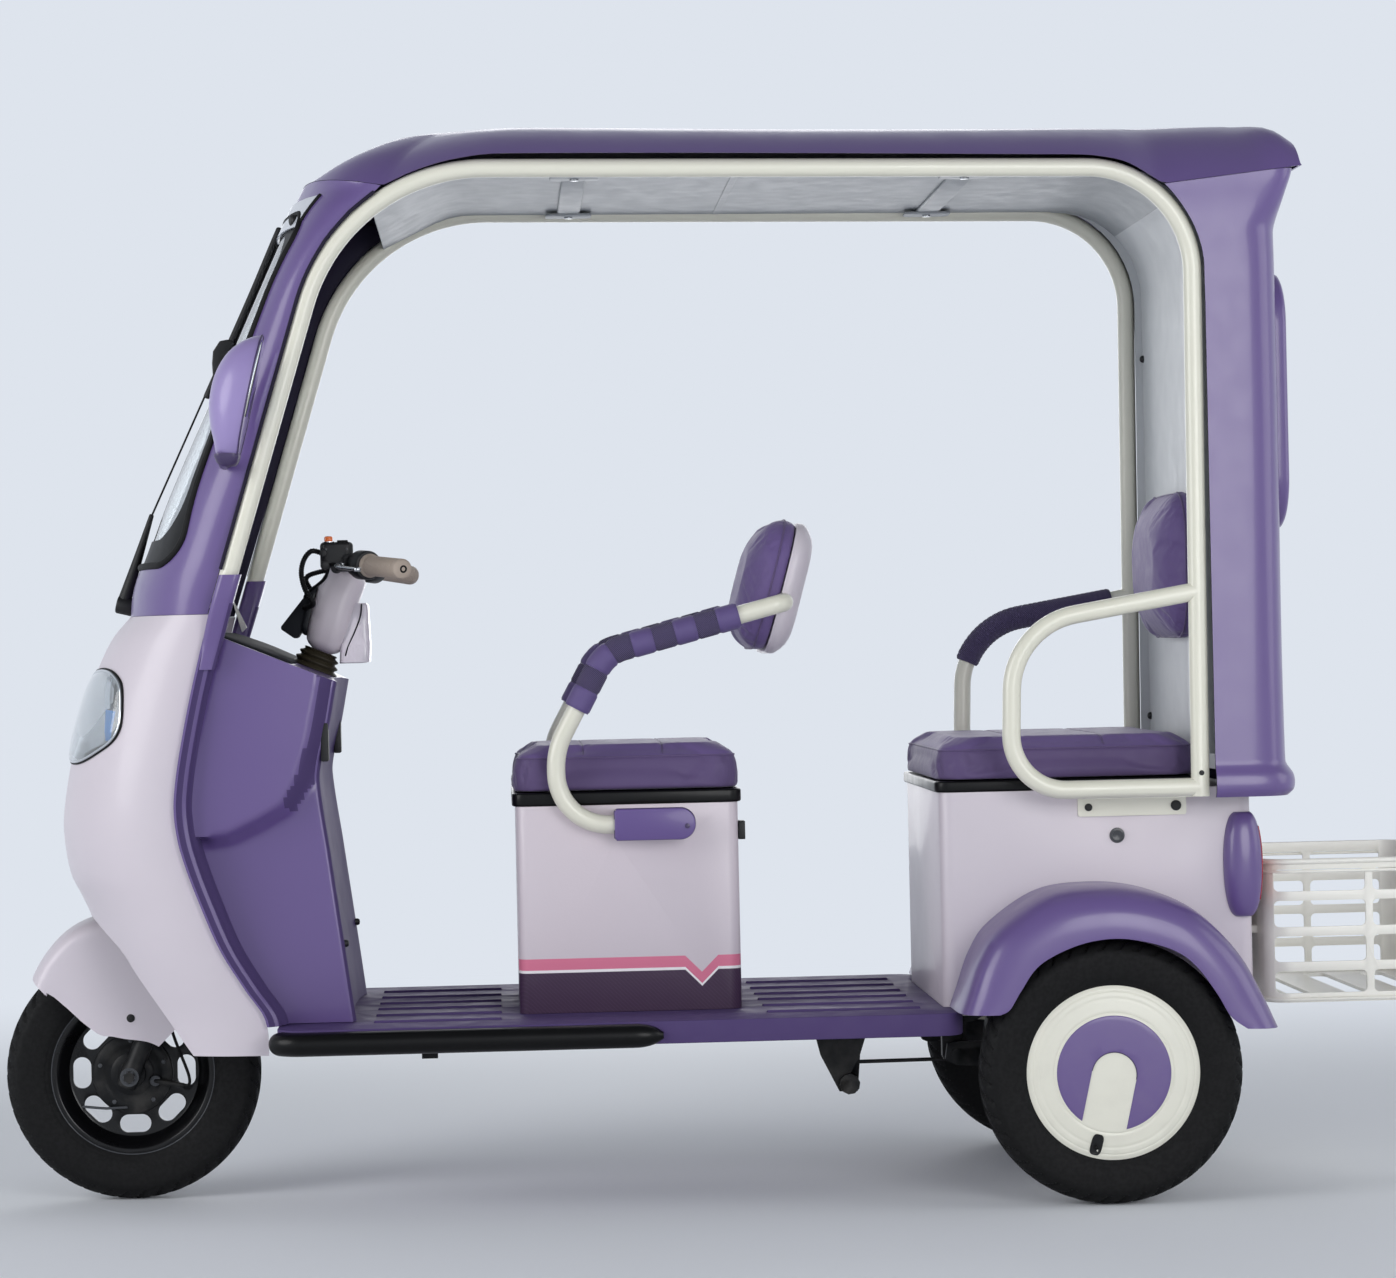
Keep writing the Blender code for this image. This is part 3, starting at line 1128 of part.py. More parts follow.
def roof_rows(inset):
    """Rows of roof points from the left edge over the crest to the right edge."""
    rows = []
    for edge, spine in roof_edge_points():
        out = Vector((edge.x - spine, edge.y, 0.0)).normalized()
        start = edge - out * inset
        crest = smooth_value(ROOF_CREST, edge.x) if edge.x >= ROOF_SIDE_X else smooth_value(ROOF_CREST, ROOF_SIDE_X)
        half = []
        for share in ROOF_SHARES:
            x = start.x + (spine - start.x) * share
            y = start.y * (1 - share)
            top = max(smooth_value(ROOF_CREST, x) if abs(y) < 0.2 else crest, edge.z)
            rise = 1 - (1 - share) ** ROOF_POWER
            top_inset = inset * min(share / 0.05, 1.0)
            half.append(Vector((x, y, edge.z + (top - edge.z) * rise - top_inset)))
        rows.append([Vector((point.x, -point.y, point.z)) for point in half[:-1]] + half[::-1])
    return rows


def roof_shell():
    """One-piece roof with rounded shoulders; its rear end drops to a lip over the rear panel."""
    outer, inner = roof_rows(0.0), roof_rows(ROOF_WALL)
    for rows, wall in ((outer, 0.0), (inner, ROOF_WALL)):
        for point in rows[0]:
            point.x -= wall
        rows.insert(0, [Vector((point.x + 0.002, point.y, min(point.z, rear_seam_height(point.x) + 2 * GAP) - 0.0)) for point in rows[0]])
    return sheet("roof_shell", outer, inner, "purple", folded=True)


LINER_THICK = 0.004
LINER_HALF_WIDTH = HOOP_Y - HOOP_RADIUS - 0.0012
LINER_RIB_X = (-0.235, 0.395)
LINER_FRONT_Z = HOOP_TOP_FRONT_Z - 0.004
LINER_REAR_Z = HOOP_TOP_REAR_Z + 0.002


def roof_liner():
    """Inner lining that follows the hoops from the windscreen down behind the rear seat."""
    corners = [(-0.560, 0, 1.610), (-0.440, 0, LINER_FRONT_Z), (LINER_WALL_X, 0, LINER_REAR_Z),
               (LINER_WALL_X, 0, BOX_TOP + 0.030)]
    path = bent_path(corners, [0.15, 0.155], 5)
    upper, lower = [], []
    for index, point in enumerate(path):
        ahead = (path[min(index + 1, len(path) - 1)] - path[max(index - 1, 0)]).normalized()
        outward = Vector((-ahead.z, 0, ahead.x))
        for row, offset in ((upper, LINER_THICK / 2), (lower, -LINER_THICK / 2)):
            row.append([point + outward * offset + Vector((0, LINER_HALF_WIDTH * share, 0)) for share in (-1, -0.5, 0, 0.5, 1)])
    liner = sheet("roof_liner", upper, lower, "liner")
    bows = []
    half = HOOP_Y - HOOP_RADIUS * math.cos(math.pi / HOOP_SIDES) - 1.5 * GAP
    for x in LINER_RIB_X:
        z = LINER_FRONT_Z + (LINER_REAR_Z - LINER_FRONT_Z) * (x + 0.440) / (LINER_WALL_X + 0.440)
        bows.append(block("bow", (x - 0.020, -half, z - 0.012), (x + 0.020, half, z), None, 0.005, "Y"))
    return combine(liner, bows)


LOOP_TOP_Z = 0.972
LOOP_CORNER = (0.450, 0.921)
LOOP_HEEL = (0.442, REAR_POST_FOOT_Z)
PLATE_FRONT_X = 0.560
PLATE_REAR_X = 0.737
PLATE_THICK = 0.004
PLATE_DROP = 0.032


def canopy_hoop(side_name, side):
    """One hoop: front post, roof rail and rear post, with its welded arm loop and box bracket."""
    y = side * HOOP_Y
    path = [(x, y, z) for x, z in hoop_path()]
    hoop = tube("canopy_hoop_" + side_name, path, HOOP_RADIUS, "cream", HOOP_SIDES)
    loop_corners = [(HOOP_REAR_X - 0.002, y, LOOP_TOP_Z), (LOOP_CORNER[0], y, LOOP_CORNER[1]),
                    (LOOP_HEEL[0], y, LOOP_HEEL[1]), (HOOP_REAR_X - 0.006, y, REAR_POST_FOOT_Z)]
    loop = tube("loop", bent_path(loop_corners, [0.125, 0.088], 3), HOOP_RADIUS, None, HOOP_SIDES)
    under = REAR_POST_FOOT_Z - HOOP_RADIUS
    inner = BOX_HALF_WIDTH + GAP
    shelf = block("shelf", (PLATE_FRONT_X, min(side * inner, y), under - 0.001), (PLATE_REAR_X, max(side * inner, y), under + 0.003), None)
    plate = block("plate", (PLATE_FRONT_X, min(side * inner, side * (inner + PLATE_THICK)), under - PLATE_DROP),
                  (PLATE_REAR_X, max(side * inner, side * (inner + PLATE_THICK)), under + 0.002), None)
    return combine(hoop, [loop, shelf, plate])


PANEL_WALL = 0.005
PANEL_TOP = 1.665
PANEL_REAR = [(PANEL_BOTTOM, 0.908), (0.650, 0.917), (0.672, 0.917), (0.696, PANEL_REAR_X), (1.300, PANEL_REAR_X),
              (1.500, 0.903), (1.570, 0.906), (1.610, 0.920), (1.640, 0.936), (PANEL_TOP, 0.9445)]
PANEL_WIDTH = [(PANEL_BOTTOM, 0.352), (0.650, 0.360), (0.672, 0.360), (0.696, PANEL_HALF_WIDTH), (1.570, PANEL_HALF_WIDTH),
               (1.640, 0.3605), (PANEL_TOP, 0.3615)]
REAR_WINDOW_LOW = 1.108
REAR_WINDOW_HIGH = 1.458
REAR_WINDOW_HALF_WIDTH = 0.225
REAR_FRAME_WIDTH = 0.036
REAR_FRAME_PROUD = 0.016


def panel_section(height, inset, count=11):
    """One level of the rear panel: sides and a slightly crowned back, open to the front along the hoops."""
    rear = smooth_value(PANEL_REAR, height) - inset
    half = smooth_value(PANEL_WIDTH, height) - inset
    front = HOOP_REAR_X + HOOP_RADIUS
    over = height - (HOOP_TOP_REAR_Z - HOOP_REAR_BEND)
    if over > 0:
        outside = HOOP_REAR_BEND + HOOP_RADIUS
        front -= outside - math.sqrt(outside ** 2 - over ** 2)
    front += PILLAR_CLEAR
    section = u_section(0.0, rear - front, half, height, 6.0, count)
    return [Vector((rear - point.x, point.y, height)) for point in section]


def rear_panel():
    """Deep purple shell behind the rear seat, with a window opening in a raised frame."""
    heights = [PANEL_BOTTOM, 0.650, 0.672, 0.696, 1.300, 1.48, 1.55, 1.60, 1.635, PANEL_TOP]
    outer = [panel_section(height, 0.0) for height in heights]
    inner = [panel_section(height, PANEL_WALL) for height in heights]
    panel = sheet("rear_panel", outer, inner, "purple")
    grow = REAR_FRAME_WIDTH
    outline = rounded_outline((-REAR_WINDOW_HALF_WIDTH - grow, REAR_WINDOW_LOW - grow),
                              (REAR_WINDOW_HALF_WIDTH + grow, REAR_WINDOW_HIGH + grow), 0.075, 4)
    frame = prism("frame", outline, PANEL_REAR_X - PANEL_WALL + 0.0005, PANEL_REAR_X + REAR_FRAME_PROUD, None, "X")
    combine(panel, [frame])
    above = side_prism("above", [(0.5, rear_seam_height(0.5)), (1.1, rear_seam_height(1.1)), (1.1, 2.0), (0.5, 2.0)], -0.6, 0.6, None)
    return cut(panel, [rear_window_prism("opening", 0.0, PANEL_REAR_X - 0.05, PANEL_REAR_X + 0.05, None), above])


def rear_window_prism(name, shrink, start, end, finish):
    """The rear window's outline drawn out along X."""
    outline = rounded_outline((-REAR_WINDOW_HALF_WIDTH + shrink, REAR_WINDOW_LOW + shrink),
                              (REAR_WINDOW_HALF_WIDTH - shrink, REAR_WINDOW_HIGH - shrink), 0.050, 4)
    return prism(name, outline, start, end, finish, "X")


def rear_window():
    """Flat pane set in the rear panel's opening."""
    return rear_window_prism("rear_window", GLASS_GAP, PANEL_REAR_X - 0.001, PANEL_REAR_X + GLASS_THICK, "clear")


def open_box(name, low, high, radius, floor, finish):
    """A box shell open above; a floor height, or None for no floor."""
    outer = block(name, low, high, finish, radius, "Z", 4)
    wall = (WALL, WALL)
    inner_low = (low[0] + wall[0], low[1] + wall[1])
    inner_high = (high[0] - wall[0], high[1] - wall[1])
    above = low[2] - 0.02 if floor is None else floor
    cutters = [block("hollow", (*inner_low, above), (*inner_high, high[2] + 0.02), None, radius - WALL, "Z", 4)]
    if floor is not None:
        cutters.append(block("under", (*inner_low, low[2] - 0.02), (*inner_high, floor - WALL), None, radius - WALL, "Z", 4))
    return cut(outer, cutters)


def rear_box():
    """Body of the rear seat: a storage tub over a skirt that clears the axle."""
    low = (BOX_FRONT_X, -BOX_HALF_WIDTH, BOX_BOTTOM)
    high = (BOX_REAR_X, BOX_HALF_WIDTH, BOX_TOP)
    box = open_box("rear_box", low, high, 0.022, BOX_FLOOR, "pale_shell")
    rails = block("rails", (BOX_FRONT_X - 0.01, -RAIL_Y - 0.05, BOX_BOTTOM - 0.02),
                  (BOX_FRONT_X + 0.03, RAIL_Y + 0.05, RAIL_TOP + 0.004), None)
    return cut(box, [rails])


def seat_pan(name, low, high, finish="black_plastic"):
    """Lid pan under a seat cushion."""
    return block(name, low, high, finish, 0.022, "Z", 4)


def cushion(name, low, high, crown, channels, finish, squeeze=0.006):
    """Seat cushion: rounded plan, crowned top, sides drawn in at the base, with sewn channels across it."""
    middle = ((low[0] + high[0]) / 2, (low[1] + high[1]) / 2)
    half = ((high[0] - low[0]) / 2, (high[1] - low[1]) / 2)
    height = high[2] - low[2] - crown
    rings = []
    for up, inset in ((0.0, squeeze), (0.10, squeeze * 0.8), (0.35, 0.001), (0.60, 0.0), (0.84, 0.005), (0.96, 0.014), (1.0, 0.024)):
        outline = rounded_outline((low[0] + inset, low[1] + inset), (high[0] - inset, high[1] - inset), 0.045 - inset * 0.5, 4)
        rings.append([Vector((x, y, low[2] + height * up)) for x, y in outline])
    base = loft(name, rings, finish)
    work = bmesh.new()
    work.from_mesh(base.data)
    top = max(work.faces, key=lambda face: face.calc_center_median().z)
    lines = []
    for x in channels:
        lines += [x - 0.010, x, x + 0.010]
    lines += [low[0] + (high[0] - low[0]) * share for share in (0.15, 0.30, 0.5, 0.70, 0.85)]
    for x in sorted(lines):
        geometry = [face for face in work.faces if face.calc_center_median().z > low[2] + height - 1e-5]
        edges = {edge for face in geometry for edge in face.edges}
        points = {point for face in geometry for point in face.verts}
        bmesh.ops.bisect_plane(work, geom=list(geometry) + list(edges) + list(points), plane_co=(x, 0, 0), plane_no=(1, 0, 0))
    for share in (-0.7, -0.4, 0.0, 0.4, 0.7):
        geometry = [face for face in work.faces if face.calc_center_median().z > low[2] + height - 1e-5]
        edges = {edge for face in geometry for edge in face.edges}
        points = {point for face in geometry for point in face.verts}
        bmesh.ops.bisect_plane(work, geom=list(geometry) + list(edges) + list(points),
                               plane_co=(0, middle[1] + half[1] * share, 0), plane_no=(0, 1, 0))
    for point in work.verts:
        if point.co.z > low[2] + height - 1e-5:
            share_x = (point.co.x - middle[0]) / half[0]
            share_y = (point.co.y - middle[1]) / half[1]
            inside = max(0.0, (1 - abs(share_x) ** 2.5) * (1 - abs(share_y) ** 2.5))
            point.co.z += crown * inside ** 0.6
            if any(abs(point.co.x - x) < 1e-5 for x in channels) and abs(share_y) < 0.9:
                point.co.z -= 0.004
    work.to_mesh(base.data)
    work.free()
    return base


def rear_seat():
    """Rear cushion and the pan below it."""
    low = (BOX_FRONT_X - SEAT_OVERHANG, -BOX_HALF_WIDTH - 0.004)
    high = (REAR_CUSHION_REAR_X, BOX_HALF_WIDTH + 0.004)
    pan_z = BOX_TOP + GAP
    pan = seat_pan("rear_seat_pan", (low[0] + 0.002, -BOX_HALF_WIDTH, pan_z), (high[0], BOX_HALF_WIDTH, pan_z + REAR_PAN_THICK))
    foot = pan_z + REAR_PAN_THICK + GAP
    pad = cushion("rear_seat_cushion", (*low, foot), (*high, foot + REAR_CUSHION_HEIGHT), 0.006,
                  (low[0] + 0.14, low[0] + 0.28), "vinyl")
    return [pan, pad]


def driver_seat():
    """Driver's cushion and the pan below it."""
    low = (SEAT_BOX_FRONT_X - SEAT_OVERHANG, -SEAT_BOX_HALF_WIDTH - 0.001)
    high = (SEAT_BOX_REAR_X + SEAT_OVERHANG, SEAT_BOX_HALF_WIDTH + 0.001)
    pan_z = SEAT_BOX_TOP + GAP
    pan = seat_pan("driver_seat_pan", (low[0] + 0.002, -SEAT_BOX_HALF_WIDTH, pan_z),
                   (high[0] - 0.002, SEAT_BOX_HALF_WIDTH, pan_z + SEAT_PAN_THICK))
    foot = pan_z + SEAT_PAN_THICK + GAP
    pad = cushion("driver_seat_cushion", (*low, foot), (*high, foot + SEAT_CUSHION_HEIGHT), 0.006,
                  (low[0] + 0.12, low[0] + 0.25), "vinyl")
    return [pan, pad]


def driver_seat_box():
    """Shell below the driver's seat, open above and below round the battery."""
    low = (SEAT_BOX_FRONT_X, -SEAT_BOX_HALF_WIDTH, FLOOR_TOP + GAP)
    high = (SEAT_BOX_REAR_X, SEAT_BOX_HALF_WIDTH, SEAT_BOX_TOP)
    box = open_box("driver_seat_box", low, high, 0.020, None, "pale_shell")
    latch = block("latch", (SEAT_BOX_REAR_X - 0.002, -0.016, SEAT_BOX_TOP - 0.040), (SEAT_BOX_REAR_X + 0.009, 0.016, SEAT_BOX_TOP - 0.008),
                  None, 0.003, "X", 2)
    combine(box, [latch] + [arm_boss(side) for name, side in SIDES])
    return cut(box, [tube("hole", [(ARM_BOSS_FRONT_X - 0.05, side * ARM_TUBE_Y, ARM_BASE[1]), (ARM_BASE[0] + GAP, side * ARM_TUBE_Y, ARM_BASE[1])],
                          (ARM_TUBE_RADIUS + GAP) / math.cos(math.pi / ARM_SIDES), None, ARM_SIDES) for name, side in SIDES])


def battery_pack():
    """Battery case with a carrying handle, standing on the floor inside the driver's seat box."""
    low = (SEAT_BOX_FRONT_X + 0.035, -SEAT_BOX_HALF_WIDTH + 0.035, FLOOR_TOP + GAP)
    high = (SEAT_BOX_REAR_X - 0.035, SEAT_BOX_HALF_WIDTH - 0.035, 0.520)
    case = block("battery_pack", low, high, "battery", 0.015)
    middle = (low[0] + high[0]) / 2
    handle = tube("handle", bent_path([(middle, -0.060, high[2] - 0.004), (middle, -0.060, high[2] + 0.030),
                                       (middle, 0.060, high[2] + 0.030), (middle, 0.060, high[2] - 0.004)], 0.015, 3), 0.006, None, 6)
    return combine(case, [handle])


# Arm frame of the driver's seat: side-view corners and bends
ARM_BASE = (-0.150, 0.614)
ARM_HEEL = (-0.284, 0.614)
ARM_KNEE = (-0.284, 0.737)
ARM_ELBOW = (-0.200, 0.893)
ARM_TIP = (0.094, 0.969)
ARM_BENDS = [0.085, 0.12, 0.070]
ARM_SIDES = 8
SLEEVE_START = 0.42
SLEEVE_END = 0.74
ARM_STEPS = 3
ARM_BOSS_FRONT_X = -0.190


def driver_arm_frame():
    """One bent tube: up from each side of the seat box, along the arms and across behind the backrest."""
    corners = [ARM_BASE, ARM_HEEL, ARM_KNEE, ARM_ELBOW, ARM_TIP]
    left = [(x, -ARM_TUBE_Y, z) for x, z in corners]
    right = [(x, ARM_TUBE_Y, z) for x, z in reversed(corners)]
    bends = ARM_BENDS + [0.021, 0.021] + ARM_BENDS[::-1]
    return tube("driver_arm_frame", bent_path(left + right, bends, ARM_STEPS), ARM_TUBE_RADIUS, "cream", ARM_SIDES)


def hollow_tube(name, path, outer, bore, finish, sides):
    """A sleeve of constant wall along a path, open at both ends."""
    outside = tube_rings(path, outer, sides)
    inside = tube_rings(path, bore, sides)
    rings = outside + list(reversed(inside))
    return loft(name, rings, finish, closed_path=True)


def driver_armrest_sleeve(side_name, side):
    """Foam sleeve over an arm's elbow and forearm."""
    knee, elbow, tip = (Vector((x, side * ARM_TUBE_Y, z)) for x, z in (ARM_KNEE, ARM_ELBOW, ARM_TIP))
    corners = [knee.lerp(elbow, SLEEVE_START), elbow, elbow.lerp(tip, SLEEVE_END)]
    bore = (ARM_TUBE_RADIUS + GAP) / math.cos(math.pi / ARM_SIDES)
    return hollow_tube("driver_armrest_sleeve_" + side_name, bent_path(corners, ARM_BENDS[2], ARM_STEPS),
                       SLEEVE_RADIUS, bore, "dark_purple", ARM_SIDES)


def arm_boss(side):
    """Boss on the seat box's side that holds the foot of an arm."""
    half = ARM_COVER_HEIGHT / 2
    rear = ARM_BOSS_FRONT_X + ARM_COVER_LENGTH
    outline = [(ARM_BOSS_FRONT_X, ARM_BASE[1] + half), (ARM_BOSS_FRONT_X, ARM_BASE[1] - half)]
    outline += [(rear - half + half * math.cos(turn), ARM_BASE[1] + half * math.sin(turn)) for turn in between(-math.pi / 2, math.pi / 2, 7)]
    inner, outer = SEAT_BOX_HALF_WIDTH - 0.001, ARM_TUBE_Y + ARM_TUBE_RADIUS + 0.006
    return side_prism("boss", outline, min(side * inner, side * outer), max(side * inner, side * outer), None)


BACK_LEAN = math.radians(15.5)
BACK_FOOT = Vector((0.066, 0.0, 0.888))
BACK_HALF_WIDTH = 0.170
BACK_HEIGHT = 0.222
BACK_PAD_THICK = 0.062
BACK_SHELL_THICK = 0.036
BACK_CORNER = 0.075


def back_frame(local):
    """World point from the backrest's own axes: rearward, across, up its lean."""
    rear = Vector((math.cos(BACK_LEAN), 0, -math.sin(BACK_LEAN)))
    up = Vector((math.sin(BACK_LEAN), 0, math.cos(BACK_LEAN)))
    return BACK_FOOT + rear * local[0] + Vector((0, local[1], 0)) + up * local[2]


def back_shape(name, layers, finish):
    """A rounded pad or shell from layers of (depth, inset)."""
    rings = []
    for depth, inset in layers:
        outline = rounded_outline((-BACK_HALF_WIDTH + inset, inset), (BACK_HALF_WIDTH - inset, BACK_HEIGHT - inset),
                                  max(BACK_CORNER - inset, 0.02), 5)
        rings.append([back_frame((depth, y, z)) for y, z in outline])
    return loft(name, rings, finish)


def driver_backrest():
    """Backrest cushion on a hard shell that holds the cross tube."""
    pad = back_shape("driver_backrest_pad", [(-BACK_PAD_THICK, 0.055), (-BACK_PAD_THICK + 0.004, 0.035), (-BACK_PAD_THICK * 0.80, 0.014),
                                             (-BACK_PAD_THICK * 0.5, 0.002), (-0.012, 0.0), (-GAP, 0.004)], "vinyl")
    shell = back_shape("driver_backrest_shell", [(GAP, 0.001), (0.010, 0.0), (BACK_SHELL_THICK * 0.7, 0.012), (BACK_SHELL_THICK, 0.040)], "pale_shell")
    bore = (ARM_TUBE_RADIUS + GAP) / math.cos(math.pi / 16)
    holes = [disc("hole", (ARM_TIP[0], 0, ARM_TIP[1]), bore, BACK_HALF_WIDTH + 0.1, None, steps=16) for piece in (pad, shell)]
    return [cut(pad, holes[:1]), cut(shell, holes[1:])]


def rear_backrest_pad():
    """Crowned cushion on the rear wall."""
    wall = LINER_WALL_X - LINER_THICK / 2 - GAP
    low, high, half = 0.893, 1.143, 0.190
    rings = []
    for depth, inset in ((0.0, 0.004), (0.012, 0.0), (0.034, 0.004), (0.048, 0.022), (0.053, 0.060)):
        outline = rounded_outline((-half + inset, low + inset), (half - inset, high - inset), 0.085 - inset, 5)
        rings.append([Vector((wall - depth, y, z)) for y, z in outline])
    return loft("rear_backrest_pad", rings, "vinyl")


# Rear mudguards: side-view outlines measured from the axle (x, z), front to rear
GUARD_OUTER = [(-0.241, 0.0975), (-0.229, 0.130), (-0.209, 0.185), (-0.176, 0.232), (-0.097, 0.283), (-0.010, 0.294),
               (0.062, 0.286), (0.127, 0.262), (0.176, 0.223), (0.217, 0.174), (0.250, 0.112), (0.271, 0.064)]
GUARD_INNER = [(-0.181, 0.0975), (-0.165, 0.106), (-0.146, 0.136), (-0.116, 0.175), (-0.060, 0.203), (-0.003, 0.2135),
               (0.050, 0.208), (0.101, 0.191), (0.134, 0.165), (0.165, 0.122), (0.186, 0.086), (0.212, 0.066)]
GUARD_WIDTH = 0.178
GUARD_WALL = 0.0035


def rear_fender(side_name, side):
    """Mudguard: rounded barrel from the box's side out over the tyre, with a lip outside it."""
    inner_y = BOX_HALF_WIDTH + GAP
    outside, inside = [], []
    for (outer_x, outer_z), (lip_x, lip_z) in zip(GUARD_OUTER, GUARD_INNER):
        top, lip = Vector((outer_x, 0, outer_z)), Vector((lip_x, 0, lip_z))
        down = (lip - top).normalized()
        reach = (lip - top).length
        for rows, wall in ((outside, 0.0), (inside, GUARD_WALL)):
            row = []
            for share_y, share_down in ((0.0, 0.0), (0.45, 0.0), (0.72, 0.035), (0.88, 0.16), (0.97, 0.42), (1.0, 0.72), (1.0, 1.0)):
                place = top + down * (wall + (reach - wall) * share_down)
                across = inner_y + (GUARD_WIDTH - wall) * share_y
                row.append(REAR_AXLE + Vector((place.x, side * across, place.z)))
            rows.append(row)
    return sheet("rear_fender_" + side_name, outside, inside, "purple")


LAMP_X = 0.8280
LAMP_Z = 0.527
LAMP_SIZE = (0.032, 0.034, 0.087)


def tail_lamp(side_name, side):
    """Tail lamp housing wrapped round a rear corner of the box."""
    centre = Vector((LAMP_X, side * (BOX_HALF_WIDTH - 0.006), LAMP_Z))
    rings = []
    for turn in between(-math.pi / 2 + 0.22, math.pi / 2 - 0.22, 7):
        size = math.cos(turn) ** 0.55
        rings.append([centre + Vector((LAMP_SIZE[0] * size * math.copysign(abs(math.cos(round_it)) ** 0.8, math.cos(round_it)),
                                       side * LAMP_SIZE[1] * size * math.copysign(abs(math.sin(round_it)) ** 0.8, math.sin(round_it)),
                                       LAMP_SIZE[2] * math.sin(turn)))
                      for round_it in (2 * math.pi * step / 12 for step in range(12))])
    lamp = loft("tail_lamp_" + side_name, rings, "purple")
    body = block("body", (BOX_FRONT_X, -BOX_HALF_WIDTH - GAP, BOX_BOTTOM - 0.1), (BOX_REAR_X + GAP, BOX_HALF_WIDTH + GAP, BOX_TOP + 0.1),
                 None, 0.022, "Z", 4)
    return cut(lamp, [body])


BASKET_ROWS = ((0.313, 0.349), (0.364, 0.406), (0.421, 0.464), (0.479, 0.515))
BASKET_CORNER = 0.040


def rear_basket():
    """Slatted basket with rounded corners, held on two brackets behind the box."""
    front, rear, half = BASKET_FRONT_X, BASKET_REAR_X, BASKET_HALF_WIDTH
    basket = block("rear_basket", (front, -half, BASKET_BOTTOM), (rear, half, BASKET_TOP), "cream", BASKET_CORNER, "Z", 4)
    wall = BASKET_WALL
    hollow = block("hollow", (front + wall, -half + wall, BASKET_BOTTOM + wall), (rear - wall, half - wall, BASKET_TOP + 0.02),
                   None, BASKET_CORNER - wall, "Z", 4)
    post = 0.012
    middle = (front + rear) / 2
    slots = []
    for low, high in BASKET_ROWS:
        for start, end in ((front + BASKET_CORNER, middle - post / 2), (middle + post / 2, rear - BASKET_CORNER)):
            slots.append(block("slot", (start, -half - 0.02, low), (end, half + 0.02, high), None))
        third = (2 * half - 2 * BASKET_CORNER - 2 * post) / 3
        for index in range(3):
            start = -half + BASKET_CORNER + index * (third + post)
            slots.append(block("slot", (rear - 0.02, start, low), (rear + 0.02, start + third, high), None))
    for index in range(3):
        x = front + 0.050 + index * (rear - front - 0.10 - 0.040) / 2
        slots.append(block("slot", (x, -half + BASKET_CORNER, BASKET_BOTTOM - 0.02), (x + 0.040, half - BASKET_CORNER, BASKET_BOTTOM + 0.02), None))
    cut(basket, [hollow] + slots)
    rim = []
    for name, side in SIDES:
        rim.append(block("bracket", (BOX_REAR_X + GAP, side * 0.150 - 0.015, BASKET_ROWS[2][0] - 0.014),
                         (front + 0.003, side * 0.150 + 0.015, BASKET_ROWS[2][0] - 0.002), None))
    return combine(basket, rim)


STALK_RADIUS = 0.009
MIRROR_FOOT_AHEAD = 0.039
STALK_FOOT_RADIUS = 0.0045
FACET_SAG = 0.0012


def mirror(side_name, side):
    """Mirror housing with its stalk; the glass side faces the rear."""
    centre = Vector((-0.757, side * 0.432, 1.303))
    half_y, half_z, front, rear = 0.062, 0.100, 0.058, 0.004
    tilt = Matrix.Rotation(math.radians(12.3), 3, "Y")
    rings = []
    for depth, size in ((-front, 0.35), (-front * 0.85, 0.68), (-front * 0.40, 0.94), (0.0, 1.0), (rear, 0.985)):
        ring = []
        for step in range(14):
            turn = 2 * math.pi * step / 14
            across = math.copysign(abs(math.cos(turn)) ** 0.85, math.cos(turn)) * half_y * size
            up = math.copysign(abs(math.sin(turn)) ** 0.85, math.sin(turn)) * half_z * size
            ring.append(centre + tilt @ Vector((depth, side * across, up)))
        rings.append(ring)
    housing = loft("mirror_" + side_name, rings, "purple")
    foot = mirror_foot(side)
    stalk = tube("stalk", bent_path([foot, foot + Vector((0, side * 0.030, 0)), centre + Vector((-0.036, -side * 0.012, -0.062))], 0.018, 3),
                 lambda share: STALK_FOOT_RADIUS + (STALK_RADIUS - STALK_FOOT_RADIUS) * min(share * 8, 1.0), None, 8)
    return combine(housing, [stalk])


def mirror_foot(side):
    """Where a mirror's stalk meets the pillar."""
    height = 1.205
    x = hoop_front_x(height) - MIRROR_FOOT_AHEAD
    return Vector((x, side * (screen_half_width(x + STALK_FOOT_RADIUS, height) - FACET_SAG), height))


WIPER_PIVOT = Vector((-0.994, 0.0, 0.988))
WIPER_TOP_Z = 1.614
WIPER_CLEAR = 0.0145


def wiper_arm():
    """Wiper: spindle housing, arm and blade standing up the middle of the windscreen."""
    def on_glass(height, clear):
        return Vector((smooth_value(GLASS_CENTRE, height) - clear, 0.0, height))

    blade = tube("wiper_arm", [on_glass(height, WIPER_CLEAR) for height in between(1.335, WIPER_TOP_Z, 5)], 0.0065, "black_plastic", 8)
    arm = tube("arm", [on_glass(0.990, 0.022), on_glass(1.060, 0.026), on_glass(1.145, 0.024), on_glass(1.30, 0.022), on_glass(1.40, WIPER_CLEAR)],
               lambda share: 0.0095 if share < 0.45 else 0.0035, None, 8)
    hub = disc("hub", on_glass(WIPER_PIVOT.z, 0.0141), 0.015, 0.0145, None, WIPER_AXIS, 12)
    return combine(blade, [arm, hub])


WIPER_AXIS = Vector((-0.97, 0.0, 0.24)).normalized()


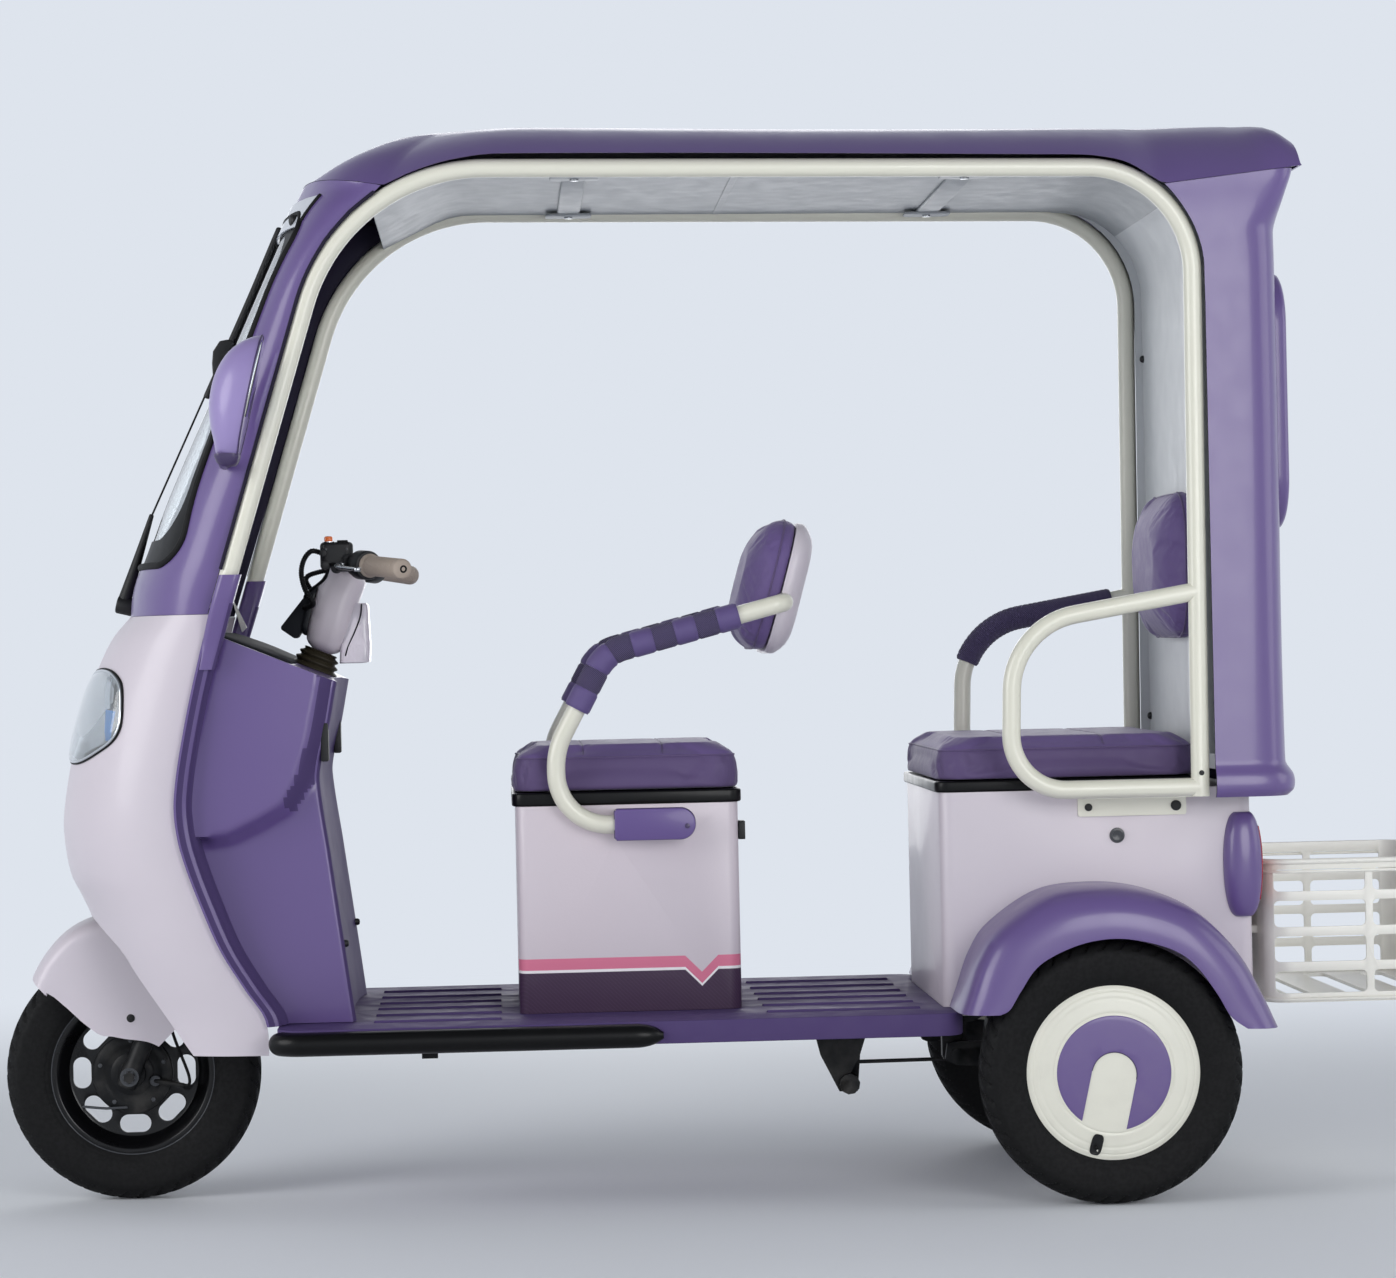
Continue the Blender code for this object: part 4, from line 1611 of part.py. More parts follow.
def rear_axle_housing():
    """Swing arms, axle tube with its motor and differential, wheel shafts and pivot pins."""
    shaft_end = REAR_TRACK_HALF - 0.0205
    tube_end = shaft_end - 0.030
    profile = [(0, -shaft_end), (REAR_SHAFT_RADIUS, -shaft_end), (REAR_SHAFT_RADIUS, -tube_end), (AXLE_TUBE_RADIUS, -tube_end),
               (AXLE_TUBE_RADIUS, -0.085), (0.058, -0.050), (0.062, 0.0), (0.058, 0.050), (AXLE_TUBE_RADIUS, 0.085),
               (AXLE_TUBE_RADIUS, tube_end), (REAR_SHAFT_RADIUS, tube_end), (REAR_SHAFT_RADIUS, shaft_end), (0, shaft_end)]
    housing = lathe("rear_axle_housing", profile, REAR_AXLE, "black_steel", steps=10)
    motor = disc("motor", REAR_AXLE + Vector((-0.085, 0.030, 0.004)), 0.048, 0.062, None, (1, 0, 0), 12)
    pieces = [motor]
    for name, side in SIDES:
        y = side * ARM_Y
        outline = [(PIVOT_X - 0.014, PIVOT_Z + 0.016), (PIVOT_X - 0.018, PIVOT_Z - 0.010), (PIVOT_X, PIVOT_Z - 0.020),
                   (REAR_AXLE_X, AXLE_Z - 0.016), (SHOCK_X + 0.022, AXLE_Z + 0.004), (SHOCK_X + 0.022, AXLE_Z + 0.018),
                   (REAR_AXLE_X, AXLE_Z + 0.018), (PIVOT_X + 0.010, PIVOT_Z + 0.020)]
        inner, outer = sorted((side * (ARM_Y - ARM_THICK / 2), side * (ARM_Y + ARM_THICK / 2)))
        arm = side_prism("arm", outline, inner, outer, None)
        seat = disc("seat", (SHOCK_X, side * SHOCK_Y, AXLE_Z + 0.012), 0.024, 0.006, None, (0, 0, 1), 10)
        pin = disc("pin", (PIVOT_X, side * (RAIL_Y + ARM_Y) / 2, PIVOT_Z), PIVOT_PIN_RADIUS, abs(ARM_Y - RAIL_Y) / 2 + 0.012, None, steps=12)
        pieces += [arm, seat, pin]
    return combine(housing, pieces)


def rear_shock(side_name, side):
    """Coil spring between an arm's seat and the rail above it."""
    low = AXLE_Z + 0.018 + GAP
    high = BOX_FLOOR - WALL - GAP
    coils = 3
    profile = [(0, low), (0.015, low)]
    for index in range(coils):
        foot = low + (high - low) * index / coils
        profile += [(0.021, foot + (high - low) * 0.4 / coils), (0.015, foot + (high - low) * 0.8 / coils)]
    profile += [(0.015, high), (0, high)]
    return lathe("rear_shock_" + side_name, profile, (SHOCK_X, side * SHOCK_Y, 0), "steel", (0, 0, 1), 10)


def rear_wheel(side_name, side):
    """Rim with a domed cap on its outer side and a hub that meets the shaft's end."""
    half = 0.0285
    inner = RIM_RADIUS - 0.009 - RIM_WELL - 0.004
    cap = half + 0.0015
    profile = [(0, cap + REAR_CAP_DOME), (REAR_CAP_RADIUS * 0.55, cap + REAR_CAP_DOME * 0.85),
               (REAR_CAP_RADIUS * 0.93, cap + REAR_CAP_DOME * 0.45), (REAR_CAP_RADIUS, cap)]
    profile += [(radius, along) for radius, along in reversed(rim_outside(half))]
    profile += [(RIM_RADIUS - 0.012, -half), (inner - 0.006, cap - 0.006), (0.032, cap - 0.006), (0.030, -0.020), (0, -0.020)]
    centre = REAR_AXLE + Vector((0, side * REAR_TRACK_HALF, 0))
    return [tyre("rear_tyre_" + side_name, centre),
            lathe("rear_wheel_" + side_name, profile, centre, "cream", (0, side, 0))]


def headlamp(side_name, side):
    """Lens of a headlamp, seated in the nose."""
    return lamp_shape("headlamp_" + side_name, side, -0.012, 0.009, 0.0, "clear")


def build():
    """Make every piece and hang the moving ones on their joints."""
    clear_scene()
    chassis_frame()
    floorboard()
    front_nose()
    leg_shield()
    windscreen_surround()
    windscreen_glass()
    roof_shell()
    roof_liner()
    rear_panel()
    rear_window()
    rear_backrest_pad()
    rear_box()
    rear_basket()
    driver_seat_box()
    driver_arm_frame()
    driver_backrest()
    battery_pack()
    steering_boot()
    for side_name, side in SIDES:
        side_bumper(side_name, side)
        headlamp(side_name, side)
        canopy_hoop(side_name, side)
        rear_fender(side_name, side)
        tail_lamp(side_name, side)
        driver_armrest_sleeve(side_name, side)

    steering = carried("steering", steer_axis(STEER_POINT.z),
                       [fork_crown(), handlebar(), stem_cover(), control_cables(), grip("grip_left", -1)])
    carried("throttle", BAR_END, [grip("throttle_grip", 1)], steering)
    carried("horn", BUTTON_TOP, [horn_button()], steering)
    fork = carried("fork", FRONT_AXLE, [fork_slider(*which) for which in SIDES] + [front_fender(), front_axle()], steering)
    carried("front_wheel", FRONT_AXLE, front_wheel(), fork)
    rear = carried("rear_suspension", (PIVOT_X, 0, PIVOT_Z), [rear_axle_housing()])
    for side_name, side in SIDES:
        carried("rear_wheel_carrier_" + side_name, REAR_AXLE + Vector((0, side * REAR_TRACK_HALF, 0)), rear_wheel(side_name, side), rear)
        carried("lever_" + side_name, lever_pivot(side), [brake_lever(side_name, side)], steering)
        carried("mirror_carrier_" + side_name, mirror_foot(side), [mirror(side_name, side)])
        rear_shock(side_name, side)
    carried("wiper", WIPER_PIVOT, [wiper_arm()])
    carried("driver_lid", (SEAT_BOX_FRONT_X - SEAT_OVERHANG, 0, SEAT_BOX_TOP), driver_seat())
    carried("rear_lid", (BOX_FRONT_X - SEAT_OVERHANG, 0, BOX_TOP), rear_seat())


build()
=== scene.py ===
"""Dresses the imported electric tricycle: fine surfaces, soft seats, materials, floor, light and camera."""
import math

import bmesh
import bpy
from mathutils import Matrix, Vector


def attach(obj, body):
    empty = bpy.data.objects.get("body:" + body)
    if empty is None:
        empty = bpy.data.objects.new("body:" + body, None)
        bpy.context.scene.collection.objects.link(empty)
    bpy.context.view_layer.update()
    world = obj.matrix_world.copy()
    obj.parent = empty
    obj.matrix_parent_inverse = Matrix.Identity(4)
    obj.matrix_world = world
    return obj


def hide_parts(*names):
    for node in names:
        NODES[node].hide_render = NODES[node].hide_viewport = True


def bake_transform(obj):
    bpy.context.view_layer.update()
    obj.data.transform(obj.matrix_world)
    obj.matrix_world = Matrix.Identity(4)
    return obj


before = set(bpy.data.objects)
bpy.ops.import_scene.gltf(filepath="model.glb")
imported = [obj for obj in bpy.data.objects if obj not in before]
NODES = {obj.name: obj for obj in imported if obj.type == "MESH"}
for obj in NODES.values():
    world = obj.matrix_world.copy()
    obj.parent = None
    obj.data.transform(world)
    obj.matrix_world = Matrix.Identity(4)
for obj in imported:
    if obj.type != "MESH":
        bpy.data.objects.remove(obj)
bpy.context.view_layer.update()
BODY = "tricycle_body"
MATERIAL = {}

# Sizes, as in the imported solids
GAP = 0.0003
LENGTH, WHEELBASE = 2.412, 1.580
TYRE_RADIUS = 0.211
RIM_RADIUS, RIM_WELL, RIM_HALF_WIDTH = 0.1375, 0.012, 0.0285
RIM_SEAT = RIM_RADIUS - 0.009
RIM_INNER = RIM_SEAT - RIM_WELL - 0.004
FRONT_AXLE = Vector((-LENGTH / 2 + TYRE_RADIUS, 0.0, TYRE_RADIUS))
REAR_AXLE = FRONT_AXLE + Vector((WHEELBASE, 0.0, 0.0))
REAR_TRACK_HALF = 0.385
RAKE = math.radians(22.5)
RAKE_UP = Vector((math.sin(RAKE), 0.0, math.cos(RAKE)))
RAKE_AHEAD = Vector((math.cos(RAKE), 0.0, -math.sin(RAKE)))
STEER_POINT = Vector((-0.678, 0.0, 0.885))
STEER_OFFSET = (STEER_POINT - FRONT_AXLE).dot(RAKE_AHEAD)
FORK_LEG_Y, SLIDER_RADIUS = 0.075, 0.0165
DECK_ALONG = 0.734
FLOOR_TOP, FLOOR_HALF_WIDTH, FLOOR_FRONT_X, FLOOR_CORNER = 0.3075, 0.374, -0.737, 0.045
BUMPER_REAR_X, BUMPER_THICK, BUMPER_HEIGHT, BUMPER_Z = -0.125, 0.022, 0.038, 0.2855
BOX_FRONT_X, BOX_REAR_X, BOX_HALF_WIDTH, BOX_BOTTOM, BOX_TOP = 0.335, 0.845, 0.260, 0.292, 0.654
SEAT_FRONT_X, SEAT_REAR_X, SEAT_HALF_WIDTH, SEAT_TOP = -0.351, 0.012, 0.200, 0.645
ARM_TUBE_RADIUS, ARM_TUBE_Y, SLEEVE_RADIUS = 0.015, 0.224, 0.0215
HOOP_Y, HOOP_RADIUS = 0.335, 0.0148
HOOP_TOP_FRONT_Z, HOOP_TOP_REAR_Z = 1.672, 1.653
HOOP_FRONT_X, HOOP_REAR_X, HOOP_POST_LEAN = -0.6026, 0.754, 0.3045
HOOP_FRONT_BEND, HOOP_REAR_BEND = 0.300, 0.170
HOOP_FOOT_Z, REAR_POST_FOOT_Z = 0.945, 0.657
SHELL = 0.004
NOSE_HALF_WIDTH, FLANGE_HALF_WIDTH, FLANGE_DEPTH = 0.315, 0.326, 0.021
NOSE_BOTTOM, NOSE_TOP = 0.252, 0.968
LINER_WALL_X = 0.780
BAR_RADIUS = 0.011
BAR_CENTRE, BAR_BEND_Y = Vector((-0.612, 0.0, 1.048)), 0.125
BAR_END = Vector((-0.5245, 0.290, 1.0345))
GRIP_RADIUS, GRIP_LENGTH = 0.0165, 0.118
SIDES = (("left", -1), ("right", 1))
ROUND_EDGES = 38.0
AXIS_ORDER = {"X": (1, 2, 0), "Y": (2, 0, 1), "Z": (0, 1, 2)}


# Mesh tools
def between(start, end, count):
    """Evenly spaced values from start to end."""
    return [start + (end - start) * step / (count - 1) for step in range(count)]


def power(value, exponent):
    """A power that keeps its sign."""
    return math.copysign(abs(value) ** exponent, value)


def smoothstep(value):
    """0 below 0, 1 above 1, smooth between."""
    value = min(max(value, 0.0), 1.0)
    return value * value * (3 - 2 * value)


def smooth_value(knots, at):
    """Value at a place on the smooth curve through (place, value) knots."""
    places = [knot[0] for knot in knots]
    values = [knot[1] for knot in knots]
    if at <= places[0]:
        return values[0]
    if at >= places[-1]:
        return values[-1]
    index = max(i for i in range(len(places) - 1) if places[i] <= at)

    def slope(i):
        low, high = max(i - 1, 0), min(i + 1, len(places) - 1)
        return (values[high] - values[low]) / (places[high] - places[low])

    span = places[index + 1] - places[index]
    t = (at - places[index]) / span
    rise_start, rise_end = slope(index) * span, slope(index + 1) * span
    return ((2 * t ** 3 - 3 * t ** 2 + 1) * values[index] + (t ** 3 - 2 * t ** 2 + t) * rise_start
            + (3 * t ** 2 - 2 * t ** 3) * values[index + 1] + (t ** 3 - t ** 2) * rise_end)


def spline(points, per_span):
    """A smooth line through points."""
    points = [Vector(point) for point in points]
    line = []
    for index in range(len(points) - 1):
        p0, p1 = points[max(index - 1, 0)], points[index]
        p2, p3 = points[index + 1], points[min(index + 2, len(points) - 1)]
        for step in range(per_span):
            t = step / per_span
            line.append(0.5 * (2 * p1 + (p2 - p0) * t + (2 * p0 - 5 * p1 + 4 * p2 - p3) * t ** 2
                               + (3 * p1 - p0 - 3 * p2 + p3) * t ** 3))
    return line + [points[-1]]


def bent_path(corners, radii, steps=14):
    """A path of straight runs joined by arcs, as a tube bender makes it."""
    corners = [Vector(corner) for corner in corners]
    if not isinstance(radii, (list, tuple)):
        radii = [radii] * (len(corners) - 2)
    path = [corners[0]]
    for before, corner, after, radius in zip(corners, corners[1:], corners[2:], radii):
        back = (before - corner).normalized()
        ahead = (after - corner).normalized()
        half = back.angle(ahead) / 2
        centre = corner + (back + ahead).normalized() * (radius / math.sin(half))
        start = corner + back * (radius / math.tan(half)) - centre
        axis = back.cross(ahead).normalized()
        turn = -(math.pi - 2 * half)
        for step in range(steps + 1):
            path.append(centre + Matrix.Rotation(turn * step / steps, 3, axis) @ start)
    path.append(corners[-1])
    return path


def resample(path, count):
    """Evenly spaced points along a path."""
    path = [Vector(point) for point in path]
    lengths = [0.0]
    for a, b in zip(path, path[1:]):
        lengths.append(lengths[-1] + (b - a).length)
    result, index = [], 0
    for want in between(0.0, lengths[-1], count):
        while index < len(path) - 2 and lengths[index + 1] < want:
            index += 1
        span = max(lengths[index + 1] - lengths[index], 1e-9)
        result.append(path[index].lerp(path[index + 1], min(max((want - lengths[index]) / span, 0.0), 1.0)))
    return result


def add_object(name, points, faces, round_edges=ROUND_EDGES):
    """An outward facing object, shaded smooth up to an angle."""
    mesh = bpy.data.meshes.new(name)
    mesh.from_pydata([tuple(point) for point in points], [], faces)
    work = bmesh.new()
    work.from_mesh(mesh)
    bmesh.ops.remove_doubles(work, verts=work.verts, dist=1e-6)
    bmesh.ops.recalc_face_normals(work, faces=work.faces)
    work.to_mesh(mesh)
    work.free()
    made = bpy.data.objects.new(name, mesh)
    bpy.context.scene.collection.objects.link(made)
    return smooth(made, round_edges)


def smooth(obj, round_edges=ROUND_EDGES):
    """Shade smooth up to an angle."""
    obj.data.shade_smooth()
    obj.data.set_sharp_from_angle(angle=math.radians(round_edges))
    return obj


def bake(obj, round_edges=ROUND_EDGES):
    """Apply an object's modifiers."""
    bpy.context.view_layer.update()
    baked = bpy.data.meshes.new_from_object(obj.evaluated_get(bpy.context.evaluated_depsgraph_get()))
    obj.modifiers.clear()
    obj.data = baked
    for face in baked.polygons:
        face.material_index = 0
    return smooth(obj, round_edges)


def combine(target, others, operation="UNION"):
    """Apply Boolean operations with other objects, which are then removed."""
    for other in others:
        step = target.modifiers.new("combine", "BOOLEAN")
        step.operation, step.object = operation, other
    bake(target)
    for other in others:
        bpy.data.objects.remove(other, do_unlink=True)
    return target


def cut(target, cutters):
    """Take the cutters out of the target."""
    return combine(target, cutters, "DIFFERENCE")


def soften(obj, width=0.0012, segments=2):
    """Round an object's sharp edges."""
    work = bmesh.new()
    work.from_mesh(obj.data)
    bmesh.ops.remove_doubles(work, verts=work.verts, dist=1e-5)
    bmesh.ops.dissolve_limit(work, angle_limit=math.radians(0.5), verts=work.verts, edges=work.edges)
    work.to_mesh(obj.data)
    work.free()
    bevel = obj.modifiers.new("soften", "BEVEL")
    bevel.width, bevel.segments = width, segments
    bevel.limit_method, bevel.angle_limit = "ANGLE", math.radians(30.0)
    bevel.miter_outer = "MITER_ARC"
    return bake(obj)


def tube_rings(path, radius, sides, flat=1.0):
    """Rings of points round a path, turned as little as possible along it."""
    path = [Vector(point) for point in path]
    rings, normal = [], None
    for index, point in enumerate(path):
        ahead = path[min(index + 1, len(path) - 1)] - point
        behind = point - path[max(index - 1, 0)]
        along = (ahead.normalized() + behind.normalized()).normalized()
        if normal is None:
            normal = along.orthogonal().normalized()
        normal = (normal - along * normal.dot(along)).normalized()
        side = along.cross(normal)
        width = radius(index / (len(path) - 1)) if callable(radius) else radius
        rings.append([point + (normal * math.cos(turn) * flat + side * math.sin(turn)) * width
                      for turn in (2 * math.pi * step / sides for step in range(sides))])
    return rings


def loft(name, rings, closed_path=False, caps=True, round_edges=ROUND_EDGES):
    """A solid skinned over rings of equal point count."""
    count = len(rings[0])
    points = [point for ring in rings for point in ring]
    faces = []
    for row in range(len(rings) - (0 if closed_path else 1)):
        following = (row + 1) % len(rings)
        for step in range(count):
            turn = (step + 1) % count
            faces.append((row * count + step, row * count + turn, following * count + turn,
                          following * count + step))
    if caps and not closed_path:
        faces.append(tuple(reversed(range(count))))
        faces.append(tuple((len(rings) - 1) * count + step for step in range(count)))
    return add_object(name, points, faces, round_edges)


def tube(name, path, radius, sides=24, flat=1.0, rounded=False):
    """A round bar along a path; its ends may be domed."""
    rings = tube_rings(path, radius, sides, flat)
    if rounded:
        for end, inward in ((0, 1), (-1, -2)):
            centre = sum(rings[end], Vector()) / sides
            out = (centre - sum(rings[inward], Vector()) / sides).normalized()
            reach = (rings[end][0] - centre).length
            base = rings[end]
            for share in (0.35, 0.65, 0.87, 0.98):
                ring = [centre + (point - centre) * math.sqrt(1 - share ** 2) + out * reach * share * 0.6
                        for point in base]
                if end == 0:
                    rings.insert(0, ring)
                else:
                    rings.append(ring)
    return loft(name, rings)


def sheet(name, outer, inner, folded=False, round_edges=ROUND_EDGES):
    """A thick sheet between two grids of points; a folded one's last row doubles back on itself."""
    rows, columns = len(outer), len(outer[0])
    points = [point for row in outer for point in row] + [point for row in inner for point in row]
    shift = rows * columns

    def at(row, column):
        return row * columns + column

    faces = []
    for row in range(rows - 1):
        for column in range(columns - 1):
            face = (at(row, column), at(row, column + 1), at(row + 1, column + 1), at(row + 1, column))
            faces.append(face)
            faces.append(tuple(shift + corner for corner in reversed(face)))
    edge = [at(0, column) for column in range(columns)]
    edge += [at(row, columns - 1) for row in range(1, rows)]
    edge += [at(rows - 1, column) for column in range(columns - 2, -1, -1)]
    edge += [at(row, 0) for row in range(rows - 2, 0, -1)]
    last = at(rows - 1, 0)
    for start, end in zip(edge, edge[1:] + edge[:1]):
        if not (folded and start >= last and end >= last):
            faces.append((end, start, shift + start, shift + end))
    return add_object(name, points, faces, round_edges)


def lathe(name, profile, centre, axis=(0, 1, 0), steps=96, round_edges=ROUND_EDGES, shape=None):
    """A turned solid from (radius, distance along the axis) pairs; shape may change a radius by angle."""
    centre, axis = Vector(centre), Vector(axis).normalized()
    side = Vector((1, 0, 0)) if abs(axis.x) < 0.9 else Vector((0, 1, 0))
    side = (side - axis * side.dot(axis)).normalized()
    up = axis.cross(side)
    rings = []
    for radius, along in profile:
        ring = []
        for step in range(steps):
            turn = 2 * math.pi * step / steps
            reach = shape(radius, along, turn) if shape else radius
            ring.append(centre + axis * along + (side * math.cos(turn) + up * math.sin(turn)) * reach)
        rings.append(ring)
    closed = min(profile[0][0], profile[-1][0]) > 0
    return loft(name, rings, closed_path=closed, caps=False, round_edges=round_edges)


def disc(name, centre, radius, half, axis=(0, 1, 0), steps=40, edge=0.0):
    """A short cylinder about a centre, its edges rounded where edge is given."""
    profile = [(0, -half), (radius - edge, -half)]
    if edge:
        profile += [(radius - edge * 0.3, -half + edge * 0.3), (radius, -half + edge), (radius, half - edge),
                    (radius - edge * 0.3, half - edge * 0.3), (radius - edge, half)]
    else:
        profile += [(radius, half)]
    return lathe(name, profile + [(0, half)], centre, axis, steps)


def rounded_outline(low, high, radius, steps=8):
    """Corner-rounded rectangle as (a, b) pairs, anticlockwise."""
    outline = []
    for centre_a, centre_b, first in ((high[0] - radius, high[1] - radius, 0),
                                      (low[0] + radius, high[1] - radius, 1),
                                      (low[0] + radius, low[1] + radius, 2),
                                      (high[0] - radius, low[1] + radius, 3)):
        for step in range(steps + 1):
            turn = math.pi / 2 * (first + step / steps)
            outline.append((centre_a + radius * math.cos(turn), centre_b + radius * math.sin(turn)))
    return outline


def block(name, low, high, radius=0.0, axis="Z", steps=8):
    """A box, or a box with the four edges along one axis rounded."""
    order = AXIS_ORDER[axis]
    start, end = (low[order[0]], low[order[1]]), (high[order[0]], high[order[1]])
    if radius > 0:
        outline = rounded_outline(start, end, radius, steps)
    else:
        outline = [(start[0], start[1]), (end[0], start[1]), (end[0], end[1]), (start[0], end[1])]
    return prism(name, outline, low[order[2]], high[order[2]], axis)


def prism(name, outline, start, end, axis="Y"):
    """A flat outline of (a, b) pairs drawn out along an axis."""
    order = AXIS_ORDER[axis]

    def place(a, b, along):
        point = [0.0, 0.0, 0.0]
        point[order[0]], point[order[1]], point[order[2]] = a, b, along
        return Vector(point)

    return loft(name, [[place(a, b, along) for a, b in outline] for along in (start, end)])


def side_prism(name, outline, start, end):
    """A side-view outline of (x, z) pairs drawn out along Y."""
    return prism(name, [(z, x) for x, z in outline], start, end, "Y")


def fork_frame(ahead, across, along):
    """A point in the fork's frame: behind the axle, across, and up the rake."""
    return FRONT_AXLE + RAKE_AHEAD * ahead + Vector((0, across, 0)) + RAKE_UP * along


def mirrored(point, side):
    """The point on the wanted side of the middle plane, from its right-hand place."""
    return Vector((point[0], point[1] * side, point[2]))


# Materials
def linear(red, green, blue):
    """Linear colour from an 8-bit one."""
    def part(value):
        value /= 255
        return value / 12.92 if value <= 0.04045 else ((value + 0.055) / 1.055) ** 2.4
    return (part(red), part(green), part(blue), 1.0)


def add_node(tree, kind, settings=None, *values, **named):
    """A shader node with its settings; each input is linked to a socket or given a value."""
    made = tree.nodes.new("ShaderNode" + kind)
    for key, value in (settings or {}).items():
        setattr(made, key, value)
    for key, value in list(enumerate(values)) + list(named.items()):
        if isinstance(value, bpy.types.NodeSocket):
            tree.links.new(value, made.inputs[key])
        elif value is not None:
            made.inputs[key].default_value = value
    return made


SMOOTH_RANGE = {"interpolation_type": "SMOOTHSTEP"}
MIX_FIRST = 6


class Paint:
    """A Principled material with a small graph of object-space textures."""

    def __init__(self, name, colour, rough, metal=0.0, coat=0.0, sheen=0.0, spec=0.5, transmission=0.0,
                 ior=1.5):
        MATERIAL[name] = material = bpy.data.materials.new(name)
        material.use_nodes = True
        self.tree = material.node_tree
        self.shader = self.tree.nodes["Principled BSDF"]
        self.colour = linear(*colour)
        self.set(Base_Color=self.colour, Roughness=rough, Metallic=metal, Coat_Weight=coat,
                 Coat_Roughness=0.12, Sheen_Weight=sheen, Specular_IOR_Level=spec,
                 Transmission_Weight=transmission, IOR=ior)
        self.place = self.node("TexCoord").outputs["Object"]
        self.height = None

    def set(self, **values):
        for key, value in values.items():
            socket = self.shader.inputs[key.replace("_", " ")]
            if isinstance(value, bpy.types.NodeSocket):
                self.tree.links.new(value, socket)
            else:
                socket.default_value = value

    def node(self, kind, settings=None, *values, **named):
        return add_node(self.tree, kind, settings, *values, **named)

    def noise(self, scale, detail=3.0):
        return self.node("TexNoise", None, Vector=self.place, Scale=scale, Detail=detail).outputs["Fac"]

    def cells(self, scale):
        made = self.node("TexVoronoi", {"feature": "DISTANCE_TO_EDGE"}, Vector=self.place, Scale=scale)
        return made.outputs["Distance"]

    def maths(self, operation, *values):
        return self.node("Math", {"operation": operation}, *values).outputs[0]

    def span(self, value, low, high, start=0.0, end=1.0):
        return self.node("MapRange", SMOOTH_RANGE, value, low, high, start, end).outputs[0]

    def mix(self, share, a, b, blend="MIX"):
        unused = [None] * (MIX_FIRST - 1)
        return self.node("Mix", {"data_type": "RGBA", "blend_type": blend}, share, *unused, a, b).outputs[2]

    def axes(self):
        return tuple(self.node("SeparateXYZ", None, self.place).outputs)

    def bump(self, height, distance):
        """Add relief; the distance is in metres for a height from 0 to 1."""
        made = self.node("Bump", None, Strength=1.0, Distance=distance, Height=height, Normal=self.height)
        self.height = made.outputs["Normal"]
        self.set(Normal=self.height)
        if self.shader.inputs["Coat Weight"].default_value > 0:
            self.set(Coat_Normal=self.height)

    def shade(self, colour=None, variation=0.06, scale=2.2, rough_spread=0.06, dust=0.0, wear=0.0, tint=None):
        """Uneven colour and gloss, dust low down and paler edges."""
        drift = self.noise(scale, 4.0)
        if colour is None:
            lighter = tuple(min(part * (1 + variation), 1.0) for part in self.colour[:3]) + (1.0,)
            darker = tuple(part * (1 - variation) for part in self.colour[:3]) + (1.0,)
            result = self.mix(drift, darker, lighter)
        else:
            shift = self.mix(drift, (1 - variation,) * 3 + (1,), (1 + variation,) * 3 + (1,))
            result = self.mix(1.0, colour, shift, "MULTIPLY")
        if tint:
            share = self.span(self.noise(scale * 0.6, 2.0), 0.4, 0.75, 0.0, 0.5)
            result = self.mix(share, result, linear(*tint))
        if wear:
            edge = self.span(self.node("NewGeometry").outputs["Pointiness"], 0.52, 0.62, 0.0, wear)
            result = self.mix(edge, result, WORN)
        if dust:
            low = self.span(self.axes()[2], DUST_FULL, DUST_NONE, 1.0, 0.0)
            speck = self.span(self.noise(26.0, 6.0), 0.42, 0.72)
            share = self.maths("MULTIPLY", self.maths("MULTIPLY", low, speck), dust)
            result = self.mix(share, result, DUST)
        middle, half = self.shader.inputs["Roughness"].default_value, rough_spread / 2
        rough = self.span(self.noise(scale * 9, 5.0), 0.3, 0.7, middle - half, middle + half)
        self.set(Base_Color=result, Roughness=rough)


DUST, WORN = linear(176, 170, 162), (0.8, 0.78, 0.82, 1.0)
DUST_FULL, DUST_NONE = 0.10, 0.42
PALE, PALE_ROUGH, PALE_COAT = (209, 201, 209), 0.42, 0.15
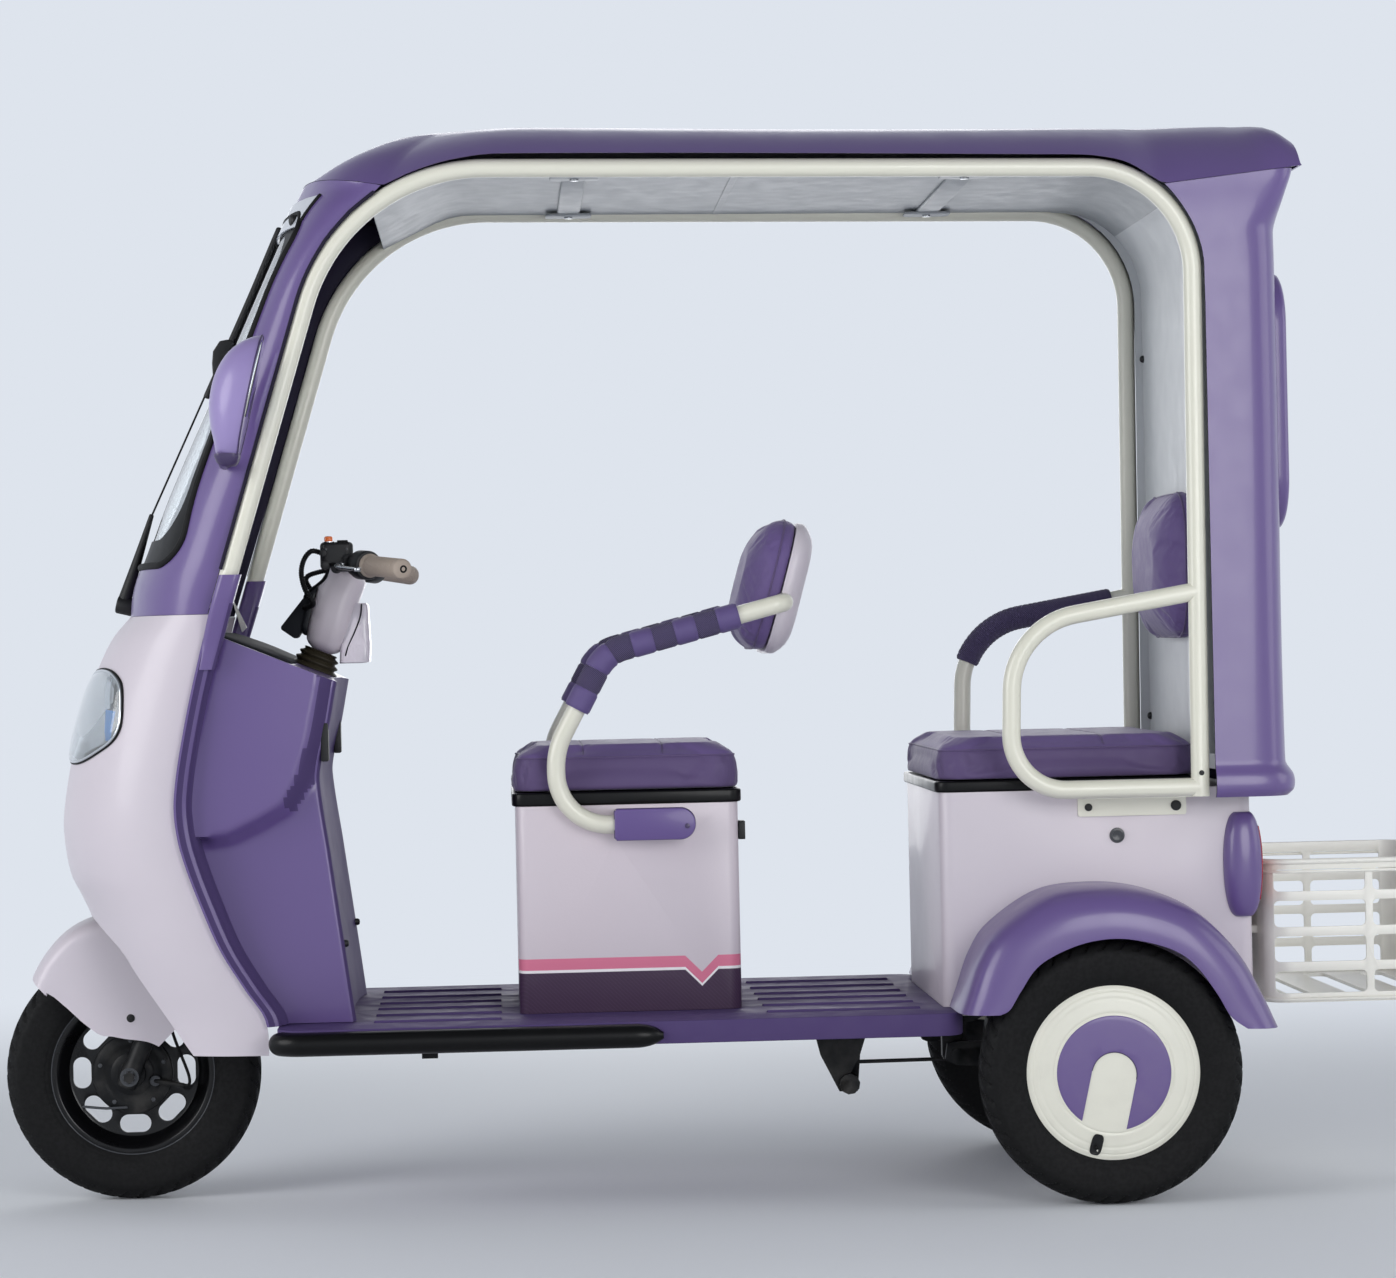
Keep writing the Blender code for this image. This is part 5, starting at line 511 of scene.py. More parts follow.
# Moulded and painted finishes: colour, roughness, coat, and what differs from the defaults of gloss_plastic.
PLASTICS = {
    "purple_plastic": ((101, 82, 137), 0.34, 0.30, {"tint": (107, 88, 145), "dust": 0.04}),
    "pale_plastic": (PALE, PALE_ROUGH, PALE_COAT, {"tint": (213, 201, 208), "dust": 0.0}),
    # A darker, matt copy of the body purple for the shield's rear-facing faces: painted shade.
    "purple_painted_shade": ((80, 66, 110), 0.62, 0.0, {"dust": 0.0}),
    # Near-black purple that paints shade on the shells' inside faces and in the pillars' gaps.
    "inner_painted_shade": ((34, 30, 48), 0.70, 0.0, {"dust": 0.0, "peel": 0.0}),
    "arm_cover_plastic": ((98, 78, 138), 0.40, 0.15, {}),
    "cream_steel": ((228, 226, 210), 0.33, 0.3, {"tint": (222, 220, 206), "peel": 0.00003}),
    "cream_plastic": ((240, 238, 230), 0.42, 0.1, {"tint": (234, 231, 220), "peel": 0.00005}),
    "cap_plastic": ((232, 230, 216), 0.38, 0.15, {"peel": 0.00003}),
    "gloss_black": ((7, 7, 8), 0.34, 0.08, {"dust": 0.0}),
    "black_steel": ((18, 19, 21), 0.46, 0.05, {"dust": 0.08, "peel": 0.00006}),
    "screen_black": ((7, 7, 8), 0.45, 0.0, {"dust": 0.0, "peel": 0.0}),
    "slate": ((28, 30, 35), 0.75, 0.0, {"dust": 0.0, "peel": 0.00005}),
    "cap_grey": ((204, 208, 216), 0.32, 0.3, {"dust": 0.0, "peel": 0.0}),
    "rim_black": ((10, 10, 12), 0.30, 0.3, {"dust": 0.0}),
    "battery_case": ((58, 62, 68), 0.5, 0.0, {"peel": 0.0001}),
    "orange_button": ((236, 116, 52), 0.32, 0.3, {"dust": 0.0}),
    "stem_black": ((24, 26, 30), 0.40, 0.1, {"dust": 0.0, "peel": 0.00005}),
    # A much lighter purple than the body's for the mirror shells: painted highlight.
    "mirror_shell": ((150, 134, 186), 0.38, 0.3, {"dust": 0.0}),
    "dark_purple": ((62, 48, 88), 0.4, 0.2, {"dust": 0.0}),
    "steel_dark": ((70, 72, 76), 0.3, 0.3, {"dust": 0.0, "peel": 0.0}),
    "lamp_bowl": ((224, 227, 231), 0.22, 0.4, {"dust": 0.0, "peel": 0.0}),
}
VINYL = (0.56, {"sheen": 0.15, "spec": 0.25}, {"scale": 5.0, "rough_spread": 0.12},
         ("cells", 520.0, 0.00012), ("noise", 90.0, 4.0, 0.00015))
LINING_RELIEF = ("noise", 520.0, 4.0, 0.00025)
# Other finishes: colour, roughness, shader values, how colour varies, then relief (texture, values, depth).
TEXTURED = {"black_plastic": ((20, 20, 22), 0.50, {"spec": 0.4}, {"variation": 0.10, "scale": 6.0},
                              ("cells", 900.0, 0.0001)), "tyre_rubber": ((13, 13, 14), 0.68, {"spec": 0.22},
                                                                         {"variation": 0.12, "scale": 18.0,
                                                                          "rough_spread": 0.14},
                                                                         ("noise", 500.0, 5.0, 0.0001)),
            "black_rubber": ((16, 16, 17), 0.62, {"spec": 0.2}, {"variation": 0.2, "scale": 9.0},
                             ("noise", 700.0, 3.0, 0.00006)), "boot_rubber": ((52, 47, 34), 0.5,
        {"spec": 0.4}, {"variation": 0.3, "scale": 20.0}, ("noise", 500.0, 3.0, 0.0003)),
        "steel": ((168, 170, 173), 0.26, {"metal": 1.0},
                  {"variation": 0.1, "scale": 8.0, "rough_spread": 0.14}, ("noise", 900.0, 2.0, 0.00008)),
        "chrome": ((205, 208, 212), 0.10, {"metal": 1.0}, {"variation": 0.04}),
        "mirror_glass": ((196, 204, 212), 0.04, {"metal": 1.0}, {"variation": 0.03, "rough_spread": 0.02}),
        "window_pane": ((240, 244, 246), 0.02, {"transmission": 1.0, "ior": 1.45},
                        {"variation": 0.02, "rough_spread": 0.02}),
        "lamp_lens": ((238, 244, 248), 0.05, {"transmission": 0.85, "ior": 1.45, "coat": 0.6},
                      {"variation": 0.03, "rough_spread": 0.03}),
        "lamp_blue": ((52, 138, 214), 0.12, {"coat": 0.8}, {"variation": 0.12, "scale": 30.0}),
        "lamp_red": ((176, 24, 30), 0.12, {"coat": 0.8}, {"variation": 0.10, "scale": 30.0},
                     ("cells", 260.0, 0.0005)), "roof_lining": ((150, 154, 158), 0.48, {"coat": 0.05},
                                                                {"scale": 3.0, "rough_spread": 0.1},
                                                                # The lining's wall faces take a lighter copy
                                                                # of its grey: painted light.
                                                                LINING_RELIEF), "lining_painted_light": ((196, 199,
        201), 0.50, {}, {"variation": 0.04, "scale": 3.0, "rough_spread": 0.1}, LINING_RELIEF),
        "seat_cover": ((104, 86, 136), *VINYL), "seat_side": ((92, 76, 116), *VINYL),
        "arm_sleeve": ((92, 76, 128), 0.6, {"sheen": 0.15}, {"variation": 0.1, "scale": 9.0},
                       ("noise", 900.0, 2.0, 0.0003)), "grip_rubber": ((170, 155, 142), 0.55, {},
                                                                       {"variation": 0.08, "scale": 12.0,
                                                                        "wear": 0.1}, ("noise", 800.0, 3.0,
        0.0002)), "pocket_vinyl": ((232, 224, 234), 0.2, {"transmission": 0.35, "coat": 0.6},
                                   {"variation": 0.04}, ("noise", 22.0, 3.0, 0.004)),
        "floor_plastic": ((80, 65, 110), 0.66, {"spec": 0.2}, {"scale": 3.0, "rough_spread": 0.14},
                          ("cells", 420.0, 0.0001)),}


def gloss_plastic(name, colour, rough, coat, tint=None, dust=0.10, peel=0.000015):
    """Moulded, painted shell with a trace of orange peel; a dark one reflects less."""
    paint = Paint(name, colour, rough, coat=coat, spec=0.5 if max(colour) > 80 and rough < 0.6 else 0.18)
    paint.shade(variation=0.03, tint=tint, dust=dust)
    if peel:
        paint.bump(paint.noise(300.0, 2.0), peel)


def textured(name, colour, rough, look, shading, *relief):
    """A finish from its row of the table above."""
    paint = Paint(name, colour, rough, **look)
    paint.shade(**shading)
    for texture, *values, depth in relief:
        paint.bump(getattr(paint, texture)(*values), depth)


def net_material():
    """Dark netting woven on the slant."""
    net = Paint("arm_net", (64, 51, 96), 0.75, sheen=0.1)
    x, _, z = net.axes()
    first = net.maths("SINE", net.maths("MULTIPLY", net.maths("ADD", x, z), NET_PITCH))
    second = net.maths("SINE", net.maths("MULTIPLY", net.maths("SUBTRACT", x, z), NET_PITCH))
    weave = net.maths("MAXIMUM", first, second)
    net.shade(net.mix(net.span(weave, 0.2, 0.9), linear(50, 42, 72), linear(92, 80, 122)))
    net.bump(weave, 0.0006)


NET_PITCH, BAND_PITCH = 1900.0, 900.0
BAND_TOP, LINE_TOP, STRIPE_TOP, STRIPE_BLUR = 0.3735, 0.3780, 0.3965, 0.0004
NOTCH_X, NOTCH_DEPTH = -0.053, 0.027


def seat_box_material():
    """Pale shell with a pink stripe, a white line and a plum band, dipping to a point on each side."""
    paint = Paint("striped_shell", PALE, PALE_ROUGH, coat=PALE_COAT)
    x, y, z = paint.axes()
    from_notch = paint.maths("ABSOLUTE", paint.maths("ADD", x, -NOTCH_X))
    notch = paint.maths("MAXIMUM", paint.maths("SUBTRACT", NOTCH_DEPTH, from_notch), 0.0)
    side = paint.span(paint.maths("ABSOLUTE", y), SEAT_HALF_WIDTH - 0.004, SEAT_HALF_WIDTH - 0.002)
    level = paint.maths("ADD", z, paint.maths("MULTIPLY", notch, side))
    drift = paint.mix(paint.noise(3.0, 3.0), paint.colour, linear(219, 206, 213))
    slant = paint.maths("ADD", paint.maths("ADD", x, y), z)
    weave = paint.maths("SINE", paint.maths("MULTIPLY", slant, BAND_PITCH))
    colour = paint.mix(paint.span(weave, 0.2, 0.8, 0.0, 0.35), linear(66, 46, 70), linear(84, 62, 90))
    for edge, above in ((BAND_TOP, linear(250, 246, 248)), (LINE_TOP, linear(222, 122, 152)),
                        (STRIPE_TOP, drift)):
        colour = paint.mix(paint.span(level, edge - STRIPE_BLUR, edge + STRIPE_BLUR), colour, above)
    paint.shade(colour, variation=0.03)
    paint.bump(paint.noise(240.0, 2.0), 0.00012)


def make_materials():
    """One material for each finish in the tables, and the extra ones that details take."""
    for name, (colour, rough, coat, options) in PLASTICS.items():
        gloss_plastic(name, colour, rough, coat, **options)
    for name, row in TEXTURED.items():
        textured(name, *row)
    net_material()
    seat_box_material()


make_materials()


# Dressing
def dress(obj, finish, body, *nodes):
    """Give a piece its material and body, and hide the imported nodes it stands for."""
    obj.data.materials.clear()
    obj.data.materials.append(MATERIAL[finish])
    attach(obj, body)
    if nodes:
        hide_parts(*nodes)
    return obj


def repaint_faces(obj, finish, chosen):
    """Give the faces that a test picks out a second material."""
    obj.data.materials.append(MATERIAL[finish])
    for face in obj.data.polygons:
        if chosen(face):
            face.material_index = len(obj.data.materials) - 1


def bead(name, line, radius, sides, finish, body):
    """A dressed round bead along a line."""
    return dress(loft(name, tube_rings(line, radius, sides)), finish, body)


def refined(node, width=0.0012, segments=2):
    """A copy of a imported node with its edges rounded."""
    copy = bpy.data.objects.new(node + "_fine", NODES[node].data.copy())
    bpy.context.scene.collection.objects.link(copy)
    copy.data.materials.clear()
    return soften(copy, width, segments)


# Front shells
NOSE_FRONT = [(0.250, -1.000), (0.478, -1.058), (0.516, -1.073), (0.544, -1.087), (0.590, -1.096),
              (0.640, -1.098), (0.730, -1.084), (0.800, -1.066), (0.870, -1.042), (0.932, -1.012),
              (0.968, -0.981)]
NOSE_REAR = [(0.250, -0.752), (0.320, -0.757), (0.369, -0.788), (0.433, -0.826), (0.506, -0.856),
             (0.565, -0.877), (0.610, -0.889), (0.658, -0.894), (0.706, -0.890), (0.769, -0.879),
             (0.848, -0.862), (0.968, -0.832)]
NOSE_WIDTH = [(0.250, 0.300), (0.420, 0.308), (0.650, NOSE_HALF_WIDTH), (0.968, NOSE_HALF_WIDTH)]
SHIELD_REAR = [(0.300, -0.613), (0.395, -0.6254), (0.577, -0.6494), (0.695, -0.665), (0.731, -0.661),
               (0.783, -0.648), (0.851, -0.635), (0.950, -0.615)]
NOSE_POWER, SECTION_POINTS = 2.3, 81
ARCH_EDGE = [(-1.058, 0.490), (-0.997, 0.436), (-0.962, 0.386), (-0.891, 0.285), (-0.868, 0.2535)]
ARCH_HALF_WIDTH, ARCH_TOP = 0.128, 0.545
SHIELD_FOOT = FLOOR_TOP + 0.001
MAT_DEPTH, MAT_HALF_WIDTH = 0.135, 0.262
KNEE_RIDGE = [(-0.835, 0.612), (-0.811, 0.614), (-0.762, 0.636), (-0.721, 0.659), (-0.697, 0.699),
              (-0.676, 0.763), (-0.658, 0.851), (-0.650, 0.960)]
LAMP_OUTLINE = [(0.20, 0.876), (0.45, 0.884), (0.72, 0.8825), (0.91, 0.867), (0.985, 0.848), (1.065, 0.800),
                (1.045, 0.776), (0.95, 0.759), (0.68, 0.7355), (0.42, 0.731), (0.20, 0.738), (0.13, 0.765),
                (0.13, 0.820), (0.15, 0.858)]
LAMP_MIDDLE = (0.60, 0.808)


def u_section(front, rear, half_width, height, exponent):
    """Plan-view points of a shell, from its left rear edge round the front to its right rear edge."""
    section = []
    for turn in between(-math.pi / 2, math.pi / 2, SECTION_POINTS):
        across = half_width * power(math.sin(turn), 2 / exponent)
        section.append(Vector((rear - (rear - front) * abs(math.cos(turn)) ** (2 / exponent), across,
                               height)))
    return section


def nose_section(height, inset):
    """One level of the nose's surface, moved in by an inset."""
    return u_section(smooth_value(NOSE_FRONT, height) + inset, smooth_value(NOSE_REAR, height) - GAP,
                     smooth_value(NOSE_WIDTH, height) - inset, height, NOSE_POWER)


def nose_point(at, height, level):
    """A point on the nose at an angle and height, lifted outward."""
    front, rear = smooth_value(NOSE_FRONT, height), smooth_value(NOSE_REAR, height)
    half = smooth_value(NOSE_WIDTH, height)
    along, across = abs(math.cos(at)) ** (2 / NOSE_POWER), abs(math.sin(at)) ** (2 / NOSE_POWER)
    return Vector((rear - (rear - front) * along, across * half, height)) + Vector((-math.cos(at),
            math.sin(at), 0.0)) * level


def round_off(points):
    """A closed outline with its corners cut off three times over."""
    for _ in range(3):
        points = [tuple(a + (b - a) * share for a, b in zip(start, end))
                  for start, end in zip(points, points[1:] + points[:1]) for share in (0.25, 0.75)]
    return points


def lamp_rings(side, levels, grow):
    """Rings of the lamp's outline, each at a level above the nose and a share of its size."""
    rings = []
    for level, size in levels:
        size += grow / 0.07
        rings.append([mirrored(nose_point(LAMP_MIDDLE[0] + (at - LAMP_MIDDLE[0]) * size,
                                          LAMP_MIDDLE[1] + (z - LAMP_MIDDLE[1]) * size, level), side)
                      for at, z in round_off(LAMP_OUTLINE)])
    return rings


def lamp_shape(name, side, levels, grow=0.0):
    """A solid of the lamp's outline."""
    return loft(name, lamp_rings(side, levels, grow), round_edges=50.0)


def front_nose():
    """Pale front shell with the wheel arch and the lamp openings."""
    heights = between(NOSE_BOTTOM + 0.010, NOSE_TOP, 64)
    nose = sheet("nose_shell", [nose_section(height, 0.0) for height in heights],
                 [nose_section(height, SHELL) for height in heights])
    edge = [(point.x, point.z) for point in spline([(x, 0, z) for x, z in ARCH_EDGE], 8)]
    side_cut = side_prism("side_cut", edge + [(-0.868, 0.20), (-1.30, 0.20), (-1.30, 0.490)], -0.6, 0.6)
    arch = [(-ARCH_HALF_WIDTH, 0.1)] + [(ARCH_HALF_WIDTH * math.cos(turn),
                                         ARCH_TOP - 0.09 + 0.09 * math.sin(turn))
                                        for turn in between(math.pi, 0.0, 33)] + [(ARCH_HALF_WIDTH, 0.1)]
    lamps = [lamp_shape("lamp_cut", side, [(-0.030, 1.0), (0.05, 1.0)], GAP) for _, side in SIDES]
    cut(nose, [side_cut, prism("arch_cut", arch, -1.3, -0.90, "X")] + lamps)
    dress(nose, "pale_plastic", BODY, "front_nose")


def lamp_patch(name, side, corners, low, high, finish):
    """A four-cornered piece on the lamp's bowl; corners are (angle, height) pairs."""
    (a0, z0), (a1, z1), (a2, z2), (a3, z3) = corners
    rows = {low: [], high: []}
    for level, grid in rows.items():
        for down in between(0.0, 1.0, 9):
            left, right = (a0 + (a3 - a0) * down, z0 + (z3 - z0) * down), (a1 + (a2 - a1) * down,
                                                                           z1 + (z2 - z1) * down)
            grid.append([mirrored(nose_point(left[0] + (right[0] - left[0]) * share,
                                             left[1] + (right[1] - left[1]) * share, level), side)
                         for share in between(0.0, 1.0, 7)])
    dress(sheet(name, rows[high], rows[low]), finish, BODY)


def headlamps():
    """Clear lens over a pale bowl, in a thin dark and chromed bezel, with its strips and a blue reflector."""
    for name, side in SIDES:
        lens = lamp_shape("headlamp_lens_" + name, side,
                          [(-0.001, 0.965), (0.004, 0.965), (0.0072, 0.90), (0.0088, 0.75), (0.0095, 0.45),
                           (0.0097, 0.15)])
        dress(lens, "lamp_lens", BODY, "headlamp_" + name)
        bowl = lamp_shape("headlamp_bowl_" + name, side,
                          [(-0.010, 0.30), (-0.009, 0.62), (-0.0065, 0.85), (-0.0015, 0.955),
                           (-0.0022, 0.965), (-0.0125, 0.6)])
        dress(bowl, "lamp_bowl", BODY)
        rim = lamp_rings(side, [(0.0030, 0.975)], 0.0)[0]
        bead("headlamp_bezel_" + name, rim + rim[:1], 0.0024, 10, "chrome", BODY)
        outer = lamp_rings(side, [(0.0016, 1.012)], 0.0)[0]
        bead("headlamp_seal_" + name, outer + outer[:1], 0.0020, 8, "black_rubber", BODY)
        for part, corners, finish in (("reflector", ((0.850, 0.818), (0.992, 0.815), (1.020, 0.775),
                                                     (0.930, 0.770)), "lamp_blue"),
                                      ("wedge", ((0.860, 0.859), (0.884, 0.857), (0.972, 0.819),
                                                 (0.932, 0.819)), "black_rubber"),
                                      ("strip", ((0.720, 0.868), (0.790, 0.868), (0.900, 0.819),
                                                 (0.842, 0.819)), "chrome"),
                                      ("lower_strip", ((0.935, 0.768), (0.962, 0.765), (0.676, 0.744),
                                                       (0.668, 0.748)), "black_rubber")):
            lamp_patch("headlamp_%s_%s" % (part, name), side, corners, -0.011, -0.0025, finish)


def ridge_distance(x, height):
    """Distance of a side-view point from the knee ridge, positive below and behind it."""
    found = (9.0, 0.0)
    for (x0, z0), (x1, z1) in zip(KNEE_RIDGE, KNEE_RIDGE[1:]):
        run, rise = x1 - x0, z1 - z0
        share = min(max(((x - x0) * run + (height - z0) * rise) / (run * run + rise * rise), 0.0), 1.0)
        away = math.hypot(x - x0 - run * share, height - z0 - rise * share)
        if away < found[0]:
            found = (away, away if (x - x0) * rise - (height - z0) * run > 0 else -away)
    return found[1]


def knee_width(x, height, rim):
    """Half width of the knee panel: full above the ridge, drawn in below and behind it."""
    beyond = ridge_distance(x, height)
    behind = smoothstep((height - 0.67) / 0.06)
    drop = smoothstep((beyond + 0.010) / (0.034 + 0.008 * behind))
    back = 0.014 * smoothstep((beyond - 0.03) / 0.26)
    bulge = 0.005 * math.sin(math.pi * min(max((x + 0.87) / 0.20, 0.0), 1.0)) * (1 - drop)
    return rim - 0.036 + bulge - (0.034 + 0.012 * behind) * drop + back


def shield_ring(height):
    """One level of the leg shield as a closed ring: tilted rim, step, knee panel and hollow rear face."""
    front = smooth_value(NOSE_REAR, height)
    rear = smooth_value(SHIELD_REAR, height)
    rim = smooth_value(NOSE_WIDTH, height) + FLANGE_HALF_WIDTH - NOSE_HALF_WIDTH
    edge = front + FLANGE_DEPTH
    half = [(front + GAP, rim), (front + 0.004, rim), (edge - 0.008, rim - 0.008),
            (edge - 0.002, rim - 0.0115), (edge, rim - 0.015), (edge + 0.0005, rim - 0.022),
            (edge + 0.002, rim - 0.030), (edge + 0.006, rim - 0.035)]
    start = edge + 0.011
    for share in between(0.0, 1.0, 31):
        x = start + (rear - 0.008 - start) * share
        half.append((x, knee_width(x, height, rim)))
    corner = knee_width(rear - 0.008, height, rim)
    for turn in between(0.0, math.pi / 2, 9)[1:]:
        half.append((rear - 0.008 + 0.008 * math.sin(turn), corner - 0.014 * (1 - math.cos(turn))))
    half += [(rear - 0.003, corner - 0.032), (rear - 0.010, 0.15), (rear - 0.012, 0.06)]
    return [Vector((x, -y, height)) for x, y in half] + [Vector((x, y, height)) for x, y in reversed(half)]


def core_ring(height):
    """One level of the shield's hollow, well inside its surface."""
    front = smooth_value(NOSE_REAR, height) - 0.05
    rear = smooth_value(SHIELD_REAR, height) - 0.030
    half = smooth_value(NOSE_WIDTH, height) + FLANGE_HALF_WIDTH - NOSE_HALF_WIDTH - 0.088
    return [Vector((x, y, height)) for x, y in ((front, -half), (rear, -half), (rear, half), (front, half))]


def deck_cutter(name, along):
    """Everything above the deck's plane, which is square to the steering axis."""
    cutter = side_prism(name, [(-1.2, 0.0), (0.5, 0.0), (0.5, 1.0), (-1.2, 1.0)], -0.6, 0.6)
    cutter.data.transform(Matrix.Translation(fork_frame(STEER_OFFSET, 0, along)) @ Matrix.Rotation(RAKE, 4,
            "Y"))
    return cutter


def hoop_post_point(height):
    """Side-view point (x, z) on the line of a hoop's front post."""
    return (HOOP_FRONT_X + HOOP_POST_LEAN * (height - HOOP_TOP_FRONT_Z), height)


def post_socket(side):
    """Horn of the shield's rim that rises into a socket round a hoop's front post."""
    rings = []
    for height, share in ((0.880, 0.0), (0.910, 0.08), (0.930, 0.25), (0.955, 0.55), (0.985, 0.85),
                          (1.005, 0.97), (1.0285, 1.0), (1.030, 0.99)):
        front = smooth_value(NOSE_REAR, min(height, NOSE_TOP)) + GAP + max(height - NOSE_TOP,
                                                                           0.0) * HOOP_POST_LEAN
        reach = HOOP_RADIUS + 0.005
        low = (front, (FLANGE_HALF_WIDTH - 0.030) * (1 - share) + (HOOP_Y - reach) * share)
        high = (hoop_post_point(height)[0] + reach, FLANGE_HALF_WIDTH * (1 - share)
                + (HOOP_Y + reach) * share)
        rings.append([Vector((x, y * side, height)) for x, y in rounded_outline(low, high, 0.010, 6)])
    return loft("socket", rings)


def leg_shield():
    """Purple shield behind the nose with knee panels, deck and post sockets."""
    solid = loft("shield_shell", [shield_ring(height) for height in between(SHIELD_FOOT, 1.02, 120)])
    core = loft("core", [core_ring(height) for height in between(0.25, 1.10, 60)])
    cut(core, [deck_cutter("under", DECK_ALONG - SHELL)])
    cut(solid, [deck_cutter("lid", DECK_ALONG)])
    hole = tube("hole", [fork_frame(STEER_OFFSET, 0, 0.6), fork_frame(STEER_OFFSET, 0, 0.9)], 0.026, 40)
    cut(solid, [core, hole])
    combine(solid, [post_socket(side) for _, side in SIDES])
    bores = []
    for _, side in SIDES:
        foot, top = hoop_post_point(0.988), hoop_post_point(1.10)
        bores.append(tube("bore", [(foot[0], side * HOOP_Y, foot[1]), (top[0], side * HOOP_Y, top[1])],
                          HOOP_RADIUS + 0.0006, 32))
    cut(solid, bores)
    dress(solid, "purple_plastic", BODY, "leg_shield")
    # The shield's rear-facing faces take the darker purple copy: painted shade.
    repaint_faces(solid, "purple_painted_shade", lambda face: face.normal.x > 0.55 and face.center.z < 0.98)
    outline = rounded_outline((-MAT_DEPTH, -MAT_HALF_WIDTH), (0.0, MAT_HALF_WIDTH), 0.030, 8)
    rings = []
    for lift, inset in ((-0.002, 0.0), (0.0015, 0.0), (0.0035, 0.004), (0.0050, 0.020), (0.0066, 0.050)):
        size, wide = 1 - inset / (MAT_DEPTH / 2), 1 - inset / MAT_HALF_WIDTH
        rings.append([fork_frame(STEER_OFFSET - 0.028 + x * size - inset, y * wide, DECK_ALONG + lift)
                      for x, y in outline])
    dress(loft("deck_mat", rings), "slate", BODY)
    for name, side in SIDES:
        foot = rounded_outline((0.0, 0.0), (0.0125, 0.062), 0.003, 4)
        x, z = smooth_value(SHIELD_REAR, 0.760) - 0.008, 0.728
        catch = side_prism("shield_catch_" + name, [(x + a, z + b) for a, b in foot],
                           *sorted((side * 0.232, side * 0.262)))
        dress(soften(catch, 0.0015), "black_plastic", BODY)
        x = smooth_value(SHIELD_REAR, 0.434)
        knob = lathe("shield_knob_" + name, [(0, -0.012), (0.006, -0.012), (0.006, 0.003), (0.0045, 0.006),
                                             (0, 0.007)], (x, side * 0.244, 0.434), (1, 0, 0), 24)
        dress(knob, "black_plastic", BODY)
    strap = [(-0.8360, 0.9966), (-0.8338, 0.9962), (-0.8113, 0.9493), (-0.8202, 0.9408)]
    for name, side in SIDES:
        dress(soften(side_prism("post_bracket_" + name, strap, *sorted((side * 0.292, side * 0.3145))),
                     0.001), "cream_plastic", BODY)


# Windscreen
GLASS_CENTRE = [(0.9685, -0.9810), (1.000, -0.9780), (1.030, -0.9700), (1.065, -0.9550), (1.164, -0.9160),
                (1.371, -0.8200), (1.500, -0.7600), (1.636, -0.6990), (1.690, -0.6700)]
PILLAR_WIDTH = [(0.9685, NOSE_HALF_WIDTH), (1.060, 0.330), (1.200, 0.346), (1.700, 0.346)]
SURROUND_TOP, SURROUND_THICK, GLASS_THICK, GLASS_POWER = 1.684, 0.012, 0.004, 2.15
SEAM_FRONT, SEAM_SLOPE, SEAM_SIDE_Z = (-0.685, 1.6700), -0.190, 1.645
WINDOW_LOW, WINDOW_HIGH, WINDOW_HALF_WIDTH, WINDOW_CORNER = 1.047, 1.612, 0.300, 0.055
PILLAR_CLEAR = 0.0018
CAP_LOW, CAP_HIGH, CAP_HALF_WIDTH = 1.586, 1.636, 0.285


def hoop_path(steps=24):
    """Side-view path of a hoop from its front foot over the roof to its rear foot."""
    foot = hoop_post_point(HOOP_FOOT_Z)
    corners = [(foot[0], 0, foot[1]), (HOOP_FRONT_X, 0, HOOP_TOP_FRONT_Z), (HOOP_REAR_X, 0, HOOP_TOP_REAR_Z),
               (HOOP_REAR_X - 0.006, 0, REAR_POST_FOOT_Z - HOOP_RADIUS)]
    return [(point.x, point.z) for point in bent_path(corners, [HOOP_FRONT_BEND, HOOP_REAR_BEND], steps)]


HOOP_LINE = hoop_path()


def hoop_front_x(height):
    """X of a hoop's front side, from its post up into its bend."""
    for before, after in zip(HOOP_LINE, HOOP_LINE[1:]):
        if before[1] <= height < after[1]:
            break
    run, rise = after[0] - before[0], after[1] - before[1]
    slant = math.hypot(run, rise) / rise
    return before[0] + run * (height - before[1]) / rise - HOOP_RADIUS * slant


def screen_section(height, inset):
    """One level of the windscreen's surface, moved in by an inset."""
    rear = hoop_front_x(min(height, SEAM_SIDE_Z)) - PILLAR_CLEAR
    return u_section(smooth_value(GLASS_CENTRE, height) + inset, rear,
                     smooth_value(PILLAR_WIDTH, height) - inset, height, GLASS_POWER)


def screen_point(across, height, inset):
    """A point of the windscreen's surface at a distance from the middle and a height."""
    rear = hoop_front_x(min(height, SEAM_SIDE_Z)) - PILLAR_CLEAR
    front = smooth_value(GLASS_CENTRE, height) + inset
    half = smooth_value(PILLAR_WIDTH, height) - inset
    return Vector((rear - (rear - front) * (1 - (abs(across) / half) ** GLASS_POWER) ** (1 / GLASS_POWER),
                   across, height))


def screen_half_width(x, height):
    """Half width of the windscreen's surface at an X and a height."""
    rear = hoop_front_x(height) - PILLAR_CLEAR
    depth = (rear - x) / (rear - smooth_value(GLASS_CENTRE, height))
    return smooth_value(PILLAR_WIDTH, height) * (1 - depth ** GLASS_POWER) ** (1 / GLASS_POWER)


def window_outline(shrink, steps=10):
    """The window's outline as (across, height) pairs."""
    return rounded_outline((-WINDOW_HALF_WIDTH + shrink, WINDOW_LOW + shrink),
                           (WINDOW_HALF_WIDTH - shrink, WINDOW_HIGH - shrink), WINDOW_CORNER - shrink,
                           steps)


def seam_height(x):
    """Height of the plane where the windscreen surround ends and the roof begins."""
    return SEAM_FRONT[1] + SEAM_SLOPE * (x - SEAM_FRONT[0])


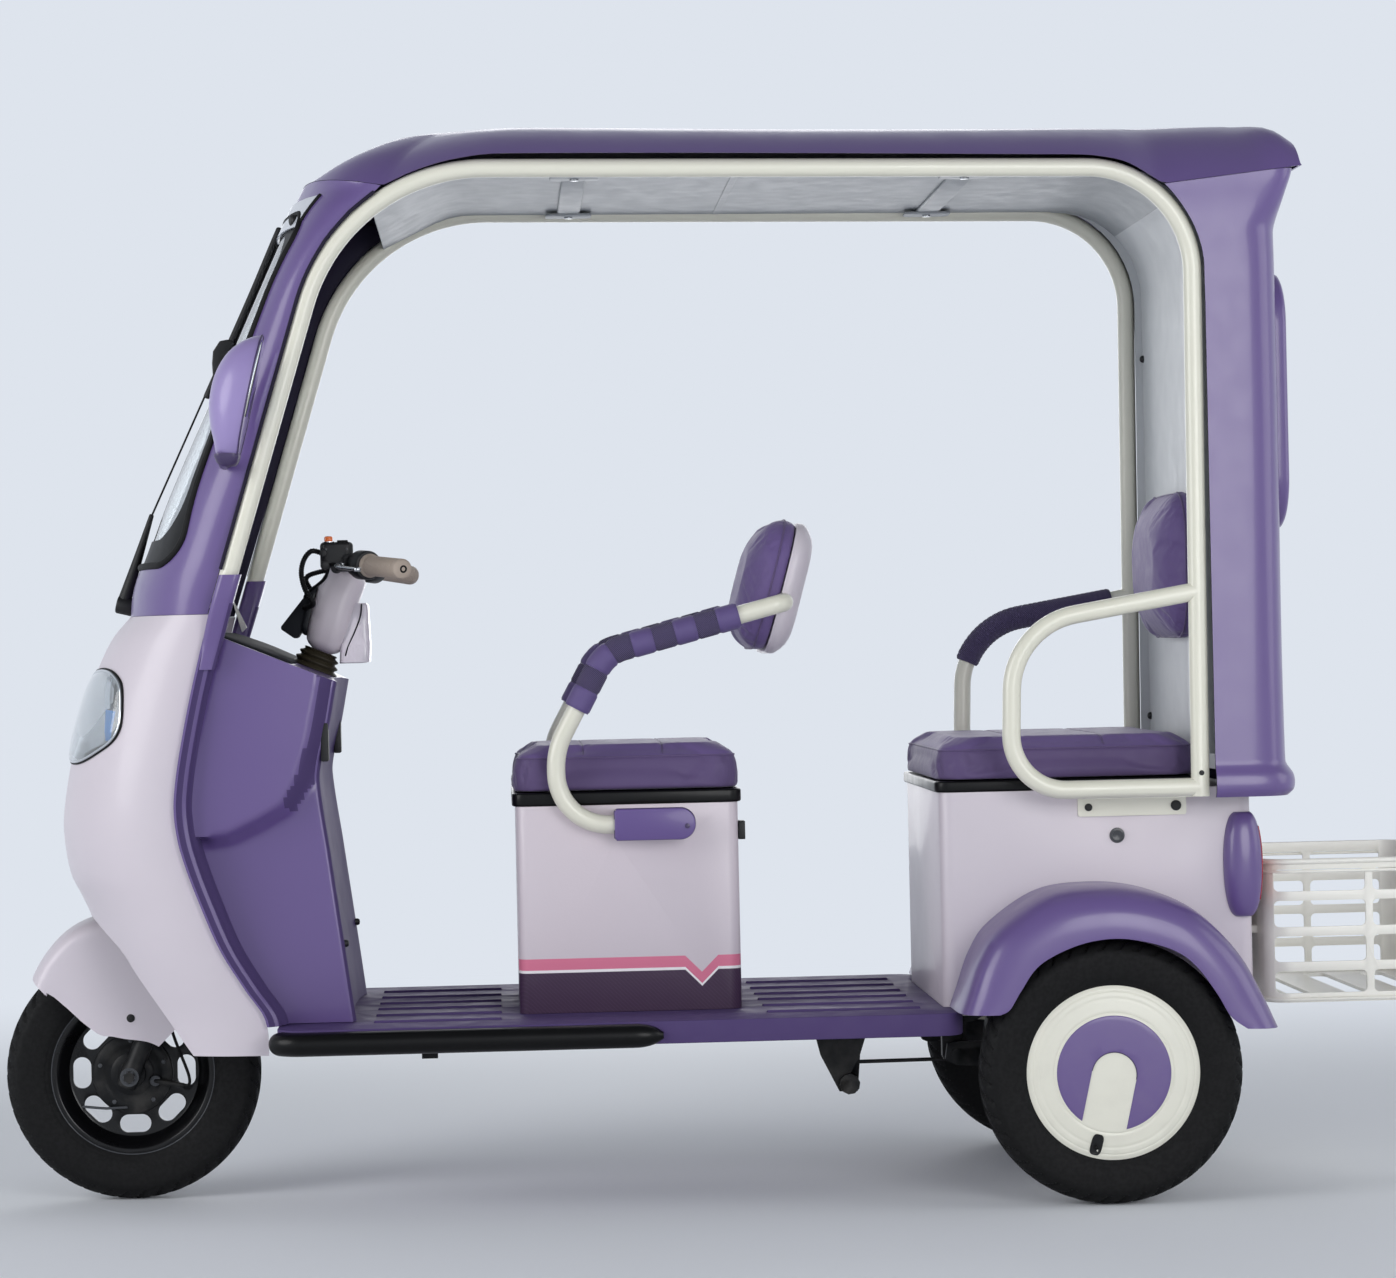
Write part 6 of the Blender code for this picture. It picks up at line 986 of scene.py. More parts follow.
def windscreen():
    """Purple surround, curved pane, rubber seal and the painted black border of the glass."""
    levels = between(NOSE_TOP + 2 * GAP, SURROUND_TOP, 60)
    surround = sheet("screen_surround", [screen_section(height, 0.0) for height in levels],
                     [screen_section(height, SURROUND_THICK) for height in levels])
    window = prism("window", window_outline(0.0), -1.3, 0.0, "X")
    above = side_prism("above", [(-1.2, seam_height(-1.2)), (-0.3, seam_height(-0.3)), (-0.3, 2.0),
                                 (-1.2, 2.0)], -0.6, 0.6)
    cut(surround, [window, above])
    dress(surround, "purple_plastic", BODY, "windscreen_surround")
    # The surround's rearward and inward faces take the near-black purple: painted shade.
    repaint_faces(surround, "inner_painted_shade", lambda face: face.normal.x > 0.3
                  or face.normal.y * face.center.y < -0.01)
    low, high, corner = WINDOW_LOW + 0.0006, WINDOW_HIGH - 0.0006, WINDOW_CORNER - 0.0006
    wide = WINDOW_HALF_WIDTH - 0.0006
    bend = [(corner * (1 - math.cos(turn)), wide - corner * (1 - math.sin(turn)))
            for turn in between(0.0, math.pi / 2, 10)]
    levels = [(low + rise, half) for rise, half in bend]
    levels += [(height, wide) for height in between(low + corner, high - corner, 26)[1:-1]]
    levels += [(high - rise, half) for rise, half in reversed(bend)]
    sides = [[[screen_point(half * math.sin(turn), height, inset)
               for turn in between(-math.pi / 2, math.pi / 2, 49)] for height, half in levels]
             for inset in (0.003, 0.003 + GLASS_THICK)]
    dress(sheet("screen_pane", *sides), "window_pane", BODY, "windscreen_glass")
    dense = resample([Vector((0, a, b)) for a, b in window_outline(0.0, 14) + window_outline(0.0, 14)[:1]],
                     260)
    middle, shrink, line = (WINDOW_LOW + WINDOW_HIGH) / 2, 0.002, []
    for point in dense:
        across = point.y * (1 - shrink / WINDOW_HALF_WIDTH)
        line.append(screen_point(across, middle + (point.z - middle) * (1 - shrink / 0.28), 0.0))
    bead("screen_seal", line, 0.0060, 12, "black_rubber", BODY)
    outer = window_outline(0.0005, 12)
    inner = rounded_outline((0.027 - WINDOW_HALF_WIDTH, WINDOW_LOW + 0.044),
                            (WINDOW_HALF_WIDTH - 0.027, WINDOW_HIGH - 0.030), 0.080, 12)
    grid_top, grid_low = [], []
    for index, (start, end) in enumerate(zip(outer, outer[1:] + outer[:1])):
        steps = max(int(math.hypot(end[0] - start[0], end[1] - start[1]) / 0.014), 1)
        for share in between(0.0, 1.0, steps + 1)[:-1]:
            a, b = (start[0] + (end[0] - start[0]) * share, start[1] + (end[1] - start[1]) * share)
            low, high = inner[index], inner[(index + 1) % len(inner)]
            c, d = low[0] + (high[0] - low[0]) * share, low[1] + (high[1] - low[1]) * share
            for grid, inset in ((grid_top, 0.0012), (grid_low, 0.0027)):
                grid.append([screen_point(a + (c - a) * t, b + (d - b) * t, inset)
                             for t in between(0.0, 1.0, 7)])
    for grid in (grid_top, grid_low):
        grid.append(list(grid[0]))
    dress(sheet("screen_border", grid_top, grid_low), "screen_black", BODY)
    rows = [[[screen_point(CAP_HALF_WIDTH * math.sin(turn), height, inset)
              for turn in between(-math.pi / 2, math.pi / 2, 45)]
             for height in between(CAP_LOW, CAP_HIGH, 7)] for inset in (-0.0050, 0.0016)]
    dress(soften(sheet("screen_top_cap", *rows), 0.001), "cap_grey", BODY)
    for name, side in SIDES:
        # A thin near-black bead in the gap between each pillar and its hoop: painted shade.
        gap_shade_line = [Vector((hoop_front_x(height) + 0.0010, side * 0.3475, height))
                for height in between(1.040, 1.632, 40)]
        dress(tube("pillar_gap_shade_" + name, gap_shade_line, 0.0030, 12, rounded=True), "inner_painted_shade", BODY)
        edge = [screen_point(side * 0.2855, height, -0.0016) for height in between(CAP_LOW, CAP_HIGH, 6)]
        dress(tube("cap_end_" + name, edge, 0.0032, 10, rounded=True), "black_rubber", BODY)
        place = screen_point(side * 0.255, 1.599, -0.003)
        ahead = screen_point(side * 0.260, 1.600, 0.0) - screen_point(side * 0.250, 1.600, 0.0)
        outward = Vector((-abs(ahead.y), side * abs(ahead.x), 0)).normalized()
        bolt = lathe("cap_bolt_" + name, [(0, -0.002), (0.0095, -0.002), (0.0095, 0.006), (0.0070, 0.0085),
                                          (0, 0.009)], place, outward, 28)
        dress(bolt, "black_plastic", BODY)


# Roof and rear shell
ROOF_CREST = [(-0.685, 1.6720), (-0.668, 1.684), (-0.640, 1.706), (-0.610, 1.724), (-0.560, 1.742),
              (-0.500, 1.752), (-0.410, 1.757), (-0.300, 1.7575), (0.150, 1.748), (0.628, 1.743),
              (0.840, 1.745), (0.880, 1.738), (0.905, 1.726), (0.9270, 1.706)]
ROOF_EDGE = [(-0.541, 1.6430), (-0.490, 1.665), (-0.430, 1.681), (-0.350, 1.6885), (0.550, 1.6730),
             (0.600, 1.6700), (0.650, 1.6580), (0.705, 1.6240)]
ROOF_HALF_WIDTH, ROOF_REAR_X, ROOF_WALL, ROOF_SIDE_X, ROOF_POWER = 0.362, 0.927, 0.0045, -0.540, 3.6
ROOF_NARROWING, SPINE_X, SPINE_FRONT_X = 0.015, -0.200, -0.370
REAR_SEAM, REAR_SEAM_SLOPE = (0.705, 1.6240), 0.115


def rear_seam_height(x):
    """Height of the plane where the rear panel ends and the roof begins."""
    return REAR_SEAM[1] + REAR_SEAM_SLOPE * (x - REAR_SEAM[0])


def roof_edge_points():
    """The roof's edge on the right side, from the rear to the middle of the front, with its spine points."""
    edge = []
    stations = between(ROOF_REAR_X, 0.58, 30) + between(0.56, -0.30, 24) + between(-0.32, ROOF_SIDE_X, 20)
    for x in stations:
        half = ROOF_HALF_WIDTH - ROOF_NARROWING * smoothstep((-0.36 - x) / 0.18)
        height = rear_seam_height(x) if x > REAR_SEAM[0] else smooth_value(ROOF_EDGE, x)
        edge.append((Vector((x, half, height + 2 * GAP)), x if x > SPINE_X else SPINE_X + (x - SPINE_X) / 2))
    for turn in between(math.radians(86), 0.0, 30):
        height = 1.66
        for _ in range(3):
            front = smooth_value(GLASS_CENTRE, height)
            x = ROOF_SIDE_X - (ROOF_SIDE_X - front) * math.cos(turn) ** (2 / GLASS_POWER)
            height = seam_height(x)
        half = ROOF_HALF_WIDTH - ROOF_NARROWING
        edge.append((Vector((x, half * power(math.sin(turn), 2 / GLASS_POWER), height + 2 * GAP)),
                     SPINE_FRONT_X - 0.05 * math.cos(turn)))
    return edge


def roof_rows(inset):
    """Rows of roof points from the left edge over the crest to the right edge."""
    rows = []
    shares = (0.0, 0.01, 0.025, 0.045, 0.07, 0.10, 0.14, 0.19, 0.26, 0.35, 0.46, 0.6, 0.78, 1.0)
    for edge, spine in roof_edge_points():
        out = Vector((edge.x - spine, edge.y, 0.0)).normalized()
        start = edge - out * inset
        crest = smooth_value(ROOF_CREST, max(edge.x, ROOF_SIDE_X))
        half = []
        for share in shares:
            x = start.x + (spine - start.x) * share
            y = start.y * (1 - share)
            near = smoothstep((0.26 - abs(y)) / 0.10)
            top = max(crest + (smooth_value(ROOF_CREST, x) - crest) * near, edge.z)
            rise = 1 - (1 - share) ** (ROOF_POWER + 4.0 * smoothstep((edge.x - 0.85) / 0.07))
            half.append(Vector((x, y, edge.z + (top - edge.z) * rise - inset * min(share / 0.05, 1.0))))
        rows.append([mirrored(point, -1) for point in half[:-1]] + half[::-1])
    return rows


def roof():
    """One-piece roof with rounded shoulders and a lip over the rear panel."""
    outer, inner = roof_rows(0.0), roof_rows(ROOF_WALL)
    for rows, wall in ((outer, 0.0), (inner, ROOF_WALL)):
        for point in rows[0]:
            point.x -= wall
        rows.insert(0, [Vector((point.x + 0.002, point.y,
                                min(point.z, rear_seam_height(point.x) + 2 * GAP))) for point in rows[0]])
    skin = dress(sheet("roof_skin", outer, inner, folded=True), "purple_plastic", BODY, "roof_shell")
    # The roof's downward-facing inside faces take the near-black purple: painted shade.
    repaint_faces(skin, "inner_painted_shade", lambda face: face.normal.z < -0.2 and abs(face.center.y) < 0.335
                  and face.center.x < 0.90)


LINER_RIB_X, BOW_BOLT_Y = (-0.235, 0.395), 0.28
LINER_FRONT_X, WALL_BOLT_Y = -0.440, 0.304
LINER_FRONT_Z, LINER_REAR_Z = HOOP_TOP_FRONT_Z - 0.004, HOOP_TOP_REAR_Z + 0.002


def liner_height(x):
    """Height of the lining under the roof."""
    return LINER_FRONT_Z + (LINER_REAR_Z - LINER_FRONT_Z) * (x - LINER_FRONT_X) / (LINER_WALL_X
            - LINER_FRONT_X)


def liner_path():
    """Side-view line of the lining."""
    corners = [(-0.560, 0, 1.610), (LINER_FRONT_X, 0, LINER_FRONT_Z), (LINER_WALL_X, 0, LINER_REAR_Z),
               (LINER_WALL_X, 0, BOX_TOP + 0.030)]
    return resample(bent_path(corners, [0.15, 0.155], 14), 90)


def roof_liner():
    """Inner lining that follows the hoops down behind the rear seat, with its bows, joints and bolts."""
    path = liner_path()
    half = HOOP_Y - HOOP_RADIUS - 0.0012
    upper, lower = [], []
    for index, point in enumerate(path):
        ahead = (path[min(index + 1, len(path) - 1)] - path[max(index - 1, 0)]).normalized()
        outward = Vector((-ahead.z, 0, ahead.x))
        for row, offset in ((upper, 0.002), (lower, -0.002)):
            row.append([point + outward * offset + Vector((0, half * share, 0))
                        for share in between(-1, 1, 13)])
    lining = dress(sheet("roof_lining_sheet", upper, lower), "roof_lining", BODY, "roof_liner")
    # The lining's wall faces take the lighter grey copy, so they look lit: painted light.
    repaint_faces(lining, "lining_painted_light", lambda face: abs(face.normal.x) > 0.7)
    hoop_line = resample([Vector((x, 0, z)) for x, z in HOOP_LINE], 700)
    for name, side in SIDES:
        edge_rows = ([], [])
        for before, point, after in zip(path, path[1:], path[2:]):
            if point.x < 0.62:
                continue
            ahead = (after - before).normalized()
            inward = Vector((ahead.z, 0, -ahead.x))
            clear = min((point - place).length for place in hoop_line) - HOOP_RADIUS
            for row, y in zip(edge_rows, (half, half - 0.0016)):
                row.append([point + Vector((0, side * y, 0)),
                            point + inward * max(clear + 0.0015, 0.003) + Vector((0, side * y, 0))])
        # The edge strips take the lighter lining copy: painted light.
        dress(sheet("lining_edge_" + name, *edge_rows), "lining_painted_light", BODY)
    reach = HOOP_Y - HOOP_RADIUS - GAP
    for index, x in enumerate(LINER_RIB_X):
        z = liner_height(x)
        bow = soften(block("roof_bow_%d" % index, (x - 0.020, -reach, z - 0.0075), (x + 0.020, reach, z),
                           0.0035, "Y"), 0.0012)
        dress(bow, "roof_lining", BODY)
        for name, side in SIDES:
            y = side * BOW_BOLT_Y
            pad = block("bow_pad_%d_%s" % (index, name), (x - 0.040, y - 0.028, z - 0.0105),
                        (x + 0.040, y + 0.028, z - 0.0065), 0.012)
            dress(soften(pad, 0.0012), "roof_lining", BODY)
            bolt = disc("bow_bolt_%d_%s" % (index, name), (x, y, z - 0.0115), 0.0075, 0.002, (0, 0, 1), 24,
                        0.0008)
            dress(bolt, "steel", BODY)
    for index, x in enumerate((-0.43, 0.025)):
        z = liner_height(x)
        strip = block("lining_joint_%d" % index, (x - 0.006, -half + 0.01, z - 0.0034),
                      (x + 0.006, half - 0.01, z - 0.0016), 0.0008, "Y")
        dress(strip, "roof_lining", BODY)
    for index, height in enumerate((1.390, 1.091, 0.759)):
        for name, side in SIDES:
            bolt = lathe("wall_bolt_%d_%s" % (index, name),
                         [(0, 0.0012), (0.0065, 0.0012), (0.0065, 0.004), (0.0052, 0.0068),
                          (0.0030, 0.0084), (0, 0.0088)], (LINER_WALL_X, side * WALL_BOLT_Y, height),
                         (-1, 0, 0), 28)
            dress(bolt, "black_plastic", BODY)


PANEL_WALL, PANEL_TOP, PANEL_BOTTOM, PANEL_REAR_X = 0.005, 1.665, 0.640, 0.904
PANEL_REAR = [(PANEL_BOTTOM, 0.908), (0.650, 0.917), (0.672, 0.917), (0.696, PANEL_REAR_X),
              (1.300, PANEL_REAR_X), (1.500, 0.903), (1.570, 0.904), (1.610, 0.911), (1.640, 0.920),
              (PANEL_TOP, 0.9255)]
PANEL_WIDTH = [(PANEL_BOTTOM, 0.352), (0.650, 0.360), (0.672, 0.360), (0.696, 0.352), (1.570, 0.352),
               (1.640, 0.3605), (PANEL_TOP, 0.3615)]
REAR_WINDOW = (0.225, 1.108, 1.458, 0.050)


def panel_section(height, inset):
    """One level of the rear panel, open to the front along the hoops."""
    rear = smooth_value(PANEL_REAR, height) - inset
    half = smooth_value(PANEL_WIDTH, height) - inset
    front = HOOP_REAR_X + HOOP_RADIUS
    over = height - (HOOP_TOP_REAR_Z - HOOP_REAR_BEND)
    if over > 0:
        outside = HOOP_REAR_BEND + HOOP_RADIUS
        front -= outside - math.sqrt(outside ** 2 - over ** 2)
    front += PILLAR_CLEAR
    exponent = 6.0 + 12.0 * smoothstep((height - 1.55) / 0.09)
    return [Vector((rear - point.x, point.y, height))
            for point in u_section(0.0, rear - front, half, height, exponent)]


def rear_window_outline(shrink):
    """The rear window's outline as (across, height) pairs."""
    half, low, high, corner = REAR_WINDOW
    return rounded_outline((-half + shrink, low + shrink), (half - shrink, high - shrink), corner - shrink,
                           10)


def rear_panel():
    """Deep shell behind the rear seat with a window in a raised frame."""
    heights = between(PANEL_BOTTOM, 0.72, 22) + between(0.74, 1.50, 12) + between(1.515, PANEL_TOP, 26)
    panel = sheet("rear_skin", [panel_section(height, 0.0) for height in heights],
                  [panel_section(height, PANEL_WALL) for height in heights])
    rings = []
    for x, shrink in ((PANEL_REAR_X - PANEL_WALL + 0.0005, -0.036), (PANEL_REAR_X + 0.008, -0.036),
                      (PANEL_REAR_X + 0.013, -0.0335), (PANEL_REAR_X + 0.016, -0.028),
                      (PANEL_REAR_X + 0.016, 0.02)):
        rings.append([Vector((x, a, b)) for a, b in rear_window_outline(shrink)])
    combine(panel, [loft("frame", rings)])
    above = side_prism("above", [(0.5, rear_seam_height(0.5)), (1.1, rear_seam_height(1.1)), (1.1, 2.0),
                                 (0.5, 2.0)], -0.6, 0.6)
    opening = prism("opening", rear_window_outline(0.0), PANEL_REAR_X - 0.05, PANEL_REAR_X + 0.05, "X")
    dress(cut(panel, [opening, above]), "purple_plastic", BODY, "rear_panel")
    # The panel's forward and inward faces take the near-black purple: painted shade.
    repaint_faces(panel, "inner_painted_shade", lambda face: face.normal.x < -0.3
                  or face.normal.y * face.center.y < -0.01)
    pane = prism("rear_pane", rear_window_outline(0.0006), PANEL_REAR_X - 0.001, PANEL_REAR_X + GLASS_THICK,
                 "X")
    dress(soften(pane, 0.0006), "window_pane", BODY, "rear_window")
    line = [Vector((PANEL_REAR_X + 0.0045, a, b)) for a, b in rear_window_outline(0.003)]
    bead("rear_pane_seal", line + line[:1], 0.0035, 10, "black_rubber", BODY)


BRACKET_X = (0.560, 0.737)
LOOP_TOP, LOOP_FRONT, LOOP_BENDS = (HOOP_REAR_X - 0.002, 0.972), (0.450, 0.921), (0.125, 0.088)
LOOP_LOW = (0.442, REAR_POST_FOOT_Z)


def hoops():
    """Cream hoops with their arm loops, brackets, screws and black bracket holes."""
    for name, side in SIDES:
        y = side * HOOP_Y
        start = hoop_post_point(0.990)
        hoop = tube("hoop_" + name, [(start[0], y, start[1])]
                    + [(x, y, z) for x, z in hoop_path(30) if z > 0.995 or x > 0], HOOP_RADIUS, 36)
        corners = [(x, y, z) for x, z in (LOOP_TOP, LOOP_FRONT, LOOP_LOW,
                                          (HOOP_REAR_X - 0.006, REAR_POST_FOOT_Z))]
        loop = tube("loop_" + name, bent_path(corners, LOOP_BENDS, 20), HOOP_RADIUS, 36)
        under, inner = REAR_POST_FOOT_Z - HOOP_RADIUS, BOX_HALF_WIDTH + GAP
        front, rear = BRACKET_X
        low, high = sorted((side * inner, y))
        shelf = block("shelf", (front, low, under - 0.001), (rear, high, under + 0.003))
        low, high = sorted((side * inner, side * (inner + 0.004)))
        plate = block("plate", (front, low, under - 0.032), (rear, high, under + 0.002), 0.004, "Y")
        combine(hoop, [loop, shelf, plate])
        dress(hoop, "cream_steel", BODY, "canopy_hoop_" + name)
        for index, (x, radius) in enumerate(((0.577, 0.0062), (0.720, 0.0085))):
            bolt = disc("bracket_bolt_%d_%s" % (index, name), (x, side * (inner + 0.0055), under - 0.017),
                        radius, 0.0022, (0, 1, 0), 24, 0.001)
            dress(bolt, "black_plastic", BODY)
        lock = lathe("box_lock_" + name, [(0, -0.001), (0.0115, -0.001), (0.0125, 0.001), (0.0115, 0.004),
                                          (0.0085, 0.0045), (0.008, 0.0028), (0.003, 0.0026),
                                          (0.0, 0.0012)], (0.6235, side * (BOX_HALF_WIDTH + 0.0003),
                                                           0.5785), (0, side, 0), 40)
        dress(lock, "steel_dark", BODY)
        stud = disc("post_screw_" + name, (HOOP_REAR_X - 0.006, side * (HOOP_Y + HOOP_RADIUS - 0.0002),
                                           0.680), 0.0042, 0.0018, (0, 1, 0), 20)
        dress(stud, "black_plastic", BODY)


# Wheels
LUGS, TREAD_HALF_WIDTH, RIM_SLOTS = 44, 0.036, 8


def tread(radius, along, turn):
    """Tyre radius with V-shaped lugs and a raised ring on the wall."""
    if radius < 0.16:
        return radius
    share = abs(along) / TREAD_HALF_WIDTH
    if share < 1.0:
        lean = (turn * LUGS / (2 * math.pi) + share * 1.15) % 1.0
        groove = smoothstep((0.17 - abs(lean - 0.5)) / 0.06)
        middle = smoothstep((0.085 - abs(share - 0.12)) / 0.04)
        fade = smoothstep((share - 0.02) / 0.05) * smoothstep((1.0 - share) / 0.06)
        return radius - 0.0042 * max(groove * fade, middle * 0.6)
    return radius


def tyre(name, centre, body):
    """A tyre with lugs, ribbed shoulders and bead rings."""
    foot = RIM_SEAT + GAP
    wall = spline([(foot, 0.0240, 0), (0.138, 0.0312, 0), (0.150, 0.0362, 0), (0.1633, 0.0388, 0),
                   (0.178, 0.0397, 0), (0.190, 0.0385, 0), (0.200, 0.0320, 0), (0.2069, 0.0224, 0),
                   (0.2100, 0.0110, 0), (TYRE_RADIUS - 0.0002, 0, 0)], 7)
    half = [(point.x, point.y) for point in resample(wall, 62)]
    half = [(radius + (0.0009 if 0.1425 < radius < 0.1455 or 0.169 < radius < 0.171 else 0.0), along)
            for radius, along in half]
    profile = [(radius, -along) for radius, along in half] + [(radius, along) for radius,
                                                              along in half[-2::-1]]
    profile += [(foot, 0.017), (0.160, 0.030), (0.190, 0.026), (0.202, 0.0), (0.190, -0.026),
                (0.160, -0.030), (foot, -0.017)]
    made = lathe(name + "_lugged", profile, centre, steps=352, shape=tread, round_edges=34.0)
    return dress(made, "tyre_rubber", body, name)


def rim_outside(half):
    """The tyre side of a rim, from one flange to the other."""
    seat, well = RIM_SEAT, RIM_SEAT - RIM_WELL
    side = [(RIM_RADIUS - 0.0015, half), (RIM_RADIUS, half - 0.0008), (RIM_RADIUS - 0.0012, half - 0.0018),
            (seat, half - 0.0029), (well, 0.008)]
    return [(radius, -along) for radius, along in side] + [(radius, along) for radius,
                                                           along in reversed(side)]


def front_wheel():
    """Front tyre, slotted black rim with a bright lip, and a valve."""
    tyre("front_tyre", FRONT_AXLE, "front_wheel")
    half, bore, hub = RIM_HALF_WIDTH, 0.0075, 0.030
    inner, web = RIM_INNER, RIM_INNER - 0.006
    right = [(RIM_RADIUS - 0.010, half), (RIM_RADIUS - 0.0125, half - 0.0012), (inner + 0.002, 0.012),
             (web + 0.001, 0.0042), (web - 0.003, 0.003), (hub + 0.008, 0.003), (hub + 0.003, 0.005),
             (hub, 0.012), (hub - 0.0004, 0.0255), (hub - 0.003, 0.028), (bore, 0.028)]
    profile = rim_outside(half) + right + [(radius, -along) for radius, along in reversed(right)]
    rim = lathe("front_rim_slotted", profile, FRONT_AXLE, steps=128)
    slots = []
    for index in range(RIM_SLOTS):
        slot = block("slot", (-0.015, -0.02, -0.026), (0.015, 0.02, 0.026), 0.0149, "Y", 10)
        turn = Matrix.Rotation(2 * math.pi * index / RIM_SLOTS, 4, "Y")
        slot.data.transform(Matrix.Translation(FRONT_AXLE) @ turn @ Matrix.Translation((0.0865, 0, 0)))
        slots.append(slot)
    dress(soften(cut(rim, slots), 0.0007), "rim_black", "front_wheel", "front_rim")
    for name, side in SIDES:
        lip = lathe("front_rim_lip_" + name, [(0.1352 + 0.0016 * math.cos(turn),
                                               side * 0.0282 + 0.0013 * math.sin(turn))
                                              for turn in between(0, 2 * math.pi, 13)[:-1]], FRONT_AXLE,
                    steps=128)
        dress(lip, "steel_dark", "front_wheel")
    stem = [FRONT_AXLE + Vector((math.sin(0.2) * out, -0.008 - 0.006 * (0.125 - out) / 0.03,
                                 math.cos(0.2) * out)) for out in (0.113, 0.105, 0.092)]
    dress(tube("front_valve", stem, lambda share: 0.0042 - 0.0012 * share, 14, rounded=True),
          "black_rubber", "front_wheel")


def front_axle():
    """Spindle with nuts and the fixed brake plate with its bolts, arm and cable."""
    leg_inner, leg_outer = FORK_LEG_Y - SLIDER_RADIUS - GAP, FORK_LEG_Y + SLIDER_RADIUS + GAP
    inner, outer = -0.0295, -0.0385
    profile = [(0, -leg_outer - 0.008), (0.0085, -leg_outer - 0.008), (0.010, -leg_outer - 0.0066),
               (0.010, -leg_outer), (0.006, -leg_outer), (0.006, -leg_inner), (0.010, -leg_inner),
               (0.010, outer - 0.004), (0.021, outer - 0.0035), (0.023, outer - 0.001),
               (0.034, outer - 0.0005), (0.036, outer + 0.0012), (0.046, outer + 0.0012), (0.048, outer),
               (0.060, outer), (0.0625, outer + 0.0015), (0.0655, outer + 0.002), (0.067, outer + 0.004),
               (0.067, inner), (0.006, inner), (0.006, 0.0283), (0.010, 0.0283), (0.010, leg_inner),
               (0.006, leg_inner), (0.006, leg_outer), (0.010, leg_outer), (0.010, leg_outer + 0.0066),
               (0.0085, leg_outer + 0.008), (0, leg_outer + 0.008)]
    dress(lathe("front_axle_turned", profile, FRONT_AXLE, steps=72), "black_steel", "fork", "front_axle")
    for name, side in SIDES:
        hexagon = lathe("axle_nut_" + name, [(0.0065, leg_outer), (0.0105, leg_outer),
                                             (0.0112, leg_outer + 0.001), (0.0112, leg_outer + 0.0065),
                                             (0.0100, leg_outer + 0.0078), (0.0065, leg_outer + 0.0078)],
                        FRONT_AXLE, (0, side, 0), 6, 20.0)
        dress(hexagon, "steel_dark", "fork")
        washer = lathe("axle_washer_" + name, [(0.0066, leg_outer), (0.0155, leg_outer),
                                               (0.0155, leg_outer + 0.0014), (0.0066, leg_outer + 0.0014)],
                       FRONT_AXLE, (0, side, 0), 40)
        dress(washer, "steel_dark", "fork")
    for index in range(5):
        turn = math.radians(20 + 72 * index)
        place = FRONT_AXLE + Vector((math.cos(turn) * 0.055, outer - 0.0008, math.sin(turn) * 0.055))
        dress(disc("brake_plate_bolt_%d" % index, place, 0.0038, 0.0018, (0, 1, 0), 6, 0.0006),
              "steel_dark", "fork")
    root = FRONT_AXLE + Vector((0.038, outer - 0.004, -0.012))
    tip = FRONT_AXLE + Vector((0.085, outer - 0.012, -0.020))
    dress(tube("brake_arm", [root, root.lerp(tip, 0.5), tip], lambda share: 0.0055 - 0.0018 * share, 16,
               rounded=True), "black_steel", "fork")
    dress(disc("brake_arm_boss", root, 0.009, 0.0045, (0, 1, 0), 28, 0.0012), "steel_dark", "fork")
    line = spline([tip, tip + Vector((0.010, -0.006, 0.014)), fork_frame(0.020, -FORK_LEG_Y + 0.012, 0.120),
                   fork_frame(0.024, -FORK_LEG_Y + 0.014, 0.215)], 16)
    dress(tube("brake_cable", line, 0.0026, 12, rounded=True), "black_rubber", "fork")
    stay = [FRONT_AXLE + Vector((x, outer - 0.003, z)) for x,
            z in ((-0.082, -0.052), (-0.045, -0.056), (-0.010, -0.055))]
    dress(tube("brake_stay", stay, 0.0022, 10, rounded=True), "steel_dark", "fork")


def fork_sliders():
    """Lower fork legs with a dust seal and a lug at the axle."""
    for name, side in SIDES:
        profile = [(0, -0.020), (0.0135, -0.020), (0.0160, -0.0178), (SLIDER_RADIUS, -0.014),
                   (SLIDER_RADIUS, 0.020), (0.0158, 0.023), (0.0155, 0.200), (SLIDER_RADIUS, 0.206),
                   (SLIDER_RADIUS, 0.2335), (0.0155, 0.235), (0.0124, 0.235), (0.0124, 0.038), (0, 0.038)]
        leg = lathe("fork_leg_" + name, profile, fork_frame(0, side * FORK_LEG_Y, 0), RAKE_UP, 48)
        hole = disc("hole", fork_frame(0, side * FORK_LEG_Y, 0), 0.0063, 0.05, (0, 1, 0), 24)
        dress(cut(leg, [hole]), "black_steel", "fork", "fork_slider_" + name)


FENDER_WALL = 0.0025
FENDER_HALF_WIDTH = FORK_LEG_Y + SLIDER_RADIUS + 0.0015 + FENDER_WALL
FENDER_ROWS = [(-44, 0.231, 0.222), (-41, 0.236, 0.170), (-39, 0.239, 0.122), (-34, 0.247, 0.088),
               (-21, 0.264, 0.073), (-5, 0.268, 0.064), (12, 0.262, 0.0625), (30, 0.252, 0.066),
               (45, 0.244, 0.070)]


